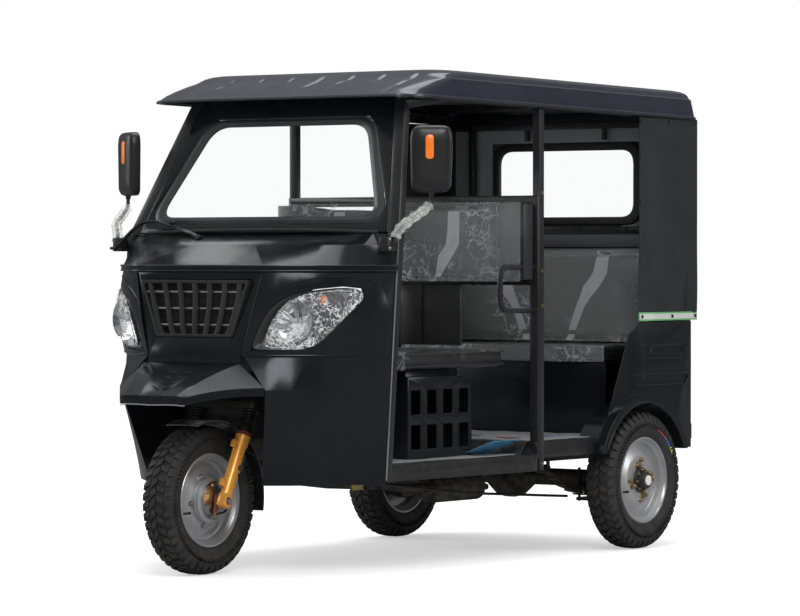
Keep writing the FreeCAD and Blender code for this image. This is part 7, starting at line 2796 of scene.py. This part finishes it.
    def flank(self, side: str, sign: int) -> None:
        """Makes the ribs' soft edges and the rubber over the wheel arch.

        Args:
            side: Left or right.
            sign: +1 for the left, -1 for the right.
        """
        shop = self.shop
        arch = []
        for k in range(33):
            a = math.radians(-6 + 172 * k / 32)
            arch.append(Vector((sign * 0.6440, REAR_AXLE_Y + self.arch * math.cos(a),
                                AXLE_Z + self.arch * math.sin(a))))
        arch = [p for p in arch if p.z > 0.395 and p.y < 1.320]
        shop.swept("arch_edge_" + side, [arch], BODY_PAINT, 0.0055, 10)
        lines = []
        for low, tall, y0, y1 in ((0.755, 0.050, 0.915, 1.225), (0.648, 0.044, 0.870, 1.273)):
            middle = low + tall / 2
            marks = [(y0 + (y1 - y0) * k / 14, low + tall) for k in range(15)]
            marks += [(y1 + math.sin(a) * tall / 2, middle + math.cos(a) * tall / 2)
                      for a in (math.pi * k / 8 for k in range(1, 8))]
            marks += [(y1 - (y1 - y0 - 0.02) * k / 14, low) for k in range(15)]
            lines.append([shop.onto("quarter_panel_" + side, (sign * 2.0, y, z), (-sign, 0, 0), 0.0004)[0]
                          for y, z in marks])
        shop.swept("flank_ribs_" + side, lines, BODY_PAINT, 0.0034)

    def plate(self) -> None:
        """Makes the blank registration plate, its bolts and the lamp over it."""
        shop = self.shop
        bm = bmesh.new()
        outline = framed((-0.108, 0.500), (0.108, 0.615), 0.010, 4)
        add_prism(bm, [(x, 1.3655, z) for x, z in outline], (0, 0.0022, 0))
        shop.piece("blank_plate", bm, PLATE_WHITE, bevel=0.0006)
        bolt = bmesh.new()
        add_turned(bolt, [(0.0, 0.0005), (0.0, 0.0075), (0.0040, 0.0065), (0.0048, 0.0005)], segments=12)
        places = [((x, 1.3677, 0.580), math.pi / 2) for x in (-0.075, 0.075)]
        shop.fixings("plate_bolts", bolt, BRIGHT_METAL, places)
        bm = fresh(add_block, (-0.030, 1.3276, 0.628), (0.030, 1.3560, 0.650))
        shop.piece("plate_lamp", bm, SATIN_PLASTIC, bevel=0.004)


@dataclass
class Underside:
    """What hangs below the floor: the engine, the axle, its springs, rods and the muffler.

    Attributes:
        shop: Where the pieces are made.
    """

    shop: Shop

    def build(self) -> None:
        """Makes every piece."""
        shop = self.shop
        shop.recast("chassis_frame", CHASSIS_PAINT, 0.002)
        self.engine()
        self.axle()
        self.springs()
        self.rods()
        self.muffler()

    def engine(self) -> None:
        """Makes the engine: its case, finned barrel and covers."""
        shop = self.shop
        bm = fresh(add_block, (-0.155, -0.390, 0.285), (0.155, -0.075, 0.420))
        shop.piece("engine_case", bm, DULL_CAST, replaces=("engine",), bevel=0.022, segments=4)
        bm = bmesh.new()
        for sign in (-1, 1):
            add_turned(bm, [(sign * 0.150, 0.001), (sign * 0.150, 0.078), (sign * 0.1585, 0.074),
                            (sign * 0.1595, 0.060), (sign * 0.1595, 0.001)], (0, -0.17, 0.352), 40)
            add_turned(bm, [(sign * 0.150, 0.001), (sign * 0.150, 0.060), (sign * 0.1575, 0.056),
                            (sign * 0.1590, 0.044), (sign * 0.1590, 0.001)], (0, -0.305, 0.352), 40)
        shop.piece("engine_covers", bm, DULL_CAST)
        fin = bmesh.new()
        outline = framed((-0.085, -0.295), (0.085, -0.125), 0.02, 4)
        add_prism(fin, [(x, y, 0.425) for x, y in outline], (0, 0, 0.0045))
        shop.repeated("barrel_fins", shop.trees.row, fin, DULL_CAST, Count=14,
                      Step=(0.0, 0.0, 0.0125))
        bm = fresh(add_block, (-0.066, -0.276, 0.410), (0.066, -0.144, 0.632))
        shop.piece("engine_barrel", bm, DULL_CAST, bevel=0.012, segments=3)

    def axle(self) -> None:
        """Makes the axle tube with its differential, drum plates and the propeller shaft."""
        shop = self.shop
        bm = bmesh.new()
        profile = [(-0.655, 0.001), (-0.655, 0.0149), (-0.500, 0.0149), (-0.500, 0.046), (-0.492, 0.046),
                   (-0.480, 0.034), (-0.110, 0.0345), (-0.084, 0.055), (-0.050, 0.080), (-0.020, 0.088),
                   (0.020, 0.088), (0.050, 0.080), (0.084, 0.055), (0.110, 0.0345), (0.480, 0.034),
                   (0.492, 0.046), (0.500, 0.046), (0.500, 0.0149), (0.655, 0.0149), (0.655, 0.001)]
        add_turned(bm, profile, (0, REAR_AXLE_Y, AXLE_Z))
        shop.piece("axle_casing", bm, CHASSIS_PAINT, replaces=("rear_axle",), sharp=38)
        bolt = bmesh.new()
        add_turned(bolt, [(0.0, 0.0005), (0.0, 0.0080), (0.0060, 0.0080), (0.0060, 0.0005)], segments=6)
        places = [((sign * 0.051, REAR_AXLE_Y + math.cos(a) * 0.068, AXLE_Z + math.sin(a) * 0.068),
                   faced(sign)) for sign in (-1, 1) for a in round_steps(10)]
        shop.fixings("casing_bolts", bolt, YELLOW_ZINC, places)
        bm = bmesh.new()
        add_turned(bm, [(-0.030, 0.001), (-0.030, 0.034), (0.010, 0.034), (0.016, 0.022), (0.820, 0.022),
                        (0.826, 0.034), (0.866, 0.038), (0.866, 0.001)], (0, -0.030, 0.2930), 32, "Y")
        shop.piece("propeller_shaft", bm, CHASSIS_PAINT, sharp=40)

    def springs(self) -> None:
        """Makes the leaf springs with their clamps, eyes and shackles."""
        shop = self.shop
        leaves, clamps = bmesh.new(), bmesh.new()
        for sign in (-1, 1):
            x = sign * 0.380
            for k in range(5):
                reach = 0.345 - 0.062 * k
                line = []
                for i in range(13):
                    u = i / 6 - 1
                    line.append(Vector((x, REAR_AXLE_Y + u * reach,
                                        0.2360 - 0.0072 * k + 0.085 * (u * reach / 0.345) ** 2)))
                skin_rings(leaves, [[p + Vector((-0.022, 0, -0.0030)), p + Vector((0.022, 0, -0.0030)),
                                     p + Vector((0.022, 0, 0.0030)), p + Vector((-0.022, 0, 0.0030))]
                                    for p in line])
            add_block(clamps, (x - 0.034, 0.866, 0.185), (x + 0.034, 0.966, 0.198))
            for dx in (-0.029, 0.029):
                for dy in (-0.034, 0.034):
                    add_tube(clamps, [(x + dx, REAR_AXLE_Y + dy, 0.182),
                                      (x + dx, REAR_AXLE_Y + dy, 0.316)], 0.0058, 10)
            for y in (0.571, 1.261):
                add_tube(clamps, [(x - 0.028, y, 0.326), (x + 0.028, y, 0.326)], 0.017, 16)
                for dx in (-0.026, 0.026):
                    add_tube(clamps, [(x + dx, y, 0.326), (x + dx, y, 0.356)], 0.0075, 8)
        shop.piece("spring_leaves", leaves, CHASSIS_PAINT, bevel=0.0012)
        shop.piece("spring_clamps", clamps, BLACK_METAL)

    def rods(self) -> None:
        """Makes the brake rod, its cross shaft, the gold bracket and the foot pedals."""
        shop = self.shop
        bm = bmesh.new()
        for sign in (1, -1):
            add_tube(bm, [(sign * 0.300, -0.560, 0.322), (sign * 0.330, 0.10, 0.250),
                          (sign * 0.345, 0.80, 0.205)], 0.0055, 10)
        add_tube(bm, [(-0.330, -0.560, 0.325), (0.330, -0.560, 0.325)], 0.0110, 14)
        add_tube(bm, [(0.240, -0.64, 0.330), (0.240, -0.30, 0.300)], 0.0080, 12)
        shop.piece("brake_rods", bm, BLACK_METAL)
        bm = bmesh.new()
        for sign in (-1, 1):
            add_block(bm, (sign * 0.300 - 0.006, -0.590, 0.290), (sign * 0.300 + 0.006, -0.520, 0.346))
        shop.piece("rod_brackets", bm, YELLOW_ZINC, bevel=0.003)
        bm = bmesh.new()
        for x in (-0.10, 0.12):
            add_tube(bm, smooth_line([(x, -0.745, 0.470), (x, -0.700, 0.430),
                                      (x, -0.640, 0.404)], 5), 0.0080, 10)
            add_block(bm, (x - 0.030, -0.762, 0.462), (x + 0.030, -0.738, 0.520))
        shop.piece("foot_pedals", bm, BLACK_METAL, bevel=0.004)

    def muffler(self) -> None:
        """Makes the exhaust pipe and the muffler."""
        shop = self.shop
        bm = fresh(add_tube, smooth_line([(0.08, -0.33, 0.600), (0.13, -0.44, 0.520),
                                          (0.19, -0.44, 0.360), (0.205, -0.25, 0.288),
                                          (0.215, 0.02, 0.270)], 8), 0.0155, 16)
        add_turned(bm, [(0.0, 0.001), (0.0, 0.040), (0.018, 0.052), (0.330, 0.052), (0.348, 0.040),
                        (0.348, 0.001)], (0.215, 0.010, 0.262), 32, "Y")
        add_tube(bm, [(0.215, 0.350, 0.262), (0.215, 0.420, 0.256)], 0.0125, 14)
        shop.piece("muffler", bm, CHASSIS_PAINT, sharp=45)


MAKERS = (Wheels, Steering, Roof, Nose, Screens, Seats, Cabin, Tail, Underside)


@dataclass
class Studio:
    """The pale floor, the soft light and the camera at the picture's viewing angle.

    Attributes:
        camera_at: The camera's place.
        azimuth: The viewing direction round the vehicle, in degrees.
        elevation: The viewing height over the horizon, in degrees.
        focal: The lens in millimetres on the sensor's width.
        sensor: The sensor's width in millimetres.
        floor_reach: How far the floor runs each way.
        floor_glow: How much the floor the camera sees is brightened.
        surround: The surround's strength as a light.
        mirrored: Its strength in mirrored light, near the horizon and overhead.
    """

    camera_at: Point = (9.068, -12.514, 1.158)
    azimuth: float = 35.63
    elevation: float = 0.73
    focal: float = 179.4
    sensor: float = 36.0
    floor_reach: float = 60.0
    floor_glow: float = 0.46
    surround: float = 0.62
    mirrored: tuple[float, float] = (0.10, 0.46)

    def build(self) -> None:
        """Makes the camera, the lamps, the world and the floor."""
        scene = bpy.context.scene
        scene.view_settings.view_transform = "Standard"
        self.camera(scene)
        self.world(scene)
        self.lamps()
        self.floor()

    def camera(self, scene: bpy.types.Scene) -> None:
        """Makes the camera.

        Args:
            scene: The scene that it is for.
        """
        data = bpy.data.cameras.new("viewpoint")
        data.sensor_width, data.lens = self.sensor, self.focal
        data.clip_end = 500.0
        camera = bpy.data.objects.new("viewpoint", data)
        scene.collection.objects.link(camera)
        azimuth, elevation = math.radians(self.azimuth), math.radians(self.elevation)
        back = Vector((math.sin(azimuth) * math.cos(elevation),
                       -math.cos(azimuth) * math.cos(elevation), math.sin(elevation)))
        camera.location = self.camera_at
        camera.rotation_euler = (-back).to_track_quat("-Z", "Y").to_euler()
        scene.camera = camera

    def world(self, scene: bpy.types.Scene) -> None:
        """Makes a white surround that lights softly.

        Args:
            scene: The scene that it is for.
        """
        world = bpy.data.worlds.new("soft_surround")
        world.use_nodes = True
        scene.world = world
        graph = Graph(world.node_tree)
        world.node_tree.nodes.clear()
        path = graph.add("ShaderNodeLightPath")
        seen = graph.maths("ADD", path.outputs["Is Camera Ray"], path.outputs["Is Transmission Ray"],
                           clamp=True)
        place = graph.add("ShaderNodeTexCoord").outputs["Generated"]
        height = graph.add("ShaderNodeSeparateXYZ", Vector=place).outputs["Z"]
        above = graph.span(height, 0.05, 0.9, *self.mirrored)
        shine = graph.span(path.outputs["Is Glossy Ray"], 0.0, 1.0, self.surround, above)
        level = graph.maths("MAXIMUM", seen, shine)
        back = graph.add("ShaderNodeBackground", Color=(1.0, 1.0, 1.0), Strength=level)
        out = graph.add("ShaderNodeOutputWorld")
        world.node_tree.links.new(back.outputs["Background"], out.inputs["Surface"])

    @staticmethod
    def lamps() -> None:
        """Makes the large soft lamps."""
        for name, spot, aim, width, power in (
                ("key_lamp", (4.5, -6.0, 5.5), (0.0, -0.2, 0.9), 3.5, 210.0),
                ("side_lamp", (6.5, 2.5, 3.2), (0.2, 0.4, 0.9), 3.0, 90.0),
                ("top_lamp", (-0.5, 0.5, 6.0), (0.0, 0.0, 1.5), 4.5, 150.0),
                ("far_lamp", (-6.0, -2.5, 3.0), (0.0, 0.0, 0.9), 3.0, 80.0)):
            data = bpy.data.lights.new(name, "AREA")
            data.size, data.energy = width, power
            lamp = bpy.data.objects.new(name, data)
            lamp.location = spot
            lamp.rotation_euler = (Vector(aim) - Vector(spot)).to_track_quat("-Z", "Y").to_euler()
            bpy.context.scene.collection.objects.link(lamp)

    def floor(self) -> None:
        """Makes the pale floor, which shows white and keeps the shadow."""
        reach = self.floor_reach
        mesh = bpy.data.meshes.new("studio_floor")
        mesh.from_pydata([(-reach, -reach, 0), (reach, -reach, 0), (reach, reach, 0), (-reach, reach, 0)],
                         [], [(0, 1, 2, 3)])
        floor = bpy.data.objects.new("studio_floor", mesh)
        bpy.context.scene.collection.objects.link(floor)
        material = bpy.data.materials.new("studio_floor_paint")
        material.use_nodes = True
        graph = Graph(material.node_tree)
        shader = material.node_tree.nodes["Principled BSDF"]
        place = graph.add("ShaderNodeTexCoord").outputs["Object"]
        noise = graph.add("ShaderNodeTexNoise", Vector=place, Scale=0.7, Detail=3.0)
        pale = graph.mix(noise.outputs["Fac"], (0.90, 0.90, 0.90), (0.94, 0.94, 0.94))
        path = graph.add("ShaderNodeLightPath")
        graph.feed(shader.inputs["Base Color"],
                   graph.mix(path.outputs["Is Glossy Ray"], pale, (0.22, 0.22, 0.23)))
        shader.inputs["Roughness"].default_value = 0.9
        shader.inputs["Specular IOR Level"].default_value = 0.1
        glow = graph.add("ShaderNodeEmission", Color=(1.0, 1.0, 1.0), Strength=self.floor_glow)
        both = graph.add("ShaderNodeAddShader")
        links = material.node_tree.links
        links.new(shader.outputs["BSDF"], both.inputs[0])
        links.new(glow.outputs["Emission"], both.inputs[1])
        choice = graph.add("ShaderNodeMixShader")
        graph.feed(choice.inputs["Fac"], path.outputs["Is Camera Ray"])
        links.new(shader.outputs["BSDF"], choice.inputs[1])
        links.new(both.outputs["Shader"], choice.inputs[2])
        links.new(choice.outputs["Shader"], material.node_tree.nodes["Material Output"].inputs["Surface"])
        mesh.materials.append(material)


def main() -> None:
    """Builds the whole dressed vehicle and its studio."""
    logging.basicConfig(level=logging.INFO, format="%(name)s %(message)s")
    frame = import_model()
    shop = Shop(frame)
    Studio().build()
    for maker in MAKERS:
        maker(shop).build()
    LOG.info("%d pieces made", shop.made)


if __name__ == "__main__":
    main()
